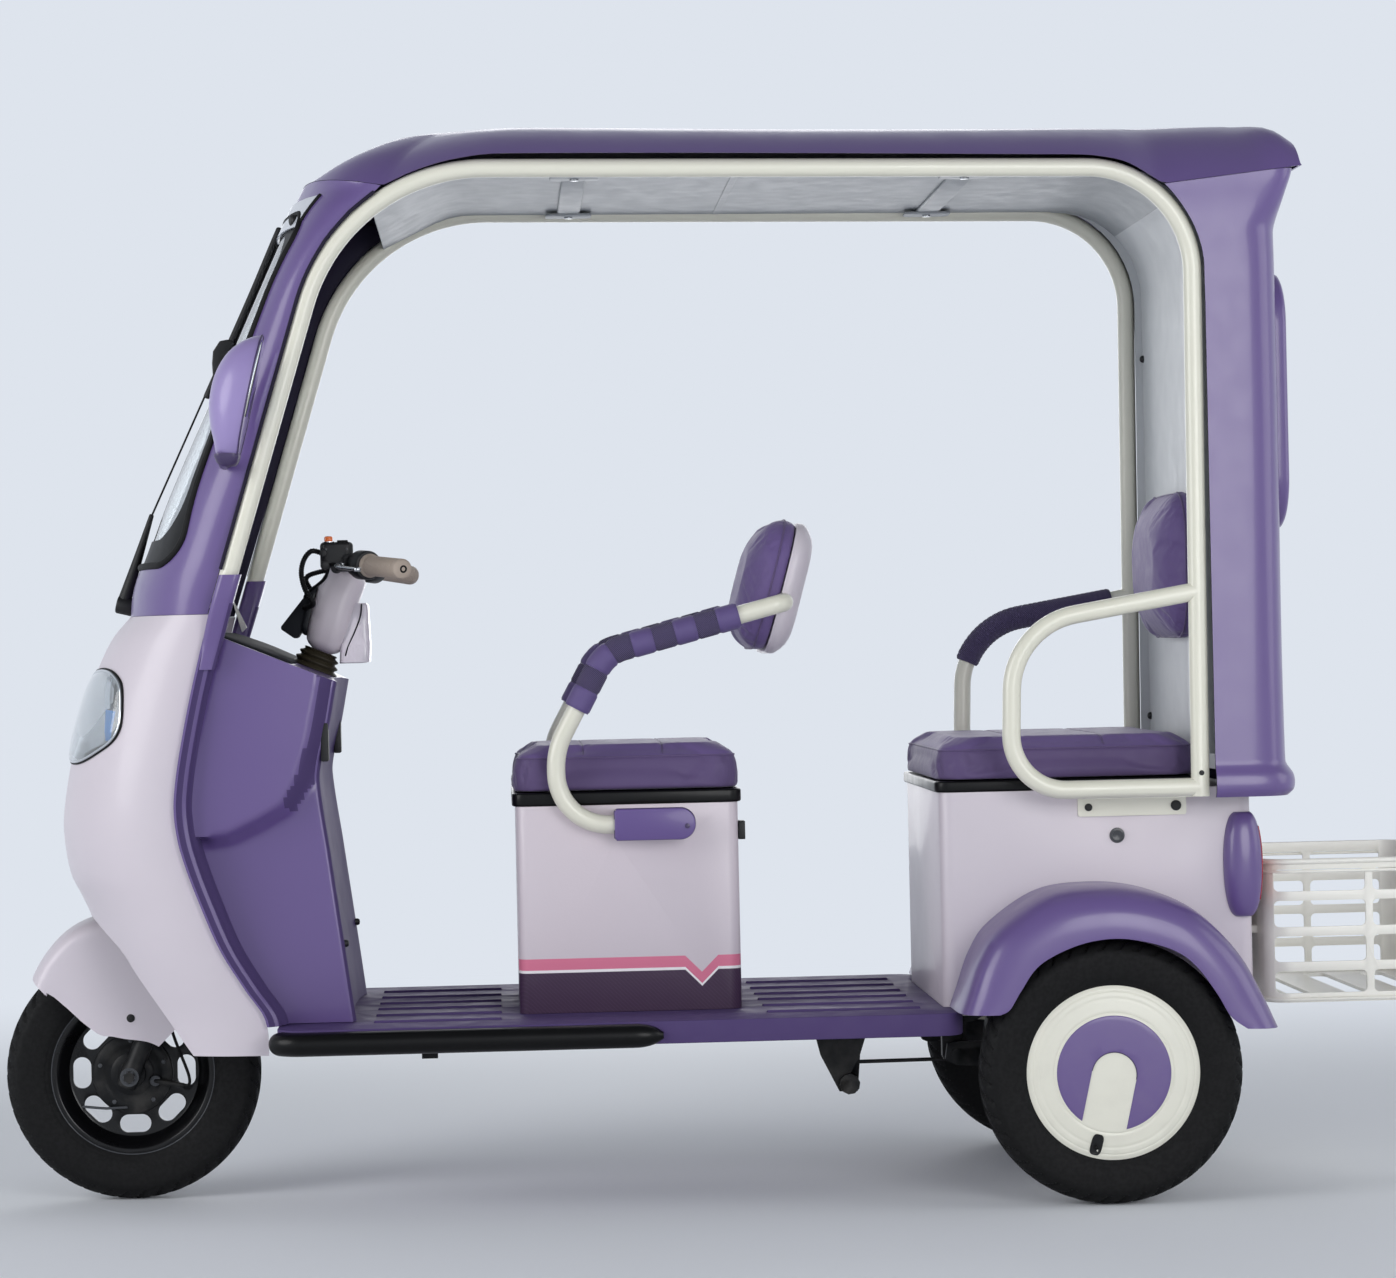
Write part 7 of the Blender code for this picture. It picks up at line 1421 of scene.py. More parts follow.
def front_fender():
    """Mudguard over the front tyre with skirts outside the fork legs."""
    outer, inner = [], []
    crowns = [(row[0], row[1]) for row in FENDER_ROWS]
    lows = [(row[0], row[2]) for row in FENDER_ROWS]
    for degrees in between(-44, 45, 72):
        turn = math.radians(degrees)
        crown, low = smooth_value(crowns, degrees), smooth_value(lows, degrees)
        for rows, wall in ((outer, 0.0), (inner, FENDER_WALL)):
            half = FENDER_HALF_WIDTH - wall
            shoulder = crown - wall - 0.034
            low_edge = min(low, shoulder - 0.004)
            section = [(-half, low_edge + (shoulder - low_edge) * share) for share in between(0.0, 0.9, 8)]
            for lean in between(math.pi, 0.0, 33):
                section.append((half * power(math.cos(lean), 0.6),
                                shoulder + 0.034 * max(math.sin(lean), 0.0) ** 0.7))
            section += [(half, low_edge + (shoulder - low_edge) * share) for share in between(0.9, 0.0, 8)]
            rows.append([FRONT_AXLE + Vector((math.sin(turn) * out, across, math.cos(turn) * out))
                         for across, out in section])
    fender = sheet("front_fender_shell", outer, inner)
    legs = [tube("leg", [fork_frame(0, side * FORK_LEG_Y, 0.15), fork_frame(0, side * FORK_LEG_Y, 0.40)],
                 SLIDER_RADIUS + 0.00105, 32) for _, side in SIDES]
    dress(cut(fender, legs), "pale_plastic", "fork", "front_fender")
    for name, side in SIDES:
        place = Vector((-0.9905, side * (FENDER_HALF_WIDTH + 0.0008), 0.3085))
        dress(disc("fender_bolt_" + name, place, 0.0045, 0.0022, (0, 1, 0), 28, 0.001), "black_plastic",
              "fork")
        washer = disc("fender_washer_" + name, place - Vector((0, side * 0.0012, 0)), 0.0068, 0.0012,
                      (0, 1, 0), 32, 0.0004)
        dress(washer, "black_plastic", "fork")


VALVE_REACH = 0.1165


def rear_wheels():
    """Rear tyres on rims with a cream domed cap, a purple horseshoe inlay, grooves and a valve slot."""
    half, inner = RIM_HALF_WIDTH, RIM_INNER
    cap = half + 0.0015

    def dome(radius):
        return cap + smooth_value([(0.0, 0.0100), (0.077, 0.0085), (0.120, 0.0058), (0.1302, 0.0045),
                                   (0.1375, 0.0018), (0.140, 0.0)], radius)

    for name, side in SIDES:
        body = "rear_wheel_carrier_" + name
        centre = REAR_AXLE + Vector((0, side * REAR_TRACK_HALF, 0))
        tyre("rear_tyre_" + name, centre, body)
        profile = []
        for radius in between(0.0, 0.1385, 78):
            groove = 0.0
            for place, depth, width in ((0.0955, 0.0012, 0.0016), (0.118, 0.0010, 0.0014),
                                        (0.1295, 0.0008, 0.0012)):
                groove = max(groove, depth * math.exp(-((radius - place) / width) ** 2))
            profile.append((radius, dome(radius) - groove))
        profile += [(0.1397, dome(0.1392)), (0.1400, cap), (0.1392, cap - 0.0008)]
        profile += [(radius, along) for radius, along in reversed(rim_outside(half))]
        profile += [(RIM_RADIUS - 0.012, -half), (inner - 0.006, cap - 0.006), (0.032, cap - 0.006),
                    (0.030, -0.020), (0, -0.020)]
        wheel = lathe("rear_wheel_cap_" + name, profile, centre, (0, side, 0), 144)
        dress(wheel, "cap_plastic", body, "rear_wheel_" + name)
        skin = [(0, dome(0) - 0.0015)] + [(radius, dome(radius) - 0.0015)
                                          for radius in between(0.006, 0.0895, 16)]
        skin += [(0.0912, dome(0.0912) - 0.0010), (0.0912, dome(0.0912) + 0.0004),
                 (0.0903, dome(0.0903) + 0.0012)]
        skin += [(radius, dome(radius) + 0.0014) for radius in between(0.0890, 0.006, 16)] + [(0,
                dome(0) + 0.0014)]
        inlay = lathe("wheel_inlay_" + name, skin, centre, (0, side, 0), 144)
        lean = math.radians(12.5)
        down = Vector((-math.sin(lean), -math.cos(lean)))
        across = Vector((-down.y, down.x))
        tongue = []
        for turn in between(0.0, math.pi, 25):
            tongue.append(Vector((0, -0.0025)) + (across * math.cos(turn) - down * math.sin(turn)) * 0.036)
        tongue += [tongue[-1] + down * 0.14, tongue[0] + down * 0.14]
        inner_y, outer_y = sorted((centre.y + side * 0.01, centre.y + side * 0.06))
        cut(inlay, [side_prism("tongue", [(centre.x + point[0], centre.z + point[1]) for point in tongue],
                               inner_y, outer_y)])
        dress(soften(inlay, 0.0008, 3), "purple_plastic", body)
        rim_line = [centre + Vector((point[0], side * (dome(point.length) + 0.0009), point[1]))
                    for point in tongue[:-2] if point.length < 0.089]
        dress(tube("inlay_edge_" + name, rim_line, 0.0009, 8, rounded=True), "dark_purple", body)
        at = math.radians(-105)
        outward = Vector((math.cos(at), 0, math.sin(at)))
        middle = centre + outward * VALVE_REACH + Vector((0, side * (dome(VALVE_REACH) + 0.0002), 0))
        sideways = Vector((-outward.z, 0, outward.x))
        ring = [(power(math.cos(turn), 0.6) * 0.0095, power(math.sin(turn), 0.6) * 0.0170)
                for turn in between(0, 2 * math.pi, 29)[:-1]]
        rings = []
        for lift, size in ((-0.004, 0.9), (0.0012, 1.0), (0.0018, 0.94), (0.0006, 0.82)):
            rings.append([middle + (sideways * shift + outward * reach) * size
                          + Vector((0, side * (lift + dome(VALVE_REACH + reach) - dome(VALVE_REACH)), 0))
                          for shift, reach in ring])
        dress(loft("valve_slot_" + name, rings), "black_plastic", body)
        stem = [middle + outward * 0.004 + Vector((0, side * out, 0)) for out in (0.0, 0.004, 0.0065)]
        dress(tube("valve_stem_" + name, stem, 0.0036, 14, rounded=True), "black_rubber", body)


# Steering
BOOT_HEIGHT, BOOT_RADIUS = 0.032, 0.040
STEM_TOP = (BAR_CENTRE - FRONT_AXLE).dot(RAKE_UP) - 0.028
GRIP_AXIS = Vector((BAR_END.x - BAR_CENTRE.x, BAR_END.y - BAR_BEND_Y, BAR_END.z - BAR_CENTRE.z)).normalized()
POD_RADIUS, POD_LENGTH = 0.024, 0.034
SWITCH_LOW = Vector((BAR_CENTRE.x - 0.050, -BAR_BEND_Y - 0.014, BAR_CENTRE.z - 0.006))
SWITCH_HIGH = Vector((BAR_CENTRE.x + 0.004, -BAR_BEND_Y + 0.014, BAR_CENTRE.z + 0.036))
BUTTON_TOP = Vector((SWITCH_LOW.x + 0.014, -BAR_BEND_Y, SWITCH_HIGH.z))
COVER_SHIFT = -0.012


def grip_axis_point(side, inboard):
    """A point on a grip's axis, measured inboard from the bar's end."""
    return mirrored(BAR_END - GRIP_AXIS * inboard, side)


def lever_pivot(side):
    """Where a brake lever's pin stands, ahead of its pod."""
    return grip_axis_point(side, GRIP_LENGTH + POD_LENGTH * 0.6) + Vector((-0.037, 0, 0))


def raked(obj, along):
    """Stand a piece made at the origin on the steering axis."""
    obj.data.transform(Matrix.Translation(fork_frame(STEER_OFFSET, 0, along)) @ Matrix.Rotation(RAKE, 4, "Y"))
    return obj


def handlebar():
    """Swept bar with its clamp, control pods, lever perches and the switch box."""
    bend = Vector((BAR_CENTRE.x, BAR_BEND_Y, BAR_CENTRE.z))
    path = bent_path([mirrored(BAR_END, -1), mirrored(bend, -1), bend, BAR_END], 0.05, 14)
    bar = tube("handlebar_bent", path, BAR_RADIUS - 0.0002, 28)
    pieces = [raked(soften(block("clamp", (-0.018, -0.030, 0), (0.018, 0.030, 0.045), 0.008, "Y", 6),
                           0.002), STEM_TOP + GAP)]
    for _, side in SIDES:
        middle = grip_axis_point(side, GRIP_LENGTH + POD_LENGTH / 2 + 0.0015)
        pieces.append(disc("pod", middle, POD_RADIUS, POD_LENGTH / 2, mirrored(GRIP_AXIS, side), 44, 0.004))
        pivot = lever_pivot(side)
        pieces.append(soften(block("perch", (pivot.x - 0.009, pivot.y - 0.009, pivot.z - 0.010),
                                   (middle.x, pivot.y + 0.009, pivot.z - 0.0043), 0.006, "Z", 6), 0.0012))
        pieces.append(disc("pin", pivot, 0.003, 0.0075, (0, 0, 1), 20, 0.0006))
    pieces.append(soften(block("switch_box", SWITCH_LOW, SWITCH_HIGH, 0.012, "Z", 8), 0.0065, 4))
    for x, z, radius in ((0.008, 0.004, 0.0075), (0.026, -0.001, 0.0085), (0.046, 0.012, 0.0100),
                         (0.006, 0.024, 0.0060)):
        pieces.append(disc("boss", (SWITCH_LOW.x + x, -BAR_BEND_Y, SWITCH_LOW.z + z), radius, 0.0175,
                           (0, 1, 0), 28, 0.002))
    pieces.append(disc("collar", grip_axis_point(-1, GRIP_LENGTH + POD_LENGTH + 0.006), POD_RADIUS - 0.004,
                       0.010, mirrored(GRIP_AXIS, -1), 40, 0.003))
    combine(bar, pieces)
    cut(bar, [disc("well", BUTTON_TOP - Vector((0, 0, 0.010)), 0.00775, 0.010, (0, 0, 1), 32)])
    dress(bar, "black_plastic", "steering", "handlebar")
    button = lathe("horn_button_cap", [(0, -0.014), (0.0068, -0.014), (0.0070, 0.0072), (0.0064, 0.0088),
                                       (0.0048, 0.0098), (0, 0.0100)], BUTTON_TOP, (0, 0, 1), 40)
    dress(button, "orange_button", "horn", "horn_button")
    ring = lathe("button_ring", [(0.0082, 0.0), (0.0098, 0.0), (0.0098, 0.0012), (0.0082, 0.0016)],
                 BUTTON_TOP, (0, 0, 1), 36)
    dress(ring, "chrome", "steering")
    rocker = soften(block("switch_rocker", (SWITCH_LOW.x + 0.028, -BAR_BEND_Y - 0.007, SWITCH_HIGH.z - 0.001),
                          (SWITCH_LOW.x + 0.046, -BAR_BEND_Y + 0.007, SWITCH_HIGH.z + 0.003), 0.002), 0.0012)
    dress(rocker, "gloss_black", "steering")
    for index, (x, z) in enumerate(((0.010, 0.008), (0.044, 0.008), (0.010, 0.030), (0.044, 0.030))):
        screw = disc("switch_screw_%d" % index, (SWITCH_LOW.x + x, SWITCH_LOW.y - 0.0003, SWITCH_LOW.z + z),
                     0.0022, 0.0008, (0, 1, 0), 16, 0.0003)
        dress(screw, "steel_dark", "steering")


def grips():
    """Ribbed rubber grips with a flange and a domed end."""
    for name, side, body in (("grip_left", -1, "steering"), ("throttle_grip", 1, "throttle")):
        profile = [(0, 0.005), (0.0100, 0.0049), (0.0140, 0.0040), (0.0160, 0.0022), (GRIP_RADIUS, 0.0)]
        for index in range(17):
            start = -0.010 - index * 0.0058
            profile += [(GRIP_RADIUS, start), (0.0156, start - 0.0009), (0.0156, start - 0.0021),
                        (GRIP_RADIUS, start - 0.0030)]
        profile += [(GRIP_RADIUS, 0.007 - GRIP_LENGTH), (0.0192, 0.0045 - GRIP_LENGTH),
                    (0.0195, 0.0035 - GRIP_LENGTH), (0.0195, 0.0008 - GRIP_LENGTH), (0.0187, -GRIP_LENGTH),
                    (0.0117, -GRIP_LENGTH), (0.0117, GAP), (0, GAP)]
        centre, axis = mirrored(BAR_END, side), mirrored(GRIP_AXIS, side)
        dress(lathe(name + "_ribbed", profile, centre, axis, 56), "grip_rubber", body, name)
        ring = lathe(name + "_end", [(0.0030, 0.0046), (0.0060, 0.0046), (0.0063, 0.0052), (0.0055, 0.0056),
                                     (0.0034, 0.0054)], centre, axis, 32)
        dress(ring, "black_rubber", body)


def brake_levers():
    """Cast levers with a ball end, a ring root and a pivot screw."""
    for name, side in SIDES:
        pivot = lever_pivot(side)
        reach = [pivot, pivot + mirrored((-0.006, 0.025, -0.001), side),
                 pivot + mirrored((0.000, 0.070, -0.006), side),
                 pivot + mirrored((0.030, 0.128, -0.014), side)]
        path = resample(bent_path(reach, 0.04, 12), 40)
        lever = tube("lever_blade_" + name, path, lambda share: 0.0055 - 0.0015 * share, 20)
        for point in lever.data.vertices:
            point.co.z = pivot.z + (point.co.z - pivot.z) * 0.68
        tip = path[-1] + Vector((0, 0, (pivot.z - path[-1].z) * 0.32))
        combine(lever, [disc("root", pivot, 0.0085, 0.004, (0, 0, 1), 32, 0.001),
                        disc("tip", tip, 0.0065, 0.0034, (0, 0, 1), 28, 0.0018)])
        cut(lever, [disc("hole", pivot, 0.0036, 0.02, (0, 0, 1), 24)])
        dress(smooth(lever, 50.0), "steel", "lever_" + name, "brake_lever_" + name)


def stem_cover():
    """Moulded cover round the stem with a black front panel, a clear pocket and a key lock."""
    start = DECK_ALONG + BOOT_HEIGHT + 2 * GAP
    height = STEM_TOP + 0.024 - start
    half_x = [(0.0, 0.022), (0.08, 0.030), (0.25, 0.035), (0.60, 0.036), (0.85, 0.034), (1.0, 0.028)]
    half_y = [(0.0, 0.034), (0.08, 0.046), (0.30, 0.054), (0.60, 0.053), (0.85, 0.047), (1.0, 0.040)]
    shift = [(0.0, 0.001), (0.30, -0.002), (0.60, -0.007), (1.0, -0.004)]
    rings = []
    for share in between(0.0, 1.0, 28):
        a, b, move = smooth_value(half_x, share), smooth_value(half_y, share), smooth_value(shift, share)
        shrink = 0.010 * smoothstep((share - 0.88) / 0.12) + 0.006 * smoothstep((0.05 - share) / 0.05)
        rings.append([fork_frame(STEER_OFFSET + move + x, y, start + height * share) for x,
                      y in rounded_outline((-a + shrink, -b + shrink), (a - shrink, b - shrink),
                                           min(a, b) * 0.8 - shrink, 8)])
    cover = loft("stem_cover_shell", rings)
    bore = tube("bore", [fork_frame(STEER_OFFSET, 0, start - 0.05),
                         fork_frame(STEER_OFFSET, 0, STEM_TOP + 0.05)], 0.0131, 32)
    dress(cut(cover, [bore]), "pale_plastic", "steering", "stem_cover")

    def plate(name, finish, ahead, low, high, half, thick, corner):
        rings = []
        for depth, inset in ((0.0, 0.001), (thick * 0.5, 0.0), (thick, 0.0015)):
            ring = []
            for along, across in rounded_outline((low + inset, -half + inset), (high - inset, half - inset),
                                                 corner, 6):
                share = (along - start) / height
                middle = STEER_OFFSET + smooth_value(shift, share)
                ring.append(fork_frame(middle + ahead * (smooth_value(half_x, share) - 0.0012 + depth),
                                       across, along))
            rings.append(ring)
        dress(loft(name, rings), finish, "steering")

    plate("stem_front_panel", "stem_black", -1, start + height * 0.10, start + height * 0.66, 0.044, 0.009,
          0.014)
    flap = [(-0.6884, 1.0036), (-0.6700, 0.998), (-0.6745, 0.982), (-0.7067, 0.929), (-0.7120, 0.9275),
            (-0.7336, 0.9430), (-0.7340, 0.9475)]
    dress(soften(side_prism("stem_flap", flap, -0.037, 0.037), 0.0020, 3), "slate", "steering")
    rings = []
    for share, grow in ((0.0, -0.006), (0.02, 0.0), (0.3, 0.0015), (0.7, 0.0), (0.96, -0.001), (1.0, -0.004)):
        z = 0.884 + 0.100 * share
        rings.append([Vector((x, y, z)) for x, y in rounded_outline((-0.638 + 0.006 * share, -0.040 - grow),
                                                                    (-0.588 + grow, 0.040 + grow), 0.009,
                                                                    6)])
    dress(loft("stem_pocket", rings), "pocket_vinyl", "steering")
    line = [(-0.5990, 0.982), (-0.6015, 0.962), (-0.6120, 0.935), (-0.6230, 0.912), (-0.6275, 0.897)]
    welt = resample(spline([(x, -0.0408, z) for x, z in line], 10), 30)
    dress(tube("pocket_welt", welt, 0.0013, 8, rounded=True), "stem_black", "steering")
    along = start + height * 0.90
    lock = lathe("ignition_lock", [(0, -0.004), (0.011, -0.004), (0.0115, 0.003), (0.0100, 0.0045),
                                   (0.0075, 0.0045), (0.0070, 0.003), (0, 0.003)],
                 fork_frame(STEER_OFFSET + 0.029 - 0.005, 0.018, along - 0.012), RAKE_AHEAD, 32)
    dress(lock, "chrome", "steering")


def steering_boot():
    """Ribbed rubber boot between the deck and the stem cover."""
    base = DECK_ALONG + GAP
    profile = [(0.014, base), (BOOT_RADIUS - 0.001, base), (BOOT_RADIUS, base + 0.001)]
    for rib in range(3):
        foot = base + BOOT_HEIGHT * rib / 3
        reach = BOOT_RADIUS - 0.003 * rib
        for share in between(0.0, 1.0, 9):
            profile.append((reach - 0.0055 * math.sin(math.pi * share) ** 2 - 0.003 * share,
                            foot + 0.0018 + share * (BOOT_HEIGHT / 3 - 0.001)))
    profile = [pair for pair in profile if pair[1] < base + BOOT_HEIGHT - 0.0006]
    profile += [(BOOT_RADIUS - 0.013, base + BOOT_HEIGHT), (0.014, base + BOOT_HEIGHT)]
    dress(lathe("steering_boot_ribbed", profile, fork_frame(STEER_OFFSET, 0, 0), RAKE_UP, 64),
          "boot_rubber", BODY, "steering_boot")


def control_cables():
    """Corrugated sheath from the switch box round the stem cover to the right pod."""
    middle = fork_frame(STEER_OFFSET + COVER_SHIFT - 0.0405, 0, 0.825)
    entry = Vector((SWITCH_LOW.x + 0.004, -BAR_BEND_Y, BAR_CENTRE.z + 0.018))
    loop = [(0.0, 0.0, 0.0), (-0.018, 0.0, 0.004), (-0.031, 0.004, -0.010), (-0.036, 0.010, -0.032),
            (-0.031, 0.018, -0.058), (-0.019, 0.030, -0.082)]
    left = [entry + Vector(step) for step in loop]
    square = Vector((-GRIP_AXIS.y, GRIP_AXIS.x, 0.0)).normalized()
    gland = grip_axis_point(1, GRIP_LENGTH + POD_LENGTH + 0.0018) + square * (BAR_RADIUS + POD_RADIUS) / 2
    right = [mirrored(point, -1) for point in reversed(left[3:])] + [gland - GRIP_AXIS * 0.035, gland]
    path = resample(spline(left + [Vector((middle.x - 0.004, 0, left[-1].z - 0.006))] + right, 14), 640)
    sheath = tube("cable_sheath", path, lambda share: 0.0042 + 0.0005 * math.cos(share * 2 * math.pi * 128),
                  16)
    dress(sheath, "black_rubber", "steering", "control_cables")
    for name, side in SIDES:
        pivot = lever_pivot(side)
        root = fork_frame(STEER_OFFSET - 0.040, side * 0.030, STEM_TOP - 0.062)
        line = [pivot + mirrored((-0.004, -0.012, 0.0), side),
                pivot + mirrored((-0.020, -0.030, 0.002), side),
                pivot + mirrored((-0.030, -0.050, -0.020), side),
                Vector((root.x - 0.010, root.y + side * 0.010, root.z + 0.018)), root]
        dress(tube("brake_hose_" + name, resample(spline(line, 12), 90), 0.0028, 12, rounded=True),
              "black_rubber", "steering")


def fork_crown():
    """Crown with both stanchions and the steering stem."""
    crown = block("crown_cast", (-0.022, -FORK_LEG_Y - 0.020, 0),
                  (STEER_OFFSET + 0.024, FORK_LEG_Y + 0.020, 0.026), 0.018, "Z")
    soften(crown, 0.003, 3)
    crown.data.transform(Matrix.Translation(fork_frame(0, 0, 0.385)) @ Matrix.Rotation(RAKE, 4, "Y"))
    legs = [tube("leg", [fork_frame(0, side * FORK_LEG_Y, 0.092), fork_frame(0, side * FORK_LEG_Y, 0.405)],
                 0.012, 36) for _, side in SIDES]
    stem = tube("stem", [fork_frame(STEER_OFFSET, 0, 0.395), fork_frame(STEER_OFFSET, 0, STEM_TOP)], 0.0125,
                36)
    dress(combine(crown, legs + [stem]), "black_steel", "steering", "fork_crown")


# Wiper and mirrors
def wiper():
    """Spindle, thick lower arm, thin rod, joint and a double blade up the middle of the glass."""
    def on_glass(height, clear):
        return Vector((smooth_value(GLASS_CENTRE, height) - clear, 0.0, height))

    axis = Vector((-0.97, 0.0, 0.24)).normalized()
    arm = tube("wiper_lower_arm", resample(spline([on_glass(0.990, 0.018), on_glass(1.060, 0.016),
                                                   on_glass(1.138, 0.020)], 12), 26),
               lambda share: 0.0115 - 0.0075 * share, 28, rounded=True)
    hub = disc("hub", on_glass(0.988, 0.0141), 0.015, 0.0145, axis, 40, 0.003)
    dress(combine(arm, [hub]), "black_plastic", "wiper", "wiper_arm")
    rod = tube("wiper_rod", resample([on_glass(1.130, 0.0200), on_glass(1.372, 0.0175)], 30), 0.0017, 16,
               rounded=True)
    dress(rod, "black_steel", "wiper")
    joint = soften(side_prism("wiper_joint", [(-0.8395, 1.366), (-0.8290, 1.364), (-0.8165, 1.398),
                                              (-0.8020, 1.425), (-0.8130, 1.4295), (-0.8270, 1.4270),
                                              (-0.8385, 1.410), (-0.8405, 1.390)], -0.008, 0.008), 0.0022,
                   3)
    dress(joint, "black_plastic", "wiper")
    back = resample([on_glass(height, 0.0135) for height in between(1.335, 1.612, 14)], 24)
    dress(tube("wiper_blade_spine", back, 0.0060, 16, rounded=True), "black_plastic", "wiper")
    lip = resample([on_glass(height, 0.0062) for height in between(1.338, 1.609, 14)], 24)
    dress(tube("wiper_blade_rubber", lip, 0.0034, 12, flat=0.5, rounded=True), "black_rubber", "wiper")
    for index, height in enumerate((1.362, 1.474, 1.586)):
        claw = tube("wiper_claw_%d" % index, [on_glass(height, 0.0135), on_glass(height, 0.0060)], 0.0042, 14)
        dress(claw, "black_plastic", "wiper")


MIRROR_Y, MIRROR_MIDDLE_Z, MIRROR_FOOT_Z = 0.432, 1.305, 1.205
MIRROR_ROWS = [(1.2160, -0.8050, -0.7720, 0.026), (1.2200, -0.8070, -0.7705, 0.032),
               (1.2350, -0.8092, -0.7675, 0.045), (1.2630, -0.8145, -0.7612, 0.057),
               (1.2990, -0.8153, -0.7530, 0.063), (1.3400, -0.8060, -0.7436, 0.061),
               (1.3725, -0.7870, -0.7362, 0.050), (1.3900, -0.7660, -0.7325, 0.035),
               (1.3985, -0.7470, -0.7306, 0.018), (1.4006, -0.7370, -0.7302, 0.008)]


def mirrors():
    """Light purple mirror shells, their lightness a painted highlight, on dark cups and stalks, with glass
    facing the rider.
    """
    tables = [[(row[0], row[column]) for row in MIRROR_ROWS] for column in (1, 2, 3)]
    heights = between(1.2160, 1.2350, 6) + between(1.2350, 1.3900, 22)[1:] + between(1.3900, 1.4006, 8)[1:]
    for name, side in SIDES:
        body = "mirror_carrier_" + name
        rings, edge = [], []
        for z in heights:
            front, rear, half = (smooth_value(table, z) for table in tables)
            ring = []
            for turn in between(-math.pi / 2, math.pi / 2, 33):
                ring.append(Vector((rear - (rear - front) * max(math.cos(turn), 0.0) ** 0.75,
                                    side * (MIRROR_Y + half * power(math.sin(turn), 0.9)), z)))
            rings.append(ring)
            edge.append((rear, half))
        shell = loft("mirror_shell_" + name, rings, round_edges=50.0)
        # The shell's light purple is painted highlight.
        dress(soften(shell, 0.0014, 2), "mirror_shell", body, "mirror_" + name)
        line = [Vector((rear - 0.0002, side * (MIRROR_Y - half), z)) for (rear, half),
                z in zip(edge, heights)]
        line += [Vector((rear - 0.0002, side * (MIRROR_Y + half), z)) for (rear, half),
                 z in list(zip(edge, heights))[::-1]]
        bead("mirror_rim_" + name, line + line[:1], 0.0016, 8, "dark_purple", body)
        glass, middle = [], Vector((side * MIRROR_Y, MIRROR_MIDDLE_Z))
        for depth, size in ((-0.001, 0.93), (0.0006, 0.92), (0.0010, 0.90)):
            glass.append([Vector((point.x + depth, *(middle
                                                     + (Vector((point.y, point.z)) - middle) * size)))
                          for point in line])
        dress(loft("mirror_glass_" + name, glass), "mirror_glass", body)
        cup = []
        for z, front, rear, half in ((1.2168, -0.8085, -0.7700, 0.028), (1.2120, -0.8088, -0.7695, 0.028),
                                     (1.2030, -0.8050, -0.7725, 0.024), (1.1975, -0.7990, -0.7765, 0.017)):
            cup.append([Vector((x, y, z)) for x, y in rounded_outline((front, side * MIRROR_Y - half),
                                                                      (rear, side * MIRROR_Y + half), 0.011,
                                                                      6)])
        dress(loft("mirror_cup_" + name, cup), "dark_purple", body)
        foot = mirror_foot(side)
        corners = [foot, foot + Vector((0, side * 0.030, 0)), Vector((-0.7885, side * 0.425, MIRROR_FOOT_Z))]
        stalk = tube("mirror_stalk_" + name, resample(bent_path(corners, 0.018, 14), 48),
                     lambda share: 0.0045 + 0.0045 * min(share * 8, 1.0), 28)
        dress(stalk, "dark_purple", body)


def mirror_foot(side):
    """Where a mirror's stalk meets the pillar."""
    x = hoop_front_x(MIRROR_FOOT_Z) - 0.039
    return Vector((x, side * (screen_half_width(x + 0.0045, MIRROR_FOOT_Z) - 0.0012), MIRROR_FOOT_Z))


# Floor, boxes and lamps
def floor_and_bumpers():
    """Floor tray with tread ribs, and the black rubbing strips round its front half."""
    dress(refined("floorboard", 0.0022, 3), "floor_plastic", BODY, "floorboard")
    for name, side in SIDES:
        corner = Vector((FLOOR_FRONT_X + FLOOR_CORNER, FLOOR_HALF_WIDTH - FLOOR_CORNER, BUMPER_Z))
        path = [(corner, Vector((-math.cos(turn), math.sin(turn), 0.0)), FLOOR_CORNER + GAP)
                for turn in between(math.radians(12), math.radians(90), 26)]
        path += [(Vector((x, FLOOR_HALF_WIDTH, BUMPER_Z)), Vector((0.0, 1.0, 0.0)), GAP)
                 for x in between(FLOOR_FRONT_X + FLOOR_CORNER + 0.03, BUMPER_REAR_X - 0.05, 8)
                 + between(BUMPER_REAR_X - 0.045, BUMPER_REAR_X, 14)]
        rings = []
        for index, (centre, outward, start) in enumerate(path):
            front = min(index / 9, 1.0)
            rear = min(max((BUMPER_REAR_X - centre.x) / 0.045, 0.0), 1.0) if index > 26 else 1.0
            size = max(math.sqrt(max(1 - (1 - front) ** 2, 0.0)),
                       0.35) * max(math.sqrt(max(1 - (1 - rear) ** 2, 0.0)), 0.30)
            half, bulge = BUMPER_HEIGHT / 2 * size, BUMPER_THICK * size
            ring = [(0.0, -half)] + [(bulge * math.sin(turn) ** 0.8, -half * math.cos(turn))
                                     for turn in between(0.12, math.pi - 0.12, 21)] + [(0.0, half)]
            rings.append([mirrored(centre + outward * (start + out) + Vector((0, 0, up)), side) for out,
                          up in ring])
        dress(loft("bumper_strip_" + name, rings, round_edges=50.0), "gloss_black", BODY,
              "side_bumper_" + name)


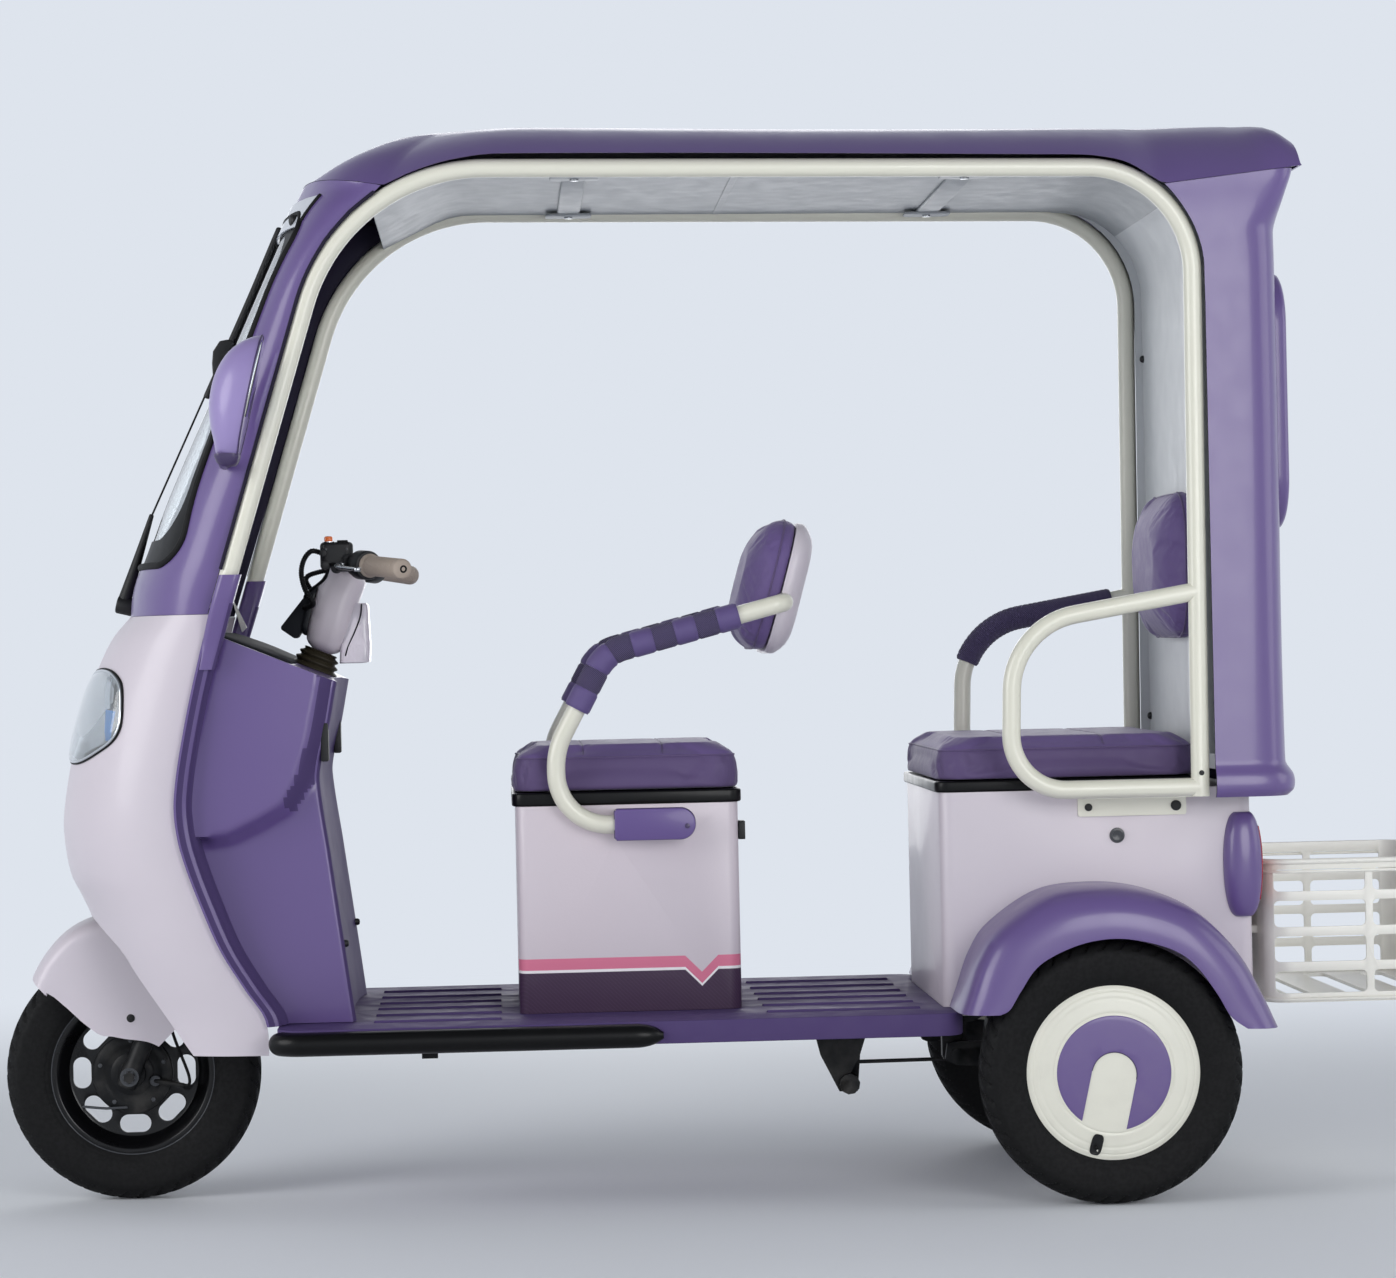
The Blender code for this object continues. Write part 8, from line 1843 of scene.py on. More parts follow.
def boxes():
    """Rear box with its seams and edge bands, the striped seat box, pans and the battery."""
    dress(refined("rear_box", 0.003, 3), "pale_plastic", BODY, "rear_box")
    dress(refined("driver_seat_box", 0.0025, 3), "striped_shell", BODY, "driver_seat_box")
    dress(refined("battery_pack", 0.002, 3), "battery_case", BODY, "battery_pack")
    dress(refined("driver_seat_pan", 0.0035, 3), "gloss_black", "driver_lid", "driver_seat_pan")
    dress(refined("rear_seat_pan", 0.0035, 3), "gloss_black", "rear_lid", "rear_seat_pan")
    for name, side in SIDES:
        boss = ARM_TUBE_Y + ARM_TUBE_RADIUS + 0.006
        half, front, rear, level = 0.024, -0.190, -0.062, ARM_BASE[1]
        outline = [(front + 0.004, level + half), (front, level + half - 0.004),
                   (front, level - half + 0.004), (front + 0.004, level - half)]
        outline += [(rear - half + half * math.cos(turn), level + half * math.sin(turn))
                    for turn in between(-math.pi / 2, math.pi / 2, 21)]
        rings = []
        for out, grow in ((-0.010, 0.0014), (0.0010, 0.0016), (0.0026, 0.0008), (0.0034, -0.0010)):
            ring = []
            for x, z in outline:
                away = Vector((x - (front + rear) / 2, z - level))
                ring.append(Vector((x + away.x / 0.064 * grow, side * (boss + out),
                                    z + away.y / half * grow)))
            rings.append(ring)
        dress(loft("arm_cover_" + name, rings), "arm_cover_plastic", BODY)
        edge = [Vector((x + (0.0014 if x > (front + rear) / 2 else -0.0014), side * (boss - 0.0098),
                        z + (0.0012 if z > level else -0.0012))) for x, z in outline]
        bead("arm_cover_edge_" + name, edge + edge[:1], 0.0012, 8, "dark_purple", BODY)
        dress(disc("arm_cover_screw_" + name, (rear - 0.012, side * (boss + 0.0036), 0.610), 0.0040, 0.0010,
                   (0, 1, 0), 24, 0.0005), "dark_purple", BODY)
    latch = soften(block("seat_latch", (0.0125, -0.185, 0.583), (0.0235, -0.150, 0.613), 0.003, "X", 4),
                   0.001)
    dress(latch, "black_plastic", BODY)


GUARD_OUTER = [(-0.241, 0.0975), (-0.229, 0.130), (-0.209, 0.185), (-0.176, 0.232), (-0.097, 0.283),
               (-0.010, 0.294), (0.062, 0.286), (0.127, 0.262), (0.176, 0.223), (0.217, 0.174),
               (0.250, 0.112), (0.271, 0.064)]
GUARD_INNER = [(-0.181, 0.0975), (-0.165, 0.106), (-0.146, 0.136), (-0.116, 0.175), (-0.060, 0.203),
               (-0.003, 0.2135), (0.050, 0.208), (0.101, 0.191), (0.134, 0.165), (0.165, 0.122),
               (0.186, 0.086), (0.212, 0.066)]


def rear_fenders():
    """Mudguards: a rounded barrel from the box's side out over the tyre, with a lip outside it."""
    outer_line = [(point.x, point.z) for point in spline([(x, 0, z) for x, z in GUARD_OUTER], 8)]
    inner_line = [(point.x, point.z) for point in spline([(x, 0, z) for x, z in GUARD_INNER], 8)]
    shares = [(0.0, 0.0), (0.15, 0.0), (0.30, 0.0), (0.45, 0.0), (0.56, 0.006), (0.65, 0.018),
              (0.72, 0.035), (0.78, 0.060), (0.835, 0.105), (0.88, 0.16), (0.915, 0.225), (0.945, 0.315),
              (0.97, 0.42), (0.985, 0.52), (0.994, 0.63), (1.0, 0.74), (1.0, 0.86), (1.0, 0.95),
              (0.998, 1.0)]
    for name, side in SIDES:
        inner_y, width = BOX_HALF_WIDTH + GAP, 0.178
        outside, inside = [], []
        for (outer_x, outer_z), (lip_x, lip_z) in zip(outer_line, inner_line):
            top, lip = Vector((outer_x, 0, outer_z)), Vector((lip_x, 0, lip_z))
            down, reach = (lip - top).normalized(), (lip - top).length
            for rows, wall in ((outside, 0.0), (inside, 0.0035)):
                row = []
                for share_y, share_down in shares:
                    place = top + down * (wall + (reach - wall) * share_down)
                    row.append(REAR_AXLE + Vector((place.x, side * (inner_y + (width - wall) * share_y),
                                                   place.z)))
                rows.append(row)
        dress(sheet("mudguard_" + name, outside, inside, round_edges=45.0), "purple_plastic", BODY,
              "rear_fender_" + name)


def tail_lamps():
    """Purple housings round the box's rear corners with a red lens facing back."""
    for name, side in SIDES:
        centre = Vector((0.8280, side * (BOX_HALF_WIDTH - 0.006), 0.527))
        body = block("body", (BOX_FRONT_X, -BOX_HALF_WIDTH - GAP, BOX_BOTTOM - 0.1),
                     (BOX_REAR_X + GAP, BOX_HALF_WIDTH + GAP, BOX_TOP + 0.1), 0.022, "Z", 8)

        def egg(grow, low, high, around=None):
            rings = []
            for turn in between(low, high, 31):
                size = math.cos(turn) ** 0.55
                ring = []
                for round_it in around or [2 * math.pi * step / 56 for step in range(56)]:
                    ring.append(centre + Vector(((0.032 + grow) * size * power(math.cos(round_it), 0.8),
                                                 side * (0.034 + grow) * size
                                                 * power(math.sin(round_it), 0.8),
                                                 (0.087 + grow) * math.sin(turn))))
                rings.append(ring)
            return rings

        limit = math.pi / 2 - 0.22
        housing = cut(loft("tail_lamp_housing_" + name, egg(0.0, -limit, limit)), [body])
        dress(housing, "purple_plastic", BODY, "tail_lamp_" + name)
        around = between(-0.75, 0.42, 15)
        outer = egg(0.0014, -0.72, 0.78, around)
        inner = egg(-0.0008, -0.72, 0.78, around)
        dress(soften(sheet("tail_lens_" + name, outer, inner), 0.0006), "lamp_red", BODY)


def basket():
    """Slatted basket with rounded bars and corners, a double rim and two brackets."""
    front, rear, half = 0.868, LENGTH / 2, 0.250
    low, high, corner, wall = 0.298, 0.532, 0.040, 0.006

    def shell(name, inset, bottom, top):
        return block(name, (front + inset, -half + inset, bottom), (rear - inset, half - inset, top),
                     corner - inset, "Z", 12)

    made = cut(shell("basket_slatted", 0.0, low, high), [shell("hollow", wall, low + wall, high + 0.02)])
    middle, post = (front + rear) / 2, 0.012
    slots = []
    for bottom, top in ((0.313, 0.349), (0.364, 0.406), (0.421, 0.464), (0.479, 0.515)):
        for start, end in ((front + 0.014, middle - post / 2), (middle + post / 2, rear - corner)):
            slots.append(block("slot", (start, -half - 0.02, bottom), (end, half + 0.02, top), 0.008, "Y", 5))
        third = (2 * half - 2 * corner - 2 * post) / 3
        for index in range(3):
            start = -half + corner + index * (third + post)
            slots.append(block("slot", (rear - 0.02, start, bottom), (rear + 0.02, start + third, top),
                               0.008, "X", 5))
    for index in range(3):
        x = front + 0.050 + index * (rear - front - 0.14) / 2
        slots.append(block("slot", (x, -half + corner, low - 0.02), (x + 0.040, half - corner, low + 0.02),
                           0.010, "Z", 5))
    cut(made, slots)
    brackets = [block("bracket", (BOX_REAR_X + GAP, side * 0.150 - 0.015, 0.407),
                      (front + 0.003, side * 0.150 + 0.015, 0.419)) for _, side in SIDES]
    combine(made, brackets)
    dress(soften(made, 0.0014, 2), "cream_plastic", BODY, "rear_basket")
    for index, (height, grow, radius) in enumerate(((high - 0.004, 0.0016, 0.0046),
                                                    (high - 0.0205, 0.0010, 0.0026),
                                                    (low + 0.005, 0.0010, 0.0030))):
        line = [Vector((x, y, height)) for x, y in rounded_outline((front - grow, -half - grow),
                                                                   (min(rear + grow, rear), half + grow),
                                                                   corner, 12)]
        bead("basket_rim_%d" % index, line + line[:1], radius, 12, "cream_plastic", BODY)
    ribs = [(row, side) for row in ((0.3, 0.3, 0.7, 0.7), (0.05, 0.75, 1.0, 0.15), (0.75, 0.05, 0.15, 1.0))
            for _, side in SIDES]
    for index, ((from_rear, from_side, out_x, out_y), side) in enumerate(ribs):
        x, y = rear - corner * from_rear - out_x * 0.002, side * (half
                                                                  - corner
                                                                  * from_side) - side * out_y * 0.002
        line = [Vector((x, y, height)) for height in between(low + 0.006, high - 0.006, 6)]
        dress(tube("basket_rib_%d" % index, line, 0.0032, 12, rounded=True), "cream_plastic", BODY)


# Seats
ARM_BASE, ARM_HEEL, ARM_KNEE, ARM_ELBOW, ARM_TIP = (-0.150, 0.614), (-0.284, 0.614), (-0.284,
        0.737), (-0.200, 0.893), (0.094, 0.969)
ARM_BENDS = [0.085, 0.12, 0.070]
BANDS, BAND_STEPS = 9, 30
BACK_LEAN, BACK_FOOT = math.radians(15.5), Vector((0.066, 0.0, 0.888))
BACK_HALF_WIDTH, BACK_HEIGHT, BACK_CORNER = 0.170, 0.222, 0.075
BACK_PAD_THICK, BACK_SHELL_THICK = 0.062, 0.036
CUSHION_CORNER, SWELL_PRESSURE, SWELL_FRAMES = 0.045, 4.0, 20


def swell(obj, cap, held, voxel=0.005):
    """Inflate a pad as cloth with pressure, cap the movement and subdivide; held picks the fixed points."""
    remesh = obj.modifiers.new("remesh", "REMESH")
    remesh.mode, remesh.voxel_size = "VOXEL", voxel * 1.0
    bake(obj, 60.0)
    rest = [point.co.copy() for point in obj.data.vertices]
    cloth = obj.modifiers.new("cloth", "CLOTH")
    cloth.settings.use_pressure, cloth.settings.uniform_pressure_force = True, SWELL_PRESSURE
    cloth.settings.effector_weights.gravity = 0.0
    group = obj.vertex_groups.new(name="held")
    group.add([index for index, place in enumerate(rest) if held(place)], 1.0, "REPLACE")
    cloth.settings.vertex_group_mass = "held"
    cloth.point_cache.frame_start, cloth.point_cache.frame_end = 1, SWELL_FRAMES
    for frame_number in range(1, SWELL_FRAMES + 1):
        bpy.context.scene.frame_set(frame_number)
    bake(obj, 60.0)
    bpy.context.scene.frame_set(1)
    for point, place in zip(obj.data.vertices, rest):
        move = point.co - place
        if move.length > cap:
            point.co = place + move.normalized() * cap
    finer = obj.modifiers.new("finer", "SUBSURF")
    finer.levels = finer.render_levels = 1
    return bake(obj, 70.0)


def cushion_body(name, low, high, crown):
    """Rounded plan, crowned top and sides drawn in at the base."""
    squeeze = 0.006
    middle = Vector(((low[0] + high[0]) / 2, (low[1] + high[1]) / 2, 0))
    height = high[2] - low[2] - crown
    rings = []
    levels = [(0.0, squeeze + 0.004), (0.02, squeeze), (0.10, squeeze * 0.8), (0.35, 0.001), (0.60, 0.0),
              (0.80, 0.002), (0.91, 0.006), (0.97, 0.011), (1.0, 0.017)]
    for up, inset in levels:
        outline = rounded_outline((low[0] + inset, low[1] + inset), (high[0] - inset, high[1] - inset),
                                  CUSHION_CORNER - inset * 0.5, 10)
        rings.append([Vector((x, y, low[2] + height * up)) for x, y in outline])
    base = rings[-1]
    for share in (0.93, 0.82, 0.66, 0.48, 0.28, 0.10):
        ring = []
        for point in base:
            place = middle + (Vector((point.x, point.y, 0)) - middle) * share
            side = max(abs((place.x - middle.x) / (high[0] - middle.x)),
                       abs((place.y - middle.y) / (high[1] - middle.y)))
            ring.append(Vector((place.x, place.y, low[2] + height + crown * (1 - side ** 2.5) ** 0.8)))
        rings.append(ring)
    return loft(name, rings, round_edges=60.0)


def shrink(obj, by, floor):
    """Draw a closed piece's surface in a little, keeping its flat base."""
    normals = [vertex.normal.copy() for vertex in obj.data.vertices]
    for vertex, normal in zip(obj.data.vertices, normals):
        vertex.co -= normal * by
        vertex.co.z = max(vertex.co.z, floor)


def hug(obj, points, inside, lift=0.0):
    """Move points onto an object's surface, looking from outside towards a line through its middle."""
    found = []
    for point in points:
        target = inside(point)
        away = (point - target).normalized()
        start = target + away * 0.6
        hit, place, _, _ = obj.ray_cast(start, -away, distance=1.0)
        found.append(place + away * lift if hit else point)
    return found


def piping(name, pad, line, inward, lift, body):
    """A piped seam that hugs a pad along a closed line."""
    line = hug(pad, line, inward, lift)
    bead(name, line[:-1] + line[:1], 0.0017, 10, "seat_side", body)


def seat_cushion(name, low, high, channels, body, seam_height):
    """Stuffed vinyl cushion with sewn channels across its top and a piped seam round its edge."""
    made = cushion_body(name + "_stuffed", low, high, 0.006)
    shrink(made, 0.0018, low[2] + 0.0002)
    swell(made, 0.010, lambda place: place.z < low[2] + 0.004)
    middle = Vector(((low[0] + high[0]) / 2, (low[1] + high[1]) / 2, 0))
    for point in made.data.vertices:
        share_y = abs(point.co.y - middle.y) / (high[1] - middle.y)
        top = smoothstep((point.co.z - (seam_height + 0.004)) / 0.012)
        for x in channels:
            near = math.exp(-((point.co.x - x) / 0.0045) ** 2)
            puff = math.exp(-((point.co.x - x) / 0.030) ** 2)
            point.co.z -= (0.0028 * near + 0.0006 * puff) * top * smoothstep((0.985 - share_y) / 0.05)
        point.co.z = min(max(point.co.z, low[2] + 0.0001), high[2] + 0.004)
        point.co.x = min(max(point.co.x, low[0] - 0.002), high[0] + 0.002)
        point.co.y = min(max(point.co.y, low[1] - 0.002), high[1] + 0.002)
    made.data.update()
    dress(smooth(made, 80.0), "seat_cover", body, name)
    repaint_faces(made, "seat_side", lambda face: face.center.z < seam_height)

    def inward(point):
        x = min(max(point.x, low[0] + 0.05), high[0] - 0.05)
        y = min(max(point.y, low[1] + 0.05), high[1] - 0.05)
        return Vector((x, y, point.z))

    outline = rounded_outline((low[0], low[1]), (high[0], high[1]), CUSHION_CORNER, 12)
    dense = resample([Vector((x, y, seam_height)) for x, y in outline + outline[:1]], 240)
    piping(name + "_piping", made, dense, inward, 0.0004, body)
    for index, x in enumerate(channels):
        across = [Vector((x, y, high[2])) for y in between(low[1] + 0.022, high[1] - 0.022, 60)]
        stitch = hug(made, across, lambda point: Vector((point.x, point.y, low[2] + 0.01)), 0.0001)
        dress(tube("%s_channel_%d" % (name, index), stitch, 0.0010, 8, rounded=True), "seat_side", body)


def seats():
    """Both stuffed cushions on their pans."""
    low, high = (BOX_FRONT_X - 0.008, -BOX_HALF_WIDTH - 0.004, BOX_TOP + 0.0186), (0.765,
            BOX_HALF_WIDTH + 0.004, BOX_TOP + 0.0846)
    seat_cushion("rear_seat_cushion", low, high, (low[0] + 0.14, low[0] + 0.28), "rear_lid", high[2] - 0.017)
    low, high = (SEAT_FRONT_X - 0.008, -SEAT_HALF_WIDTH - 0.001, SEAT_TOP + 0.0221), (SEAT_REAR_X + 0.008,
            SEAT_HALF_WIDTH + 0.001, SEAT_TOP + 0.0941)
    seat_cushion("driver_seat_cushion", low, high, (low[0] + 0.12, low[0] + 0.25), "driver_lid",
                 high[2] - 0.017)


def back_frame(local):
    """World point from the backrest's own axes: rearward, across, up its lean."""
    rear = Vector((math.cos(BACK_LEAN), 0, -math.sin(BACK_LEAN)))
    up = Vector((math.sin(BACK_LEAN), 0, math.cos(BACK_LEAN)))
    return BACK_FOOT + rear * local[0] + Vector((0, local[1], 0)) + up * local[2]


def back_shape(name, layers):
    """A rounded pad or shell from layers of (depth, inset)."""
    rings = []
    for depth, inset in layers:
        outline = rounded_outline((-BACK_HALF_WIDTH + inset, inset),
                                  (BACK_HALF_WIDTH - inset, BACK_HEIGHT - inset),
                                  max(BACK_CORNER - inset, 0.02), 12)
        rings.append([back_frame((depth, y, z)) for y, z in outline])
    return loft(name, rings, round_edges=60.0)


def arm_bore():
    """The hole that the arm tube takes through the backrest."""
    return disc("bore", (ARM_TIP[0], 0, ARM_TIP[1]), ARM_TUBE_RADIUS + 0.0006, BACK_HALF_WIDTH + 0.1,
                steps=40)


def backrests():
    """Driver's backrest on its shell, and the crowned pad on the rear wall."""
    thick = BACK_PAD_THICK
    pad = back_shape("driver_backrest_stuffed", [(-thick + 0.003, 0.062), (-thick + 0.0045, 0.048),
                                                 (-thick + 0.008, 0.034), (-thick * 0.80, 0.0165),
                                                 (-thick * 0.65, 0.0075), (-thick * 0.5, 0.0035),
                                                 (-0.020, 0.0020), (-0.008, 0.0025), (-0.0012, 0.006)])
    rear = (back_frame((1, 0, 0)) - back_frame((0, 0, 0))).normalized()
    swell(pad, 0.007, lambda place: (place - BACK_FOOT).dot(rear) > -0.012, 0.0045)
    cut(pad, [arm_bore()])
    dress(smooth(pad, 70.0), "seat_cover", BODY, "driver_backrest_pad")
    outline = rounded_outline((-BACK_HALF_WIDTH, 0.0), (BACK_HALF_WIDTH, BACK_HEIGHT), BACK_CORNER, 16)
    dense = resample([back_frame((-0.020, y, z)) for y, z in outline + outline[:1]], 200)
    piping("driver_backrest_piping", pad, dense, lambda point: back_frame((-0.020, 0, BACK_HEIGHT / 2)),
           0.0003, BODY)
    depth = BACK_SHELL_THICK
    shell = back_shape("driver_backrest_tray", [(GAP, 0.0016), (0.002, 0.0004), (0.010, 0.0),
                                                (0.016, 0.0022), (depth * 0.7, 0.012),
                                                (depth * 0.86, 0.021), (depth * 0.96, 0.031),
                                                (depth, 0.043)])
    dress(smooth(cut(shell, [arm_bore()]), 50.0), "pale_plastic", BODY, "driver_backrest_shell")
    wall, low, high, half = LINER_WALL_X - 0.0023, 0.893, 1.143, 0.190
    rings = []
    for out, inset in ((0.0006, 0.009), (0.002, 0.006), (0.010, 0.0022), (0.019, 0.0030), (0.028, 0.0075),
                       (0.0365, 0.017), (0.0445, 0.032), (0.0505, 0.054), (0.0535, 0.078)):
        outline = rounded_outline((-half + inset, low + inset), (half - inset, high - inset),
                                  max(0.085 - inset, 0.02), 12)
        rings.append([Vector((wall - out, y, z)) for y, z in outline])
    pad = loft("rear_backrest_stuffed", rings, round_edges=60.0)
    swell(pad, 0.007, lambda place: place.x > wall - 0.006, 0.0045)
    for point in pad.data.vertices:
        point.co.x = min(point.co.x, wall)
    dress(smooth(pad, 70.0), "seat_cover", BODY, "rear_backrest_pad")
    outline = rounded_outline((-half, low), (half, high), 0.085, 16)
    dense = resample([Vector((wall - 0.018, y, z)) for y, z in outline + outline[:1]], 200)
    piping("rear_backrest_piping", pad, dense, lambda point: Vector((wall - 0.018, 0, (low + high) / 2)),
           0.0003, BODY)


def arm_frame():
    """Cream arm tube with foam sleeves banded in plain and netted vinyl."""
    corners = [ARM_BASE, ARM_HEEL, ARM_KNEE, ARM_ELBOW, ARM_TIP]
    left = [(x, -ARM_TUBE_Y, z) for x, z in corners]
    right = [(x, ARM_TUBE_Y, z) for x, z in reversed(corners)]
    path = bent_path(left + right, ARM_BENDS + [0.021, 0.021] + ARM_BENDS[::-1], 16)
    dress(tube("arm_tube", path, ARM_TUBE_RADIUS, 32), "cream_steel", BODY, "driver_arm_frame")
    for name, side in SIDES:
        knee, elbow, tip = (Vector((x, side * ARM_TUBE_Y, z)) for x, z in (ARM_KNEE, ARM_ELBOW, ARM_TIP))
        path = resample(bent_path([knee.lerp(elbow, 0.42), elbow, elbow.lerp(tip, 0.74)], ARM_BENDS[2], 18),
                        BANDS * BAND_STEPS + 1)
        for index in range(BANDS):
            part = path[index * BAND_STEPS:(index + 1) * BAND_STEPS + 1]

            def bulge(share, net=index % 2):
                edge = min(share, 1 - share) * BAND_STEPS
                return SLEEVE_RADIUS - 0.0016 * (1 - smoothstep(edge / 4.0)) - (0.0004 if net else 0.0)

            outside = tube_rings(part, bulge, 36)
            inside = tube_rings(part, ARM_TUBE_RADIUS + 0.0004, 36)
            band = loft("arm_band_%s_%d" % (name, index), outside + list(reversed(inside)),
                        closed_path=True, round_edges=55.0)
            dress(band, "arm_net" if index % 2 else "arm_sleeve", BODY,
                  *(["driver_armrest_sleeve_" + name] if index == 0 else []))


def loop_sleeve():
    """Dark foam sleeve on the far loop's arm."""
    loop = resample(bent_path([(x, HOOP_Y, z) for x, z in (LOOP_TOP, LOOP_FRONT, LOOP_LOW)], LOOP_BENDS[:1],
                              24), 400)
    path = resample([point for point in loop if point.x < 0.716 and point.z > 0.860], 240)
    outside = tube_rings(path, lambda share: 0.0208 - 0.0016 * (1 - smoothstep(min(share, 1 - share) / 0.02))
                         - 0.0007 * max(math.cos(share * 2 * math.pi * 34), 0.0) ** 3, 36)
    inside = tube_rings(path, HOOP_RADIUS + 0.0003, 36)
    made = loft("loop_arm_sleeve", outside + list(reversed(inside)), closed_path=True)
    dress(made, "arm_net", BODY)


# Under-frame
SPRING_X, SPRING_Y, SPRING_LOW, SPRING_HIGH, SPRING_TURNS = 0.665, 0.215, 0.2293, 0.3677, 6.5


def under_frame():
    """Rails, cross tubes, head tube, stand and the rear axle with its coil springs."""
    dress(refined("chassis_frame", 0.0012, 2), "black_steel", BODY, "chassis_frame")
    shaft_end = REAR_TRACK_HALF - 0.0205
    tube_end = shaft_end - 0.030
    profile = [(0, -shaft_end), (0.012, -shaft_end), (0.012, -tube_end), (0.024, -tube_end),
               (0.026, -tube_end + 0.002), (0.026, -0.092), (0.032, -0.080), (0.054, -0.054),
               (0.058, -0.050), (0.061, -0.030), (0.061, -0.006), (0.066, -0.005)]
    profile += [(radius, -along) for radius, along in reversed(profile)]
    housing = lathe("axle_tube", profile, REAR_AXLE, steps=64)
    motor = disc("motor", REAR_AXLE + Vector((-0.085, 0.030, 0.004)), 0.048, 0.062, (1, 0, 0), 56, 0.006)
    pieces = [motor]
    for _, side in SIDES:
        outline = [(0.346, 0.242), (0.342, 0.216), (0.360, 0.206), (REAR_AXLE.x, 0.195), (0.687, 0.215),
                   (0.687, 0.229), (REAR_AXLE.x, 0.229), (0.370, 0.246)]
        inner, outer = sorted((side * 0.190, side * 0.204))
        pieces += [side_prism("arm", outline, inner, outer),
                   disc("seat", (SPRING_X, side * SPRING_Y, 0.223), 0.024, 0.006, (0, 0, 1), 40, 0.001),
                   disc("pin", (0.360, side * 0.1835, 0.226), 0.008, 0.0255, (0, 1, 0), 28)]
    dress(soften(combine(housing, pieces), 0.0010), "black_steel", "rear_suspension", "rear_axle_housing")
    for index in range(5):
        fin = lathe("motor_fin_%d" % index, [(0.047, -0.0013), (0.0500, -0.0010), (0.0500, 0.0010),
                                             (0.047, 0.0013)], REAR_AXLE + Vector((-0.125 + index * 0.012,
                0.030, 0.004)), (1, 0, 0), 56)
        dress(fin, "black_steel", "rear_suspension")
    for name, side in SIDES:
        low, high, coil = SPRING_LOW, SPRING_HIGH, []
        for share in between(0.0, 1.0, 210):
            rise = low + 0.0048 + (high - low - 0.0096) * share
            turn = 2 * math.pi * SPRING_TURNS * share
            coil.append(Vector((SPRING_X + 0.0178 * math.cos(turn),
                                side * SPRING_Y + 0.0178 * math.sin(turn), rise)))
        spring = tube("shock_spring_" + name, coil, 0.0029, 12, rounded=True)
        spring.data.materials.append(MATERIAL["steel"])
        damper = lathe("shock_damper_" + name, [(0, low + 0.0006), (0.021, low + 0.0006),
                                                (0.021, low + 0.0026), (0.0105, low + 0.004),
                                                (0.0105, low + 0.075), (0.0065, low + 0.078),
                                                (0.0065, high - 0.004), (0.021, high - 0.0026),
                                                (0.021, high - 0.0006), (0, high - 0.0006)],
                       (SPRING_X, side * SPRING_Y, 0), (0, 0, 1), 36)
        damper.data.materials.append(MATERIAL["black_steel"])
        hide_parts("rear_shock_" + name)
        for piece in (spring, damper):
            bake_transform(piece)


# Floor, camera and light
BACK_COLOUR, FLOOR_COLOUR, SKY_COLOUR = linear(222, 228, 237), linear(242, 245, 250), linear(232, 238, 246)
FADE_START, FADE_END = 1.7, 4.2
CAMERA_PLACE, CAMERA_YAW, CAMERA_ROLL = Vector((-0.37, -6.56, 0.912)), math.radians(2.9), math.radians(1.25)
FOCAL_PIXELS, PHOTO_WIDTH, SENSOR_WIDTH = 3905, 1396, 36.0
# Each lamp's name, place, target, size and power.
LAMPS = (("key", (-4.0, -2.2, 2.0), (-0.2, 0, 0.9), 2.8, 74),
         ("fill", (1.8, -5.2, 1.7), (0, 0, 0.8), 2.6, 80),
         ("right", (4.2, -1.2, 1.8), (0.2, 0, 0.9), 2.6, 26),
         ("back", (0.2, 4.0, 1.8), (0, 0, 0.9), 3.0, 40))


def studio_floor():
    """Pale floor that fades into the surround."""
    profile = [(0.0, 0.0), (1.2, 0.0), (2.5, 0.0), (4.5, 0.0), (9.0, 0.0), (9.0, -0.02), (0.0, -0.02)]
    floor = lathe("studio_floor", profile, (0, 0, 0), (0, 0, 1), 96)
    material = bpy.data.materials.new("studio_floor")
    material.use_nodes = True
    tree = material.node_tree
    shader = tree.nodes["Principled BSDF"]
    shader.inputs["Base Color"].default_value = FLOOR_COLOUR
    shader.inputs["Roughness"].default_value = 0.85
    glow = add_node(tree, "Emission", None, BACK_COLOUR)
    length = add_node(tree, "VectorMath", {"operation": "LENGTH"},
                      add_node(tree, "TexCoord").outputs["Object"])
    fade = add_node(tree, "MapRange", SMOOTH_RANGE, length.outputs["Value"], FADE_START, FADE_END, 0.0, 1.0)
    blend = add_node(tree, "MixShader", None, fade.outputs[0], shader.outputs[0], glow.outputs[0])
    tree.links.new(blend.outputs[0], tree.nodes["Material Output"].inputs["Surface"])
    floor.data.materials.append(material)


def photo_camera():
    """Camera where the photo was taken from."""
    data = bpy.data.cameras.new("photo_camera")
    data.sensor_fit, data.sensor_width = "HORIZONTAL", SENSOR_WIDTH
    data.lens = FOCAL_PIXELS / PHOTO_WIDTH * SENSOR_WIDTH
    data.clip_end = 60.0
    camera = bpy.data.objects.new("photo_camera", data)
    bpy.context.scene.collection.objects.link(camera)
    ahead = Vector((math.sin(CAMERA_YAW), math.cos(CAMERA_YAW), 0))
    right, up = Vector((math.cos(CAMERA_YAW), -math.sin(CAMERA_YAW), 0)), Vector((0, 0, 1))
    x_axis = right * math.cos(CAMERA_ROLL) - up * math.sin(CAMERA_ROLL)
    y_axis = up * math.cos(CAMERA_ROLL) + right * math.sin(CAMERA_ROLL)
    columns = Matrix((x_axis, y_axis, -ahead)).transposed().to_4x4()
    camera.matrix_world = Matrix.Translation(CAMERA_PLACE) @ columns
    bpy.context.scene.camera = camera


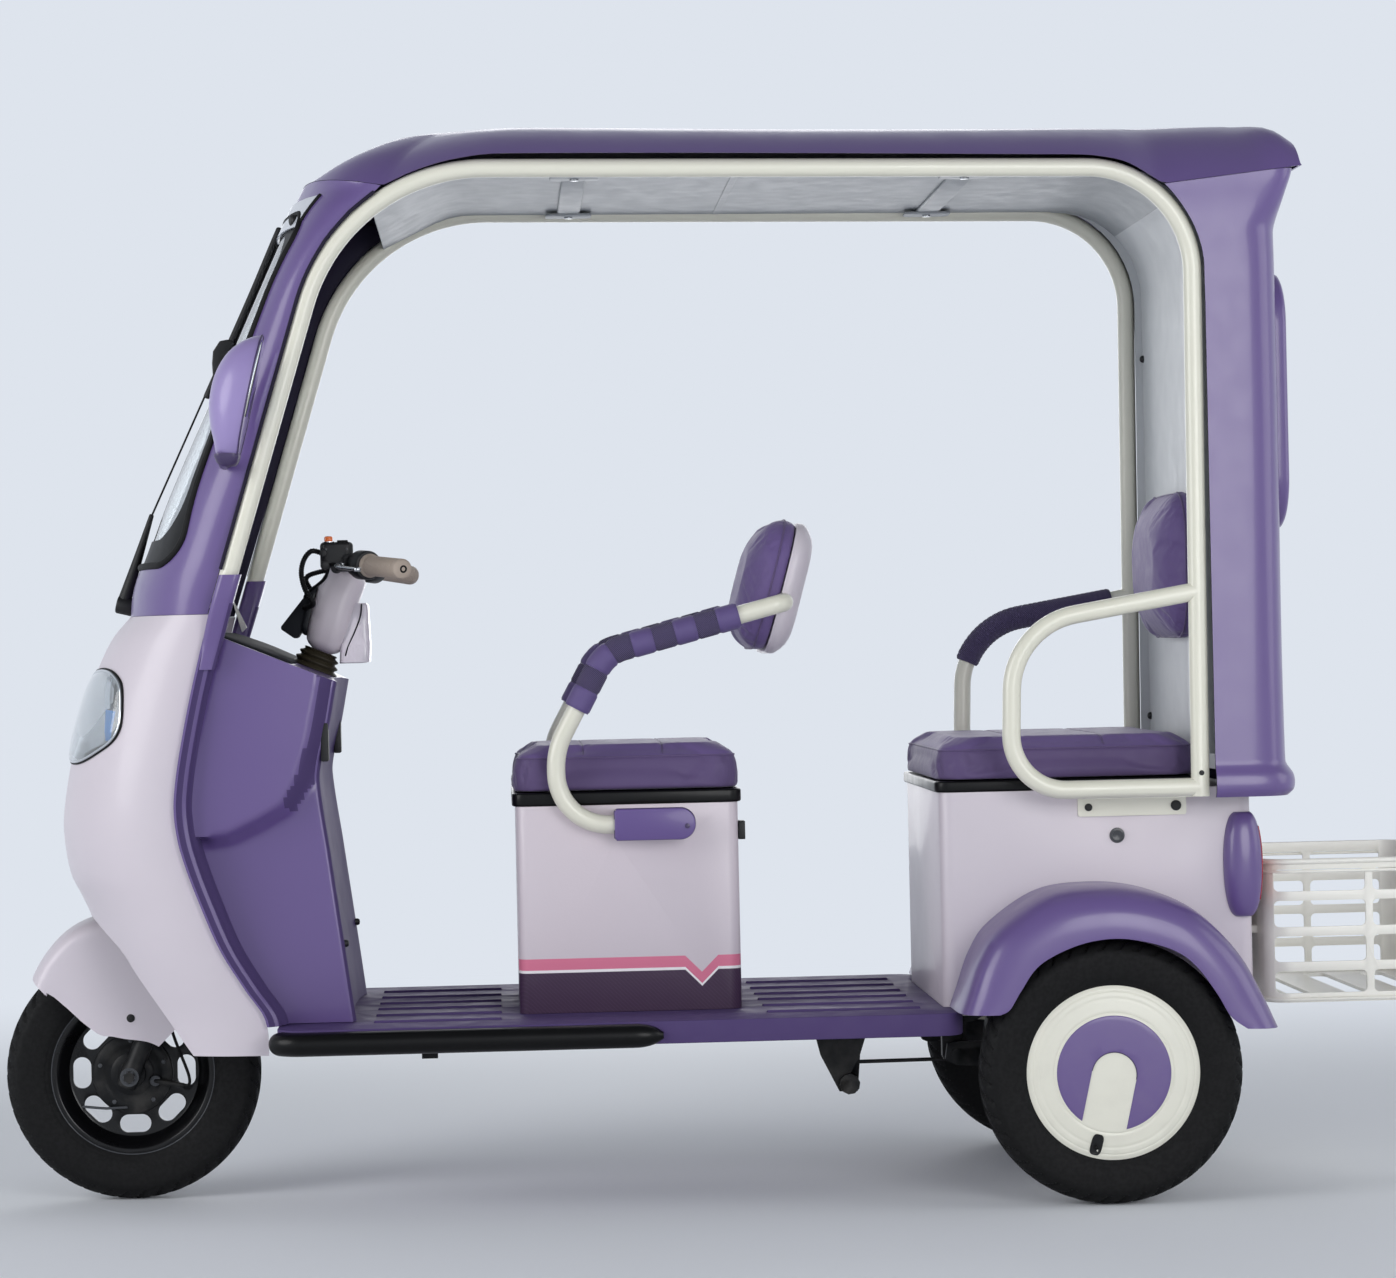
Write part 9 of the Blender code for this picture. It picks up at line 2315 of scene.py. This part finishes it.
def surround():
    """Pale surround, one for what the camera and reflections see and one for its light."""
    world = bpy.data.worlds.new("studio")
    bpy.context.scene.world = world
    world.use_nodes = True
    tree = world.node_tree
    upward = add_node(tree, "SeparateXYZ", None, add_node(tree, "TexCoord").outputs["Generated"]).outputs[2]
    seen, light = tree.nodes["Background"], add_node(tree, "Background")
    for ground, colour, low, high, most, least in ((seen, BACK_COLOUR, 0.30, 0.80, 1.0, 0.30),
                                                   (light, SKY_COLOUR, 0.25, 0.85, 0.62, 0.20)):
        ground.inputs["Color"].default_value = colour
        fall = add_node(tree, "MapRange", SMOOTH_RANGE, upward, low, high, most, least)
        tree.links.new(fall.outputs[0], ground.inputs["Strength"])
    path = add_node(tree, "LightPath")
    either = path.outputs["Is Camera Ray"]
    for other in ("Is Transmission Ray", "Is Glossy Ray"):
        either = add_node(tree, "Math", {"operation": "MAXIMUM"}, either, path.outputs[other]).outputs[0]
    mixer = add_node(tree, "MixShader", None, either, light.outputs[0], seen.outputs[0])
    tree.links.new(mixer.outputs[0], tree.nodes["World Output"].inputs["Surface"])


def show():
    """Floor, photo camera, studio lights and surround."""
    studio_floor()
    photo_camera()
    surround()
    for name, place, target, size, watts in LAMPS:
        lamp = bpy.data.lights.new(name, "AREA")
        lamp.shape, lamp.size, lamp.energy = "DISK", size, watts
        light_object = bpy.data.objects.new(name, lamp)
        light_object.location = place
        light_object.rotation_euler = (Vector(target) - Vector(place)).to_track_quat("-Z", "Y").to_euler()
        bpy.context.scene.collection.objects.link(light_object)
    bpy.context.scene.view_settings.view_transform = "Standard"


# Every part of the model in the order it is made, then the floor, the camera and the light.
MAKERS = (front_nose, headlamps, leg_shield, windscreen, roof, roof_liner, rear_panel, hoops,
          floor_and_bumpers, boxes, rear_fenders, tail_lamps, basket, front_wheel, front_axle,
          fork_sliders, front_fender, rear_wheels, handlebar, grips, brake_levers, stem_cover,
          steering_boot, control_cables, fork_crown, wiper, mirrors, seats, backrests, arm_frame,
          loop_sleeve, under_frame, show)


for make in MAKERS:
    make()
